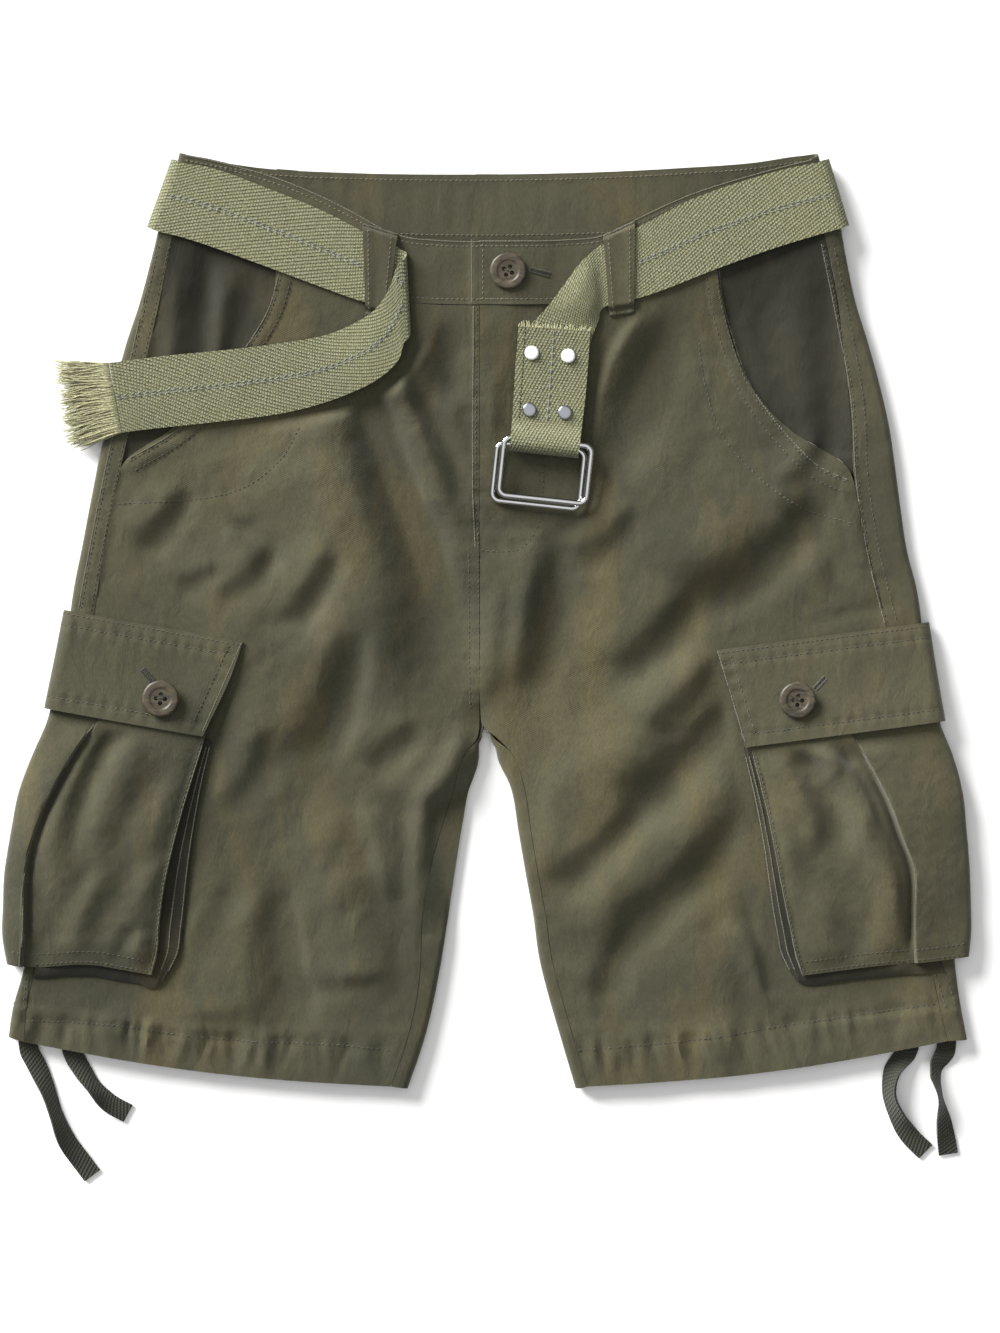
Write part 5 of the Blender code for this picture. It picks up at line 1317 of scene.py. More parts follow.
def drawstring(name, rows):
    """A flat tape that rolls about its own length, and never lies lower than the floor or the hem's inside."""
    table = Rows(rows, measured=3)

    def surface(u, v):
        place = v * table.length
        x, y, z, roll = table.at(place)
        in_hem = y > TAPE_EXIT
        turn = 0.0 if in_hem else math.radians(roll)
        ahead = table.at(min(place + 1.0, table.length))[:2]
        behind = table.at(max(place - 1.0, 0.0))[:2]
        along = unit(ahead - behind)
        rests = WALL + SEAM if in_hem else 0.0
        lowest = rests + TAPE_WALL / 2 + TAPE_WIDTH / 2 * abs(math.sin(turn)) + 0.05
        reach = (u - 0.5) * TAPE_WIDTH
        flat = reach * math.cos(turn)
        return x + along[1] * flat, y - along[0] * flat, max(z, lowest) + reach * math.sin(turn)

    return Cloth(name, surface, (0, 1), spread(0, 1, 19), TAPE_WALL, outer=0.0)


FRONT_BAND_EDGE = band_lower_edge(front=True)
BACK_BAND_EDGE = band_lower_edge(front=False)


# ---------------------------------------------------------------- relief of the cloth

LOWEST_RELIEF = 4.2      # the relief never takes an upper side lower, and eases off above it
RELIEF_EASE = 0.7
DEEPEST_UNDER = 1.1      # how far the relief of the backs' undersides goes up into them at most
FOLD_GAIN = 1.8          # how many times FOLDED's heights the fronts' folds are
FOLD_BREADTH = 1.4       # and how many times FOLDED's widths
FLY_BAND = (42.0, 0.7)   # a felled band's width and how far it is raised: the fly's facing,
SIDE_BAND = (9.6, 0.75)  # the side seams,
MOUTH_BAND = (9.4, 0.8)  # and the slant pockets' mouths
CALM_CROTCH = (8.0, -76.0)      # no folds within 12 mm of this place


def smooth(t):
    """smoothstep for a whole grid."""
    t = np.clip(t, 0.0, 1.0)
    return t * t * (3.0 - 2.0 * t)


def bell(distance, reach):
    """1 at no distance, and falling softly to 0 over a few times the reach."""
    return np.exp(-((distance / reach) ** 2))


def wander(x, y, scale, seed):
    """Soft even unevenness from -1 to 1, as a sum of turned waves."""
    mixer = np.random.default_rng(seed)
    total = np.zeros_like(x)
    for _ in range(7):
        angle = mixer.uniform(0.0, 2.0 * math.pi)
        period = scale * mixer.uniform(0.6, 1.7)
        phase = mixer.uniform(0.0, 2.0 * math.pi)
        total += np.sin((x * math.cos(angle) + y * math.sin(angle)) * 2.0 * math.pi / period + phase)
    return total / 4.0


def bowed_line(x, y, x1, y1, x2, y2, bow):
    """The share of the way along a line that bows to its left, and the distance to its left."""
    run = np.array([x2 - x1, y2 - y1])
    length = np.linalg.norm(run)
    run = run / length
    share = ((x - x1) * run[0] + (y - y1) * run[1]) / length
    bend = bow * (1.0 - (2.0 * np.clip(share, 0.0, 1.0) - 1.0) ** 2)
    return share, (x - x1) * -run[1] + (y - y1) * run[0] - bend


def crease_sum(x, y, table):
    """Ridges and troughs, each along a bowed line and fading out at its ends."""
    total = np.zeros_like(x)
    for *line, width, height in table:
        share, away = bowed_line(x, y, *line)
        ends = bell(np.maximum(np.abs(share - 0.5) - 0.32, 0.0), 0.22)
        total += height * bell(away, width) * ends
    return total


def folded_sum(x, y, table):
    """Folds with one broad flank and one narrow one."""
    total = np.zeros_like(x)
    for *line, wide, narrow, height in table:
        share, away = bowed_line(x, y, *line)
        away = away * math.copysign(1.0, wide)
        reach = FOLD_BREADTH * abs(wide) * (0.7 + 0.5 * np.clip(share, 0.0, 1.0))
        t = -away / reach
        broad = np.where(t < 1.0, -np.cos(math.pi * np.clip(t, 0.0, 1.0)), bell(t - 1.0, 0.9))
        profile = np.where(t > 0.0, broad, -bell(away, narrow))
        ends = bell(np.maximum(np.abs(share - 0.5) - 0.30, 0.0), 0.20)
        total += height * math.copysign(1.0, wide) * profile * ends
    return total


def polyline_distance(x, y, points):
    """The distance to a broken line, and the distance along it."""
    nearest = np.full(x.shape, 1e9)
    along = np.zeros_like(x)
    done = 0.0
    for (x1, y1), (x2, y2) in zip(points[:-1], points[1:]):
        run = np.array([x2 - x1, y2 - y1], float)
        length = np.linalg.norm(run)
        share = np.clip(((x - x1) * run[0] + (y - y1) * run[1]) / length**2, 0.0, 1.0)
        away = np.hypot(x - x1 - share * run[0], y - y1 - share * run[1])
        closer = away < nearest
        nearest = np.where(closer, away, nearest)
        along = np.where(closer, done + share * length, along)
        done += length
    return nearest, along


def smooth_line(points, spacing=2.0):
    """A broken line's points, rounded off and evenly spaced."""
    points = np.array(points, float)
    places = line_places(points)
    at = np.linspace(0.0, places[-1], max(2, int(places[-1] / spacing)))
    return curve_through(points, places, at), at


def offset_line(points, distance):
    """A line beside another, to its left where the distance is above 0."""
    line, at = smooth_line(points, 4.0)
    run = np.gradient(line, axis=0)
    run /= np.linalg.norm(run, axis=1, keepdims=True)
    return np.stack([line[:, 0] - run[:, 1] * distance, line[:, 1] + run[:, 0] * distance], axis=1)


def raised_band(x, y, points, turn, band):
    """A felled seam's band of some width and height, on the left of its line where `turn` is 1."""
    width, height = band
    away, _ = polyline_distance(x, y, points)
    beside, _ = polyline_distance(x, y, offset_line(points, 0.1 * turn))
    inside = smooth((away - beside) / 0.05 - 0.5)
    return height * inside * smooth((width + 0.6 - away) / 1.2)


def puckers(x, y, points, depth, reach, pitch, seed):
    """A seam's furrow, with small waves across it."""
    away, along = polyline_distance(x, y, points)
    wave = np.sin(2.0 * math.pi * along / pitch + 1.7 * np.sin(along / (2.3 * pitch) + seed))
    return depth * (0.8 * wave * bell(away, reach) - bell(away, 1.6))


# What lies on the fronts and keeps them calm: lines with a half width, and the pockets as boxes in their own axes.
TAIL_LINE = [(-222, 134), (-160, 141), (-119, 146), (-94, 152), (-74, 162), (-58, 182)]
STRAP_LINE = [(62, 196), (44, 168), (37, 140), (34, 104), (32, 86)]
COVERS = [(TAIL_LINE, 24), (STRAP_LINE, 25)]
POCKET_BOXES = [(RIGHT_POCKET, (-30, 84, -2, 212)), (LEFT_POCKET, (-36, 96, -2, 206))]


def pocket_place(axes, x, y):
    """Distances across from the side seam and down the pocket."""
    (origin_x, origin_y), (down_x, down_y) = axes["origin"], axes["down"]
    x, y = x - origin_x, y - origin_y
    return (x * -down_y + y * down_x) * axes["inward"], x * down_x + y * down_y


def uncovered(x, y):
    """0 under what lies on the fronts, and 1 from some way off."""
    free = np.ones_like(x)
    for line, half in COVERS:
        away, _ = polyline_distance(x, y, line)
        free *= smooth((away - half) / 9.0)
    for axes, (outer, inner, top, bottom) in POCKET_BOXES:
        across, down = pocket_place(axes, x, y)
        beside = np.maximum(np.maximum(outer - across, across - inner), 0.0)
        beyond = np.maximum(np.maximum(top - down, down - bottom), 0.0)
        free *= smooth(np.hypot(beside, beyond) / 8.0)
    return free


# Folds of the fronts: the trough runs from (x1, y1) to (x2, y2) and bows to its left. On its right hand the cloth
# climbs over `wide` to a ridge, and on its left hand it climbs back within `narrow`. Where wide is below 0 the line
# is a ridge, and the cloth falls on its left hand.
# x1, y1, x2, y2, bow, wide, narrow, height
FOLDED = [
    # right leg
    (-78, 150, -19.2, -2.7, 2.5, 24, 8, 4.4),
    (-88, 40, -112, -8, 2, 12, 6, 1.9),
    (-48, 152, -12, 72, 2, 9, 6, 2.2),
    (-26, 184, -22, 132, 2, 18, 9, 2.4),
    (-126, 42, -158, 8, 3, 9, 6, 1),
    (-74, -8, -95, -84, 3, 20, 7, 2.6),
    (-150, 60, -126, 30, 3, 10, 7, 1.2),
    (-73, -112, -59, -166, 3, -19, 7, 2.3),
    (-119, -160, -106, -234, -4, 24, 6, 2.8),
    (-150, -158, -170, -206, 3, 14, 12, 1.1),
    (-178, 74, -203, 40, 2, 11, 6, 1.5),
    (-160, 30, -184, 16, 2, 9, 6, 0.9),
    (-40, -66, -70, -92, 2, 12, 8, 1.2),
    (-10, -66, -38, -108, 3, -13, 8, 3),
    (-38, -104, -41, -178, -1, -13, 7, 2.4),
    (-64, -218, -112, -222, 2, 8, 7, 0.8),
    (-128, -70, -150, -118, 3, 12, 9, 1),
    # left leg
    (113, 178, 72, 84, 4, 27, 15, 3.2),
    (203, 70, 127, 4, 9, 21, 9, 2.8),
    (126, 12, 86, -38, 4, 15, 10, 2.1),
    (140, -28, 104, -72, 3, 13, 9, 1.9),
    (60, 84, 44, 50, 2, 10, 6, 1.2),
    (172, 62, 204, 20, 3, -8, 6, 0.9),
    (44, 44, 29, -48, 3, 16, 9, 2.3),
    (150, -44, 90, -118, 6, 17, 10, 2.4),
    (96, -112, 47, -166, 3, 14, 9, 1.9),
    (149, -127, 67, -206, 6, 17, 9, 2.3),
    (146, -182, 170, -230, 3, -13, 7, 1.7),
    (92, 62, 62, 30, 2, 12, 9, 1.1),
    (88, -186, 70, -228, 2, 12, 8, 1.3),
    (205, 108, 186, 78, 2, 8, 7, 0.9),
    (14, 20, 9, -50, 1, 8, 5, 0.7),
]

# Smaller creases: from (x1, y1) to (x2, y2), how far the line bows to its left, the width of each flank, and the
# height.
# x1, y1, x2, y2, bow, width, height
CREASES = [
    (-158, 104, -120, 70, 5, 12, 1.1),
    (-130, 116, -96, 84, 3, 9, 0.8),
    (-214, 92, -194, 108, 2, 6, 0.9),
    (-140, -22, -96, 0, 3, 6, 0.9),
    (-136, -34, -108, -18, 2, 5, 0.7),
    (-30, 110, -22, 60, 2, 6, 0.9),
    (-96, -166, -60, -150, 3, 9, 1.1),
    (-178, -232, -150, -236, 1, 6, 0.9),
    (134, 108, 116, 84, 3, 6, -0.8),
    (186, 96, 172, 84, 1, 5, 0.8),
    (216, 46, 170, 26, 3, 8, 0.8),
    (190, 40, 150, 12, 2, 8, -0.7),
    (206, 0, 246, 8, 2, 4, -0.9),
    (62, -206, 60, -236, 1, 6, 0.9),
    (176, -218, 206, -226, 2, 7, 0.9),
    (36, -88, 34, -150, 3, 7, 1.1),
    (150, -40, 128, -56, 2, 6, 0.9),
    (60, -60, 84, -92, 2, 9, 0.9),
    (-40, 40, -26, 8, 2, 7, 0.8),
]

# Creases of the backs' undersides, as in CREASES, and their seams: the seat's, the legs' cross seams and the hems'.
BACK_CREASES = [
    (-190, 20, -90, -24, 8, 9, 0.8),
    (-70, -30, -150, -92, 6, 11, 0.9),
    (-214, -70, -160, -128, 5, 8, 0.7),
    (-96, -120, -70, -176, 4, 7, 0.6),
    (-150, 130, -60, 96, 6, 10, 0.7),
    (-40, 60, -24, -20, 4, 8, 0.8),
    (-236, -200, -180, -222, 3, 6, 0.5),
    (60, 4, 150, -40, 7, 10, 0.9),
    (34, 50, 22, -30, 4, 7, 0.7),
    (200, 30, 140, 84, 6, 9, 0.6),
    (76, -60, 140, -130, 8, 11, 0.9),
    (190, -110, 220, -168, 4, 7, 0.6),
    (60, 140, 130, 150, -5, 9, 0.5),
    (80, -180, 120, -226, 4, 7, 0.7),
]
BACK_FURROWS = [
    [(-3, 186), (-3, 60), (-3, -44)],
    [(-258, -186), (-150, -190), (-52, -188)],
    [(46, -180), (150, -184), (256, -178)],
    [(-266, -238), (-181, -248), (-76, -255)],
    [(72, -257), (179, -243), (262, -232)],
]

# Soft standing folds in the pockets' facings.
FACING_FOLDS = [
    (-168, 222, -176, 112, 2, 7, -3),
    (-156, 206, -162, 130, -2, 7, 3.4),
    (-186, 206, -192, 130, 1, 6, 2.4),
    (-138, 206, -150, 132, 1, 8, -2),
    (206, 206, 206, 96, 2, 10, -2.4),
    (184, 200, 196, 120, -3, 9, 2),
    (166, 190, 172, 150, -3, 7, -1.4),
]

# The hems' stitch lines, as (x, y) in order.
HEM_RIGHT = [(-277, -240), (-223, -243), (-181, -249), (-149, -252), (-86, -255), (-58, -258)]
HEM_LEFT = [(54, -258), (134, -250.5), (179, -243), (224, -236.5), (269, -230)]


def hem_waves(x, y, line, seed):
    """Uneven waves in the hem's casing, deepest at its stitch line, where drawstring and stitches gather it."""
    away, along = polyline_distance(x, y, line)
    below = y < np.interp(x, [p[0] for p in line], [p[1] for p in line])
    mixer = np.random.default_rng(seed)
    total = np.zeros_like(x)
    length = line_places(line)[-1]
    place = 3.0
    while place < length:
        width = mixer.uniform(1.6, 3.4)
        height = mixer.uniform(0.25, 1.0) * mixer.choice([1.0, -1.0])
        lean = mixer.uniform(-0.35, 0.35)
        total += height * bell(along - place - lean * away, width)
        place += mixer.uniform(4.0, 10.0)
    fade = np.where(below, bell(away, 15.0), bell(away, 5.0))
    return total * fade * 2.1 - 0.6 * bell(away, 1.5)


# The fronts' other seams and lines of stitching.
FLY_EDGE = [(-8.5, 188), (-8.5, 166), (-9, 128), (-9, 80), (-7.5, 44)]
FLY_CURVE = [(33.6, 186), (33.6, 94), (31.8, 62), (27.5, 51), (16.2, 41.7), (4, 41.4), (-4.2, 42.3)]
SEAT_SEAM = [(-7.4, 40), (-7, -18), (-6.6, -54)]
RIGHT_MOUTH = [(-124.8, 209.1), (-131.4, 187.5), (-145.2, 164.1), (-162, 138), (-187.8, 113.7), (-216, 96.9)]
LEFT_MOUTH = [(139.8, 210.3), (141.6, 194.7), (148.2, 170.1), (159, 141.3), (180, 112.5), (199.2, 93.3),
              (216.6, 84.9)]
LEFT_BAG_LINE = [(126.6, 170.1), (130.2, 144.9), (141.6, 110.7), (157.2, 91.5), (184, 70), (219, 58)]
RIGHT_BAG_LINE = [(-112, 116), (-124, 96), (-150, 78), (-184, 72), (-222, 70)]
RIGHT_SEAM = [(-187.2, 229.5), (-196.8, 189.3), (-204, 157.5), (-218.4, 95.1), (-233.4, 18.3), (-235.8, 5)]
LEFT_SEAM = [(199.8, 225.3), (210.6, 174.3), (217.8, 132.3), (220.8, 84.3), (229.8, 30.3), (238, -2)]
BACK_SEAMS = ([(-41, -189), (-22, -187.2)], [(25, -180), (37, -179.6)])
RIGHT_SEAM_LOW = [(-274.5, -213.3), (-276, -231.9)]
LEFT_SEAM_LOW = [(265.2, -205.5), (273.6, -233.7)]


# Single rows of stitching with the pitch and the seed of the cloth's puckers along them, and the paired rows of the
# slant pockets' mouths and the side seams, with the side on which they lie.
SINGLE_ROWS = [(FLY_CURVE, 9.0, 1.0), (offset_line(FLY_EDGE, 2.4), 9.0, 1.5),
               (offset_line(SEAT_SEAM, 2.2), 8.0, 8.0), (offset_line(SEAT_SEAM, -3.6), 8.0, 8.5)]
BAG_ROWS = [(LEFT_BAG_LINE, 11.0, 4.0), (RIGHT_BAG_LINE, 11.0, 5.0)]
MOUTHS = [(RIGHT_MOUTH, 1.0), (LEFT_MOUTH, -1.0)]
MOUTH_ROWS = (2.2, 8.4)
SIDE_SEAMS = [(RIGHT_SEAM, -1.0), (LEFT_SEAM, 1.0), (RIGHT_SEAM_LOW, -1.0), (LEFT_SEAM_LOW, 1.0)]
SIDE_ROWS = (2.0, 8.0)


def front_relief(x, y):
    """How far the fronts' finer creases lift them."""
    below_waist = smooth((waist_seam(x) - 4.0 - y) / 26.0)
    free = uncovered(x, y) * below_waist
    big = FOLD_GAIN * folded_sum(x, y, FOLDED) + crease_sum(x, y, CREASES)
    small = 0.55 * wander(x, y, 50.0, 3) + 0.22 * wander(x, y, 18.0, 5)
    from_crotch = np.hypot(x - CALM_CROTCH[0], y - CALM_CROTCH[1])
    total = (big + small) * free * smooth((from_crotch - 12.0) / 20.0)
    total += raised_band(x, y, FLY_EDGE, 1.0, FLY_BAND) * smooth((y - 46.0) / 6.0)
    for line, pitch, seed in SINGLE_ROWS + BAG_ROWS:
        total += puckers(x, y, line, 0.32, 4.5, pitch, seed) * (0.35 + 0.65 * free)
    for seam, turn in SIDE_SEAMS:
        total += raised_band(x, y, seam, turn, SIDE_BAND)
        for outside in SIDE_ROWS:
            total += puckers(x, y, offset_line(seam, turn * outside), 0.34, 3.0, 6.0, outside)
    for mouth, turn in MOUTHS:
        total += raised_band(x, y, mouth, turn, MOUTH_BAND)
        for inside in MOUTH_ROWS:
            total += puckers(x, y, offset_line(mouth, turn * inside), 0.32, 3.0, 7.0, inside)
    for line in BACK_SEAMS:
        total += puckers(x, y, line, 0.5, 2.0, 5.0, 1.0)
    total += hem_waves(x, y, HEM_RIGHT, 21) + hem_waves(x, y, HEM_LEFT, 22)
    return total


def under_relief(x, y):
    """Shallow creases and seam furrows pressed up into the backs, which elsewhere lie flat."""
    total = np.maximum(crease_sum(x, y, BACK_CREASES), 0.0)
    for line in BACK_FURROWS:
        away, _ = polyline_distance(x, y, line)
        total += 0.6 * bell(away, 1.5)
    return np.minimum(total, DEEPEST_UNDER)


def panel(piece, material, slot, extra=None):
    """A panel of a leg: the upper side takes the fronts' relief, and what lies on the floor stays flat."""
    x, y, z = (piece.sheet[..., k] for k in range(3))
    lift = front_relief(x, y)
    if extra is not None:
        lift = lift + extra(x, y)
    moved = z + lift * smooth((z - 3.0) / 4.0)
    if piece.name.startswith("back_"):
        moved = moved + under_relief(x, y) * smooth((2.0 - z) / 1.5)
    above = (moved - LOWEST_RELIEF) / RELIEF_EASE
    eased = LOWEST_RELIEF + RELIEF_EASE * np.logaddexp(0.0, above)
    lift = np.where(z > LOWEST_RELIEF, np.minimum(eased, np.maximum(moved, z)) - z, moved - z)
    piece.shift(lift)
    piece.build(material, slot)


# ---------------------------------------------------------------- cloth pieces

# Folds of the bags' faces, in the pocket's own axes, as in FOLDED.
FACE_FOLDS = {
    "right": [
        (14, 58, -4, 150, 6, 12, 5, -1.7),
        (30, 60, 10, 130, 4, 10, 7, 1.5),
        (56, 84, 34, 150, 5, 15, 9, 1.2),
        (60, 130, 30, 196, 4, 13, 9, 1.2),
        (24, 150, 8, 204, 3, 10, 7, 1.1),
        (56, 180, 50, 206, 2, 8, 5, 1.3),
    ],
    "left": [
        (54, 60, 22, 120, 7, 12, 4, -2.4),
        (44, 56, 30, 80, 2, 8, 4, 1.6),
        (68, 60, 42, 118, 5, 11, 7, 1.8),
        (34, 104, 12, 176, 3, 12, 6, -1.8),
        (70, 100, 64, 160, 3, 10, 8, 1),
        (60, 140, 34, 190, 4, 14, 9, 1.3),
        (10, 110, 2, 190, 2, 7, 5, 0.9),
    ],
}
FACE_GAIN = 1.5     # how many times FACE_FOLDS' heights the faces' folds are
CRACK_DEPTH = 3.4   # of the dark line beside the pleat
LAP_GAIN = 3.2      # how many times the solid's pleat step the outer strip rises over the face
FLAP_EDGES = {"right": 79.0, "left": 93.0}      # how far across the flaps' front ends are


def pocket_piece(side, piece, relief, material, slot):
    x, y, z = (piece.sheet[..., k] for k in range(3))
    across, down = pocket_place(POCKETS[side].axes, x, y)
    piece.shift(relief(across, down, x, y) * smooth((z - 5.0) / 5.0))
    piece.build(material, slot)


def face_relief(side):
    pocket = POCKETS[side]

    def relief(across, down, x, y):
        from_pleat = across - pocket.bag_column(down, "pleat")
        from_edge = across - pocket.bag_column(down, "front")
        bottom = pocket.bottom
        step = smooth((from_pleat + 1.0) / 1.6) - 0.5
        lap = -LAP_GAIN * PLEAT_STEP * smooth((down - 20.0) / 30.0) * step * bell(from_pleat, 16.0)
        crack = -CRACK_DEPTH * bell(from_pleat - 2.2, 1.7) * smooth((down - 74.0) / 30.0)
        lap += crack * smooth((bottom - 3.0 - down) / 14.0)
        total = FACE_GAIN * folded_sum(across, down, FACE_FOLDS[side]) * smooth((from_pleat - 2.0) / 10.0)
        total += 0.5 * wander(x, y, 34.0, 11) + 0.2 * wander(x, y, 12.0, 12)
        lap += 0.7 * bell(from_edge + 0.6, 0.9) - 0.35 * bell(from_edge + 3.0, 1.2)
        return (total * smooth((bottom - down) / 14.0) + lap) * smooth((down - 62.0) / 14.0)
    return relief


def flap_relief(side):
    edge = FLAP_EDGES[side]

    def relief(across, down, x, y):
        total = 0.4 * wander(x, y, 34.0, 14) * smooth((58.0 - down) / 8.0)
        for start, end, depth, reach, pitch, seed in (
                ((-24.0, 9.0), (edge + 6.0, 9.0), 0.42, 5.0, 8.0, 3.0),
                ((-24.0, 52.0), (edge - 2.0, 52.0), 0.42, 5.0, 9.0, 5.0),
                ((edge + 4.0, 4.0), (edge - 8.0, 56.0), 0.36, 4.0, 9.0, 7.0)):
            total += puckers(across, down, [start, end], depth, reach, pitch, seed)
        return total
    return relief


def gusset_relief(side):
    pocket = POCKETS[side]

    def relief(across, down, x, y):
        covered = np.minimum(down, pocket.bottom)
        share = (across - pocket.bag_column(covered, "front")) / pocket.bag_column(covered, "gusset")
        lips = bell(share - 0.5, 0.12) + bell(share - 0.9, 0.10)
        return 0.25 * wander(x, y, 16.0, 15) + 0.7 * lips
    return relief


def facing_relief(mouth):
    """Soft standing folds that fade out where the front lies over the facing."""
    mouth_x, mouth_y = np.array(mouth[::-1]).T

    def relief(x, y):
        away, _ = polyline_distance(x, y, mouth)
        outside = np.sign(mouth_x[0]) * (x - np.interp(y, mouth_y, mouth_x)) > 0.0
        return crease_sum(x, y, FACING_FOLDS) * smooth((np.where(outside, away, 0.0) - 3.0) / 12.0)
    return relief


def legs():
    for table, side, mouth in ((RIGHT_LEG, "right", RIGHT_MOUTH), (LEFT_LEG, "left", LEFT_MOUTH)):
        leg = Leg(table, side)
        panel(front_panel(f"front_{side}", leg), TWILL, "olive_twill")
        panel(back_panel(f"back_{side}", leg), TWILL, "olive_twill")
        # The facings take the darker copy of the twill: painted shade in the pockets' mouths.
        panel(pocket_facing(f"pocket_facing_{side}", leg), PAINTED_SHADE_TWILL, "olive_twill_dark", facing_relief(mouth))


def pockets():
    for side, pocket in POCKETS.items():
        flip = pocket.inward == 1
        face = Cloth(f"cargo_face_{side}", pocket.face_point, range(18), spread(0, 1, FACE_ROWS), WALL, flip=flip)
        flap = Cloth(f"cargo_flap_{side}", pocket.flap_point, range(15), spread(0, 1, 7), FLAP_WALL, flip=flip)
        strip = gusset(side, pocket)
        pocket_piece(side, face, face_relief(side), TWILL, "olive_twill")
        pocket_piece(side, flap, flap_relief(side), TWILL, "olive_twill")
        # The gussets take the darker copy of the twill: painted shade beside the pleats.
        pocket_piece(side, strip, gusset_relief(side), PAINTED_SHADE_TWILL, "olive_twill_dark")


def waist():
    band = waistband()
    share = (band.across / band.width)[None, :]
    along = band.down[:, None]
    ripple = 0.12 * np.sin(2.0 * math.pi * along / 13.0 + 2.0 * np.sin(along / 41.0)) * np.sin(math.pi * share)
    rows = bell(share - 0.10, 0.035) + bell(share - 0.92, 0.035)
    x, y, z = (band.sheet[..., k] for k in range(3))
    proud = 0.9 * smooth((x + 9.6) / 1.2) * smooth((44.0 - x) / 30.0) * (z > 9.0)
    soft = 0.5 * wander(x, y, 40.0, 17) * np.sin(math.pi * share) ** 2 * smooth((z - 6.0) / 3.0)
    band.shift(band.normals() * (ripple - 0.22 * rows)[..., None])
    band.shift(proud + soft)
    band.build(TWILL, "olive_twill")
    for corners, on_front in ((FRONT_LOOPS, True), (BACK_LOOPS, False)):
        for name, ends in corners.items():
            loop = belt_loop(name, ends, on_front)
            share = (loop.across / loop.width)[None, :]
            ridges = bell(np.abs(share - 0.5) - 0.32, 0.09) - 0.5 * bell(share - 0.5, 0.2)
            if not on_front:
                ridges = 1.0 - ridges      # these lie face down, so nothing goes below the surface
            loop.shift(loop.normals() * (0.28 * ridges * np.ones_like(loop.down)[:, None])[..., None])
            loop.build(TWILL, "olive_twill")
    belt().build(WEB, "khaki_web")


def drawstrings():
    for name, rows in DRAWSTRINGS.items():
        tape = drawstring(name, rows).build(TAPE, "drawstring_tape", cord=True)
        middle = tape.sheet.mean(axis=1) * MM
        tuple(middle[0])
        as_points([tuple(p) for p in middle[:-1:2]] + [tuple(middle[-1])])


# ---------------------------------------------------------------- metal and buttons

def tube(points, radius, sides, closed=False):
    """Vertices and faces of a tube along points (a list of Vectors), in the points' unit."""
    count = len(points)
    verts, faces = [], []
    for i, point in enumerate(points):
        before = points[i - 1] if closed or i > 0 else points[i]
        after = points[(i + 1) % count] if closed or i < count - 1 else points[i]
        along = (after - before).normalized()
        side = along.cross(Vector((0.0, 0.0, 1.0)))
        side = side.normalized() if side.length > 1e-6 else Vector((1.0, 0.0, 0.0))
        up = side.cross(along)
        thick = radius[i] if isinstance(radius, (list, tuple)) else radius
        for k in range(sides):
            turn = 2.0 * math.pi * k / sides
            verts.append(point + (side * math.cos(turn) + up * math.sin(turn)) * thick)
    for i in range(count if closed else count - 1):
        ahead = (i + 1) % count
        for k in range(sides):
            beside = (k + 1) % sides
            faces.append((i * sides + k, i * sides + beside, ahead * sides + beside, ahead * sides + k))
    if not closed:
        faces.append(tuple(range(sides))[::-1])
        faces.append(tuple((count - 1) * sides + k for k in range(sides)))
    return verts, faces


class Heap:
    """Many small closed forms gathered in one mesh, in millimetres."""

    def __init__(self, name):
        self.name, self.verts, self.faces = name, [], []

    def take(self, verts, faces):
        start = len(self.verts)
        self.verts += [tuple(v) for v in verts]
        self.faces += [tuple(start + i for i in face) for face in faces]

    def build(self, material, slot, body="shorts"):
        mesh = bpy.data.meshes.new(self.name)
        mesh.from_pydata([tuple(c * MM for c in v) for v in self.verts], [], self.faces)
        bm = bmesh.new()
        bm.from_mesh(mesh)
        bmesh.ops.recalc_face_normals(bm, faces=bm.faces)
        bm.to_mesh(mesh)
        bm.free()
        return new_object(mesh, material, body)


WIRE_SIDES = 20


def rings():
    yaw = Matrix.Rotation(math.radians(STRAP_YAW), 4, "Z")
    tilt = Matrix.Rotation(math.radians(RING_TILT), 4, "X")
    hinge = Matrix.Translation(BIGHT_CENTRE) @ yaw @ tilt
    half_width = RING_WIDTH / 2 - WIRE / 2 - RING_CORNER
    half_height = RING_HEIGHT / 2 - WIRE / 2 - RING_CORNER
    bar = (RING_HEIGHT - WIRE) / 2
    for name, shift in (("ring_lower", -RING_SHIFT / 2), ("ring_upper", RING_SHIFT / 2)):
        points = []
        for quarter, (sx, sy) in enumerate(((1, 1), (-1, 1), (-1, -1), (1, -1))):
            for angle in spread(90.0 * quarter, 90.0 * quarter + 90.0, 11):
                turn = math.radians(angle)
                place = (sx * half_width + RING_CORNER * math.cos(turn) + shift,
                         sy * half_height + RING_CORNER * math.sin(turn) - bar + shift, shift)
                points.append(hinge @ Vector(place))
        heap = Heap(name + "_wire")
        heap.take(*tube(points, WIRE / 2, WIRE_SIDES, closed=True))
        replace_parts(heap.build(NICKEL, "nickel", "rings"), name)


def lathe(profile, segments, location):
    """Vertices and faces of a profile of (radius, height), from its top middle to its foot, turned round Z."""
    centre = Vector(location)
    verts = [centre + Vector((0.0, 0.0, profile[0][1]))]
    for radius, height in profile[1:]:
        for k in range(segments):
            turn = 2.0 * math.pi * k / segments
            verts.append(centre + Vector((radius * math.cos(turn), radius * math.sin(turn), height)))
    rings_made = len(profile) - 1
    faces = [(0, 1 + k, 1 + (k + 1) % segments) for k in range(segments)]
    for ring_index in range(rings_made - 1):
        a, b = 1 + ring_index * segments, 1 + (ring_index + 1) * segments
        faces += [(a + k, b + k, b + (k + 1) % segments, a + (k + 1) % segments) for k in range(segments)]
    foot = 1 + (rings_made - 1) * segments
    faces.append(tuple(foot + k for k in range(segments))[::-1])
    return verts, faces


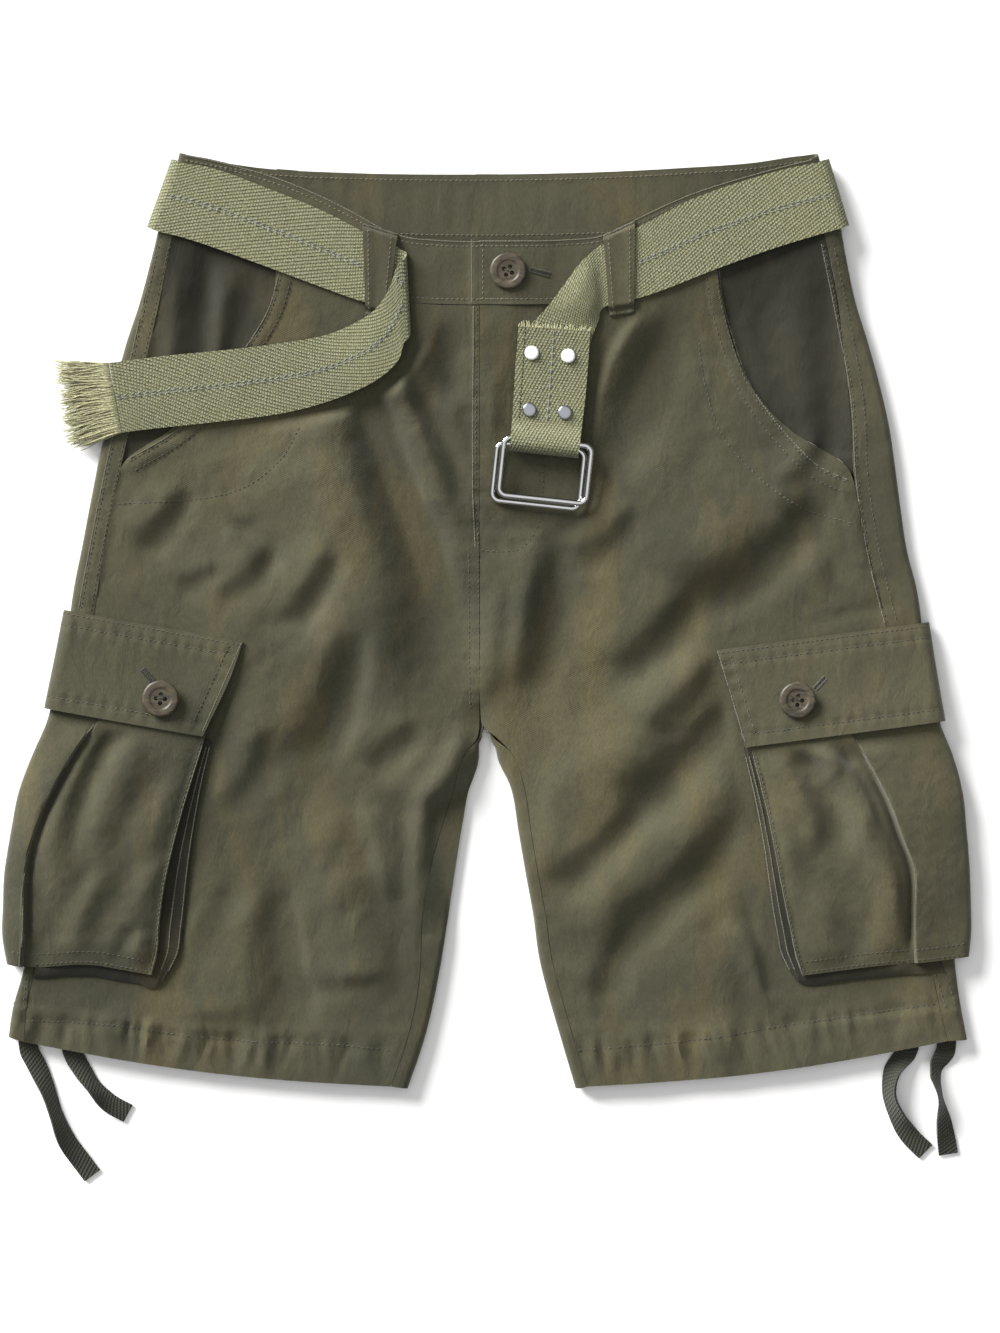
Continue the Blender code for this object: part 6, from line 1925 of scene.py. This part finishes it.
# Distance from the axis as a share of the radius, and height.
RIVET_PROFILE = [(0.0, 1.30), (0.30, 1.29), (0.55, 1.25), (0.74, 1.16), (0.86, 1.0), (0.94, 0.76), (0.99, 0.46),
                 (1.0, 0.28), (1.0, 0.0)]
RIVET_SEGMENTS = 40


def rivets():
    profile = [(RIVET_DIAMETER / 2 * share, height) for share, height in RIVET_PROFILE]
    for index, (x, y, web_z) in enumerate(RIVETS, start=1):
        heap = Heap(f"rivet_{index}_head")
        heap.take(*lathe(profile, RIVET_SEGMENTS, (x, y, web_z + WEB_WALL / 2 + SEAM)))
        # Painted reflection: the upper two rivets are near white, and the lower two a darker steel.
        piece = heap.build(RIVET_STEEL if index > 2 else RIVET_PAINTED_GLINT, "nickel")
        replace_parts(piece, f"rivet_{index}")


# Distance in from the rim, and height.
BUTTON_PROFILE = [(5.6, 2.55), (4.9, 2.65), (4.4, 3.05), (3.9, 3.25), (3.2, 3.3), (1.5, 3.4), (0.8, 3.25),
                  (0.2, 2.7), (0.0, 2.1), (0.3, 1.4), (2.0, 0.0)]
BUTTON_SEGMENTS = 56
BUTTON_HOLE_REACH = 2.7     # of each hole's middle from the button's
BUTTON_HOLE_RADIUS = 1.3
BUTTON_THREAD = 0.24        # the thread's radius, and how far its two strands are off the middle


def button(name, x, y, z, turn):
    """A four-hole button: a wide rim, a step down to a dished middle, and threads crossed through its holes."""
    profile = [(0.0, BUTTON_PROFILE[0][1])]
    profile += [(BUTTON_DIAMETER / 2 - inset, height) for inset, height in BUTTON_PROFILE]
    heap = Heap(name + "_blank")
    heap.take(*lathe(profile, BUTTON_SEGMENTS, (0.0, 0.0, 0.0)))
    blank = heap.build(HORN, "button_brown")
    holes = Heap(name + "_holes")
    places = []
    for quarter in range(4):
        angle = math.radians(45.0 + 90.0 * quarter)
        place = (BUTTON_HOLE_REACH * math.cos(angle), BUTTON_HOLE_REACH * math.sin(angle))
        places.append(place)
        drill = [(0.0, 5.0), (BUTTON_HOLE_RADIUS, 5.0), (BUTTON_HOLE_RADIUS, -1.0)]
        holes.take(*lathe(drill, 16, (*place, 0.0)))
    cutter = holes.build(PAINTED_SLIT_SHADE, "button_brown")
    cut = blank.modifiers.new("Holes", "BOOLEAN")
    cut.operation, cut.object = "DIFFERENCE", cutter
    graph = bpy.context.evaluated_depsgraph_get()
    mesh = bpy.data.meshes.new_from_object(blank.evaluated_get(graph))
    for spare in (blank, cutter):
        bpy.data.objects.remove(spare, do_unlink=True)
    mesh.name = name + "_turned"
    turned = Matrix.Rotation(math.radians(turn), 4, "Z")
    mesh.transform(Matrix.Translation(Vector((x, y, z + SEAM)) * MM) @ turned)
    piece = new_object(mesh, HORN)
    mesh.set_sharp_from_angle(angle=math.radians(40.0))
    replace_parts(piece, name)
    threads = Heap(name + "_thread")
    middle = Matrix.Translation((x, y, z + SEAM)) @ turned
    for first, last, lift in ((0, 2, 0.5), (1, 3, 1.0)):
        start, end = Vector((*places[first], 0.0)), Vector((*places[last], 0.0))
        sideways = Vector((-(end - start).y, (end - start).x, 0.0)).normalized()
        for shift in (-BUTTON_THREAD, BUTTON_THREAD):
            path = []
            for share in spread(0.0, 1.0, 9):
                height = 0.7 + (1.4 + 0.5 * lift) * (1.0 - (2.0 * share - 1.0) ** 4)
                path.append(middle @ (start.lerp(end, share) + sideways * shift + Vector((0.0, 0.0, height))))
            threads.take(*tube(path, BUTTON_THREAD, 6))
    threads.build(DARK_THREAD, "olive_twill")


def button_places():
    yield "waist_button", *WAIST_BUTTON, BAND_TOP + FLY_LIFT, 18.0
    for side, (across, down) in CARGO_BUTTONS.items():
        pocket = POCKETS[side]
        yield f"cargo_button_{side}", *pocket.plan(across, down), pocket.button_seat(across, down), 40.0


# ---------------------------------------------------------------- stitches

class Ground:
    """The upper side of all the cloth, found by looking straight down."""

    def __init__(self, pieces):
        verts, faces, self.starts, self.names = [], [], [], []
        for piece in pieces:
            mesh = piece.obj.data
            offset = len(verts)
            self.starts.append(len(faces))
            self.names.append(piece.name)
            verts += [v.co / MM for v in mesh.vertices]
            faces += [tuple(offset + i for i in face.vertices) for face in mesh.polygons]
        self.tree = BVHTree.FromPolygons(verts, faces)

    def at(self, x, y, upwards=False):
        """The place, normal and name of what is seen at (x, y) from above, or from below."""
        source, aim = ((x, y, -50.0), (0, 0, 1)) if upwards else ((x, y, 80.0), (0, 0, -1))
        place, normal, index, _ = self.tree.ray_cast(source, aim)
        if place is None:
            return None
        return place, normal, self.names[int(np.searchsorted(self.starts, index, side="right")) - 1]


def lens(place, along, normal, length, width, height):
    """One stitch: a closed slim lens that lies in the cloth."""
    side = along.cross(normal).normalized()
    along = normal.cross(side)
    verts = [place - along * length / 2 - normal * 0.10]
    for share in (-0.22, 0.22):
        middle = place + along * length * share
        verts += [middle - side * width / 2 - normal * 0.05, middle + normal * height,
                  middle + side * width / 2 - normal * 0.05]
    verts.append(place + along * length / 2 - normal * 0.10)
    tips = [(0, 2, 1), (0, 3, 2), (0, 1, 3), (4, 5, 7), (5, 6, 7), (6, 4, 7)]
    return verts, tips[:3] + [(1, 2, 5, 4), (2, 3, 6, 5), (3, 1, 4, 6)] + tips[3:]


class Sewing(Heap):
    """Rows of stitches on what shows from above, or from below."""

    def __init__(self, name, ground, seed):
        super().__init__(name)
        self.ground = ground
        self.mixer = np.random.default_rng(seed)

    @staticmethod
    def wanted(name, on):
        """Whether a piece is in a list of names, in which those that end in _ stand for all that begin so."""
        return any(name == one or one[-1] == "_" and name.startswith(one) for one in on)

    def row(self, points, on, pitch=3.0, length=2.3, width=0.75, height=0.42, upwards=False, lean=0.0):
        line, at = smooth_line(points, 1.0)
        total = at[-1]
        count = int(total / pitch)
        for i in range(count):
            place = (i + 0.5 + self.mixer.uniform(-0.08, 0.08)) * total / count
            x, y = (np.interp(place, at, line[:, k]) for k in range(2))
            hit = self.ground.at(x, y, upwards)
            if hit is None or not self.wanted(hit[2], on):
                continue
            ahead = [np.interp(min(place + 1.0, total), at, line[:, k]) for k in range(2)]
            behind = [np.interp(max(place - 1.0, 0.0), at, line[:, k]) for k in range(2)]
            run = Vector((ahead[0] - behind[0], ahead[1] - behind[1], 0.0))
            run.rotate(Matrix.Rotation(math.radians(lean + self.mixer.uniform(-4.0, 4.0)), 3, "Z"))
            normal = hit[1] if (hit[1].z > 0.0) != upwards else -hit[1]
            rise = min(height, max(hit[0].z - 0.02, 0.05)) if upwards else height
            run = (run - normal * run.dot(normal)).normalized()
            size = length * self.mixer.uniform(0.88, 1.06)
            self.take(*lens(hit[0], run, normal, size, width, rise))


PANELS = ("front_", "back_", "pocket_facing_")
BAND_ROW_SHARES = (0.09, 0.92)      # of the way from the waistband's upper edge to its lower
BAND_END_ROW = [(-2.4, 226.0), (-2.4, 191.0)]


def panel_stitches(ground):
    sewing = Sewing("panel_stitches", ground, 31)
    rows = [line for line, _, _ in SINGLE_ROWS]
    rows += [offset_line(mouth, turn * inside) for mouth, turn in MOUTHS for inside in MOUTH_ROWS]
    rows += [line for line, _, _ in BAG_ROWS]
    rows += [offset_line(seam, turn * outside) for seam, turn in SIDE_SEAMS for outside in SIDE_ROWS]
    for row in rows + [HEM_RIGHT, HEM_LEFT]:
        sewing.row(row, PANELS)
    for furrow in BACK_FURROWS:
        sewing.row(furrow, PANELS, upwards=True)
    sewing.build(THREAD, "olive_twill")


def on_pocket(pocket, places):
    """Places across and down a pocket, as x and y."""
    return [tuple(pocket.plan(across, down)) for across, down in places]


def pocket_stitches(ground):
    for side, pocket in POCKETS.items():
        sewing = Sewing(f"cargo_stitches_{side}", ground, 32)
        front, low_front, outer = pocket.flap.rows[0][1], pocket.flap.rows[2][1], pocket.flap.rows[2][2]
        for start, end in (((front - 1.5, 2.2), (outer, 2.2)), ((front - 2.0, 9.0), (outer, 9.0)),
                           ((low_front - 7.0, 52.5), (outer, 52.5)), ((front - 7.5, 3.0), (low_front - 7.0, 52.5))):
            sewing.row(on_pocket(pocket, [start, end]), (f"cargo_flap_{side}",))
        last = pocket.bottom
        rows = [[(pocket.bag_row(down)[1] - 1.6, down) for down in spread(60.0, last - 2.0, 9)]]
        _, bag_front, _, _, bag_outer, _, _ = pocket.bag_row(last)
        for inside in (1.8, 8.0):
            rows.append([(across, last - inside + pocket.drop(across))
                         for across in spread(bag_front - 1.5, bag_outer + 2.0, 9)])
        for row in rows:
            sewing.row(on_pocket(pocket, row), (f"cargo_face_{side}",))
        sewing.build(THREAD, "olive_twill")


def along_strip(table, share):
    """Points along the waistband or belt, at a share of the way from its upper edge to its lower."""
    return [(ux + (lx - ux) * share, uy + (ly - uy) * share) for ux, uy, _, lx, ly, _, _ in table]


def band_stitches(ground):
    sewing = Sewing("waist_stitches", ground, 33)
    for table in (BAND_LEFT_FRONT, BAND_RIGHT_FRONT):
        for share in BAND_ROW_SHARES:
            sewing.row(along_strip(table, share), ("waistband",))
    for share in BAND_ROW_SHARES:
        for upwards in (True, False):
            sewing.row(along_strip(BAND_BACK, share), ("waistband",), upwards=upwards)
    sewing.row(BAND_END_ROW, ("waistband",))
    for name, corners in (*FRONT_LOOPS.items(), *BACK_LOOPS.items()):
        upper_right, upper_left, lower_right, lower_left = (np.array(corner) for corner in corners)
        below = name.startswith("belt_loop_back")
        for u in (0.16, 0.84):
            start, end = upper_right + (upper_left - upper_right) * u, lower_right + (lower_left - lower_right) * u
            sewing.row([start, end], (name,), pitch=2.8, length=2.1, upwards=below)
        for v in (0.02, 0.98):
            start, end = upper_right + (lower_right - upper_right) * v, upper_left + (lower_left - upper_left) * v
            sewing.row([start, end], (name,), pitch=0.8, length=2.2, width=0.7, upwards=below, lean=70.0)
    sewing.build(BAND_THREAD, "olive_twill")


RIM = {"pitch": 1.9, "length": 3.0, "width": 0.9, "height": 0.4}      # the painted highlight rims' stitches, which overlap


def worn_edges(ground):
    """The paler, rolled rims on folded edges and piped seams: painted highlight where these lips catch the light.
    """
    rims = Sewing("worn_edges", ground, 37)
    for line, beside in ((RIGHT_MOUTH, 0.7), (LEFT_MOUTH, -0.7), (FLY_EDGE, 0.5), (RIGHT_SEAM, -9.4),
                         (LEFT_SEAM, 0.8)):
        rims.row(offset_line(line, beside), PANELS, **RIM)
    for side, pocket in POCKETS.items():
        last = pocket.bottom
        face, gusset_name, flap = (f"cargo_{kind}_{side}" for kind in ("face", "gusset", "flap"))
        for share, on in ((-0.06, face), (0.45, gusset_name), (0.88, gusset_name)):
            places = []
            for down in spread(66.0, last - 4.0, 12):
                _, edge, width, *_ = pocket.bag_row(down)
                places.append((edge + width * share, down))
            rims.row(on_pocket(pocket, places), (on,), **RIM | {"width": 0.8})
        lip = [(pocket.bag_row(down)[3] - 0.6, down) for down in spread(64.0, last - 3.0, 12)]
        rims.row(on_pocket(pocket, lip), (face,), **RIM)
        front, low_front = pocket.flap.rows[0][1], pocket.flap.rows[2][1]
        rims.row(on_pocket(pocket, [(front - 0.5, 1.0), (low_front - 0.5, 57.0)]), (flap,),
                 **RIM | {"width": 0.8, "height": 0.3})
    for table in (BAND_LEFT_FRONT, BAND_RIGHT_FRONT):
        rims.row(along_strip(table, 0.02), ("waistband",), **RIM)
    rims.row([(-9.2, 228.0), (-8.9, 190.0)], ("waistband",), **RIM)
    rims.build(EDGE_HIGHLIGHT, "olive_twill")


# From end to end: the waistband's, and the right and left flaps'.
BUTTONHOLES = [[(25.8, 209.7), (37.8, 206.7)], [(-206.4, -29.1), (-197.4, -39.3)], [(196.2, -41.4), (202.8, -34.2)]]
WHIP_OFFSET = 1.15


def buttonholes(ground):
    whip, slit = Sewing("buttonhole_thread", ground, 34), Sewing("buttonhole_slits", ground, 35)
    on = ("waistband", "cargo_flap_")
    for hole in BUTTONHOLES:
        for beside in (-WHIP_OFFSET, WHIP_OFFSET):
            whip.row(offset_line(hole, beside), on, pitch=0.62, length=2.3, width=0.8, lean=90.0)
        # The slits are near-black lenses: painted shade in each buttonhole's cut.
        slit.row(hole, on, pitch=1.5, length=2.6, width=1.0, height=0.3)
    whip.build(THREAD, "olive_twill")
    slit.build(PAINTED_SLIT_SHADE, "olive_twill")


STRAP_LIP = 0.10        # the dark row's place across the strap, beside its left edge


def belt_stitches(ground):
    """The coloured running stitch along the web's middle, and the dark row beside the strap's left edge."""
    sewing = Sewing("belt_stitches", ground, 36)
    on = ("belt",)
    for table in (TAIL, BELT_RIGHT_FRONT, BELT_LEFT_FRONT):
        for share, lean in ((0.48, 24.0), (0.52, -20.0)):
            sewing.row(along_strip(table, share), on, pitch=4.1, length=3.4, width=1.2, height=0.45, lean=lean)
    sewing.row(along_strip(STRAP_UPPER, 0.5), on, pitch=4.4, length=4.2, width=1.5, height=0.5, lean=7.0)
    sewing.row(along_strip(BELT_BACK, 0.5), on, pitch=4.4, length=3.2, width=1.3, height=0.4, upwards=True)
    sewing.build(BLUE_THREAD, "khaki_web")
    sewing = Sewing("strap_edge_row", ground, 37)
    sewing.row(along_strip(STRAP_UPPER, STRAP_LIP), on, pitch=2.2, length=2.1, width=1.1, height=0.34, lean=3.0)
    sewing.build(DARK_THREAD, "khaki_web")


# ---------------------------------------------------------------- fringe

def raw_end(end, before):
    """A raw end's upper and lower corners, from the strip's last two rows, and the ways out of it and down it."""
    end, before = np.array(end), np.array(before)
    upper, lower = Vector(end[0:3]), Vector(end[3:6])
    outward = Vector((*(end[0:2] + end[3:5] - before[0:2] - before[3:5]), 0.0)).normalized()
    return upper, lower, outward, (lower - upper).normalized()


def fringe():
    """The tail's ravelled end, and the short ravelling of the strap's raw end."""
    upper, lower, outward, sideways = raw_end(TAIL[0], TAIL[1])
    mixer = np.random.default_rng(7)
    heap = Heap("belt_fringe_strands")
    for i in range(FRINGE_YARNS):
        share = (i + mixer.uniform(0.0, 1.0)) / FRINGE_YARNS
        root = upper.lerp(lower, share) + Vector((0.0, 0.0, mixer.uniform(-0.6, 0.6))) + outward * 0.3
        length = FRINGE_LENGTH * mixer.uniform(0.8, 1.3)
        fan = (share - 0.5) * FRINGE_FAN + mixer.normal(0.0, 1.8)
        curl, phase = mixer.uniform(0.5, 2.4), mixer.uniform(0.0, 6.28)
        tip_height = mixer.uniform(0.5, 9.0)
        path, radii = [], []
        for reach in spread(0.0, 1.0, 9):
            bend = curl * math.sin(phase + 5.0 * reach) * reach
            place = root + outward * length * reach * (1.0 - 0.04 * curl) + sideways * (fan * reach**1.3 + bend)
            place.z = root.z + (tip_height - root.z) * reach**1.5 + 0.35 * math.sin(phase + 7.0 * reach) * reach
            place.z = max(place.z, 0.45)
            path.append(place)
            radii.append(YARN_RADIUS * (1.0 - 0.35 * reach))
        heap.take(*tube(path, radii, 4))
    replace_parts(heap.build(WEB_YARN, "khaki_web"), "belt_fringe")

    heap = Heap("strap_end_yarns")
    upper, lower, outward, sideways = raw_end(STRAP_UPPER[-1], STRAP_UPPER[-2])
    for i in range(STRAP_YARNS):
        share = (i + mixer.uniform(0.1, 0.9)) / STRAP_YARNS
        root = upper.lerp(lower, share) + Vector((0.0, 0.0, mixer.uniform(-0.4, 0.5))) - outward * 0.6
        length = mixer.uniform(1.6, 4.6)
        lean = mixer.normal(0.0, 0.8)
        path = [root + outward * length * reach + sideways * lean * reach + Vector((0.0, 0.0, -0.5 * reach**2))
                for reach in spread(0.0, 1.0, 4)]
        heap.take(*tube(path, [YARN_RADIUS, 0.34, 0.30, 0.2], 4))
    heap.build(WEB_YARN, "khaki_web")


PIECES = []     # the cloth that is built
POCKETS = {
    "right": Pocket(RIGHT_POCKET, RIGHT_BAG, RIGHT_FLAP, BAG_OUTER_DROP[0]),
    "left": Pocket(LEFT_POCKET, LEFT_BAG, LEFT_FLAP, BAG_OUTER_DROP[1]),
}
camera()
drawstrings()
legs()
pockets()
waist()
rings()
rivets()
for button_name, *button_place in button_places():
    button(button_name, *button_place)
GROUND = Ground(PIECES)
panel_stitches(GROUND)
pocket_stitches(GROUND)
band_stitches(GROUND)
worn_edges(GROUND)
buttonholes(GROUND)
belt_stitches(GROUND)
fringe()
studio()
floor()

bpy.context.view_layer.update()
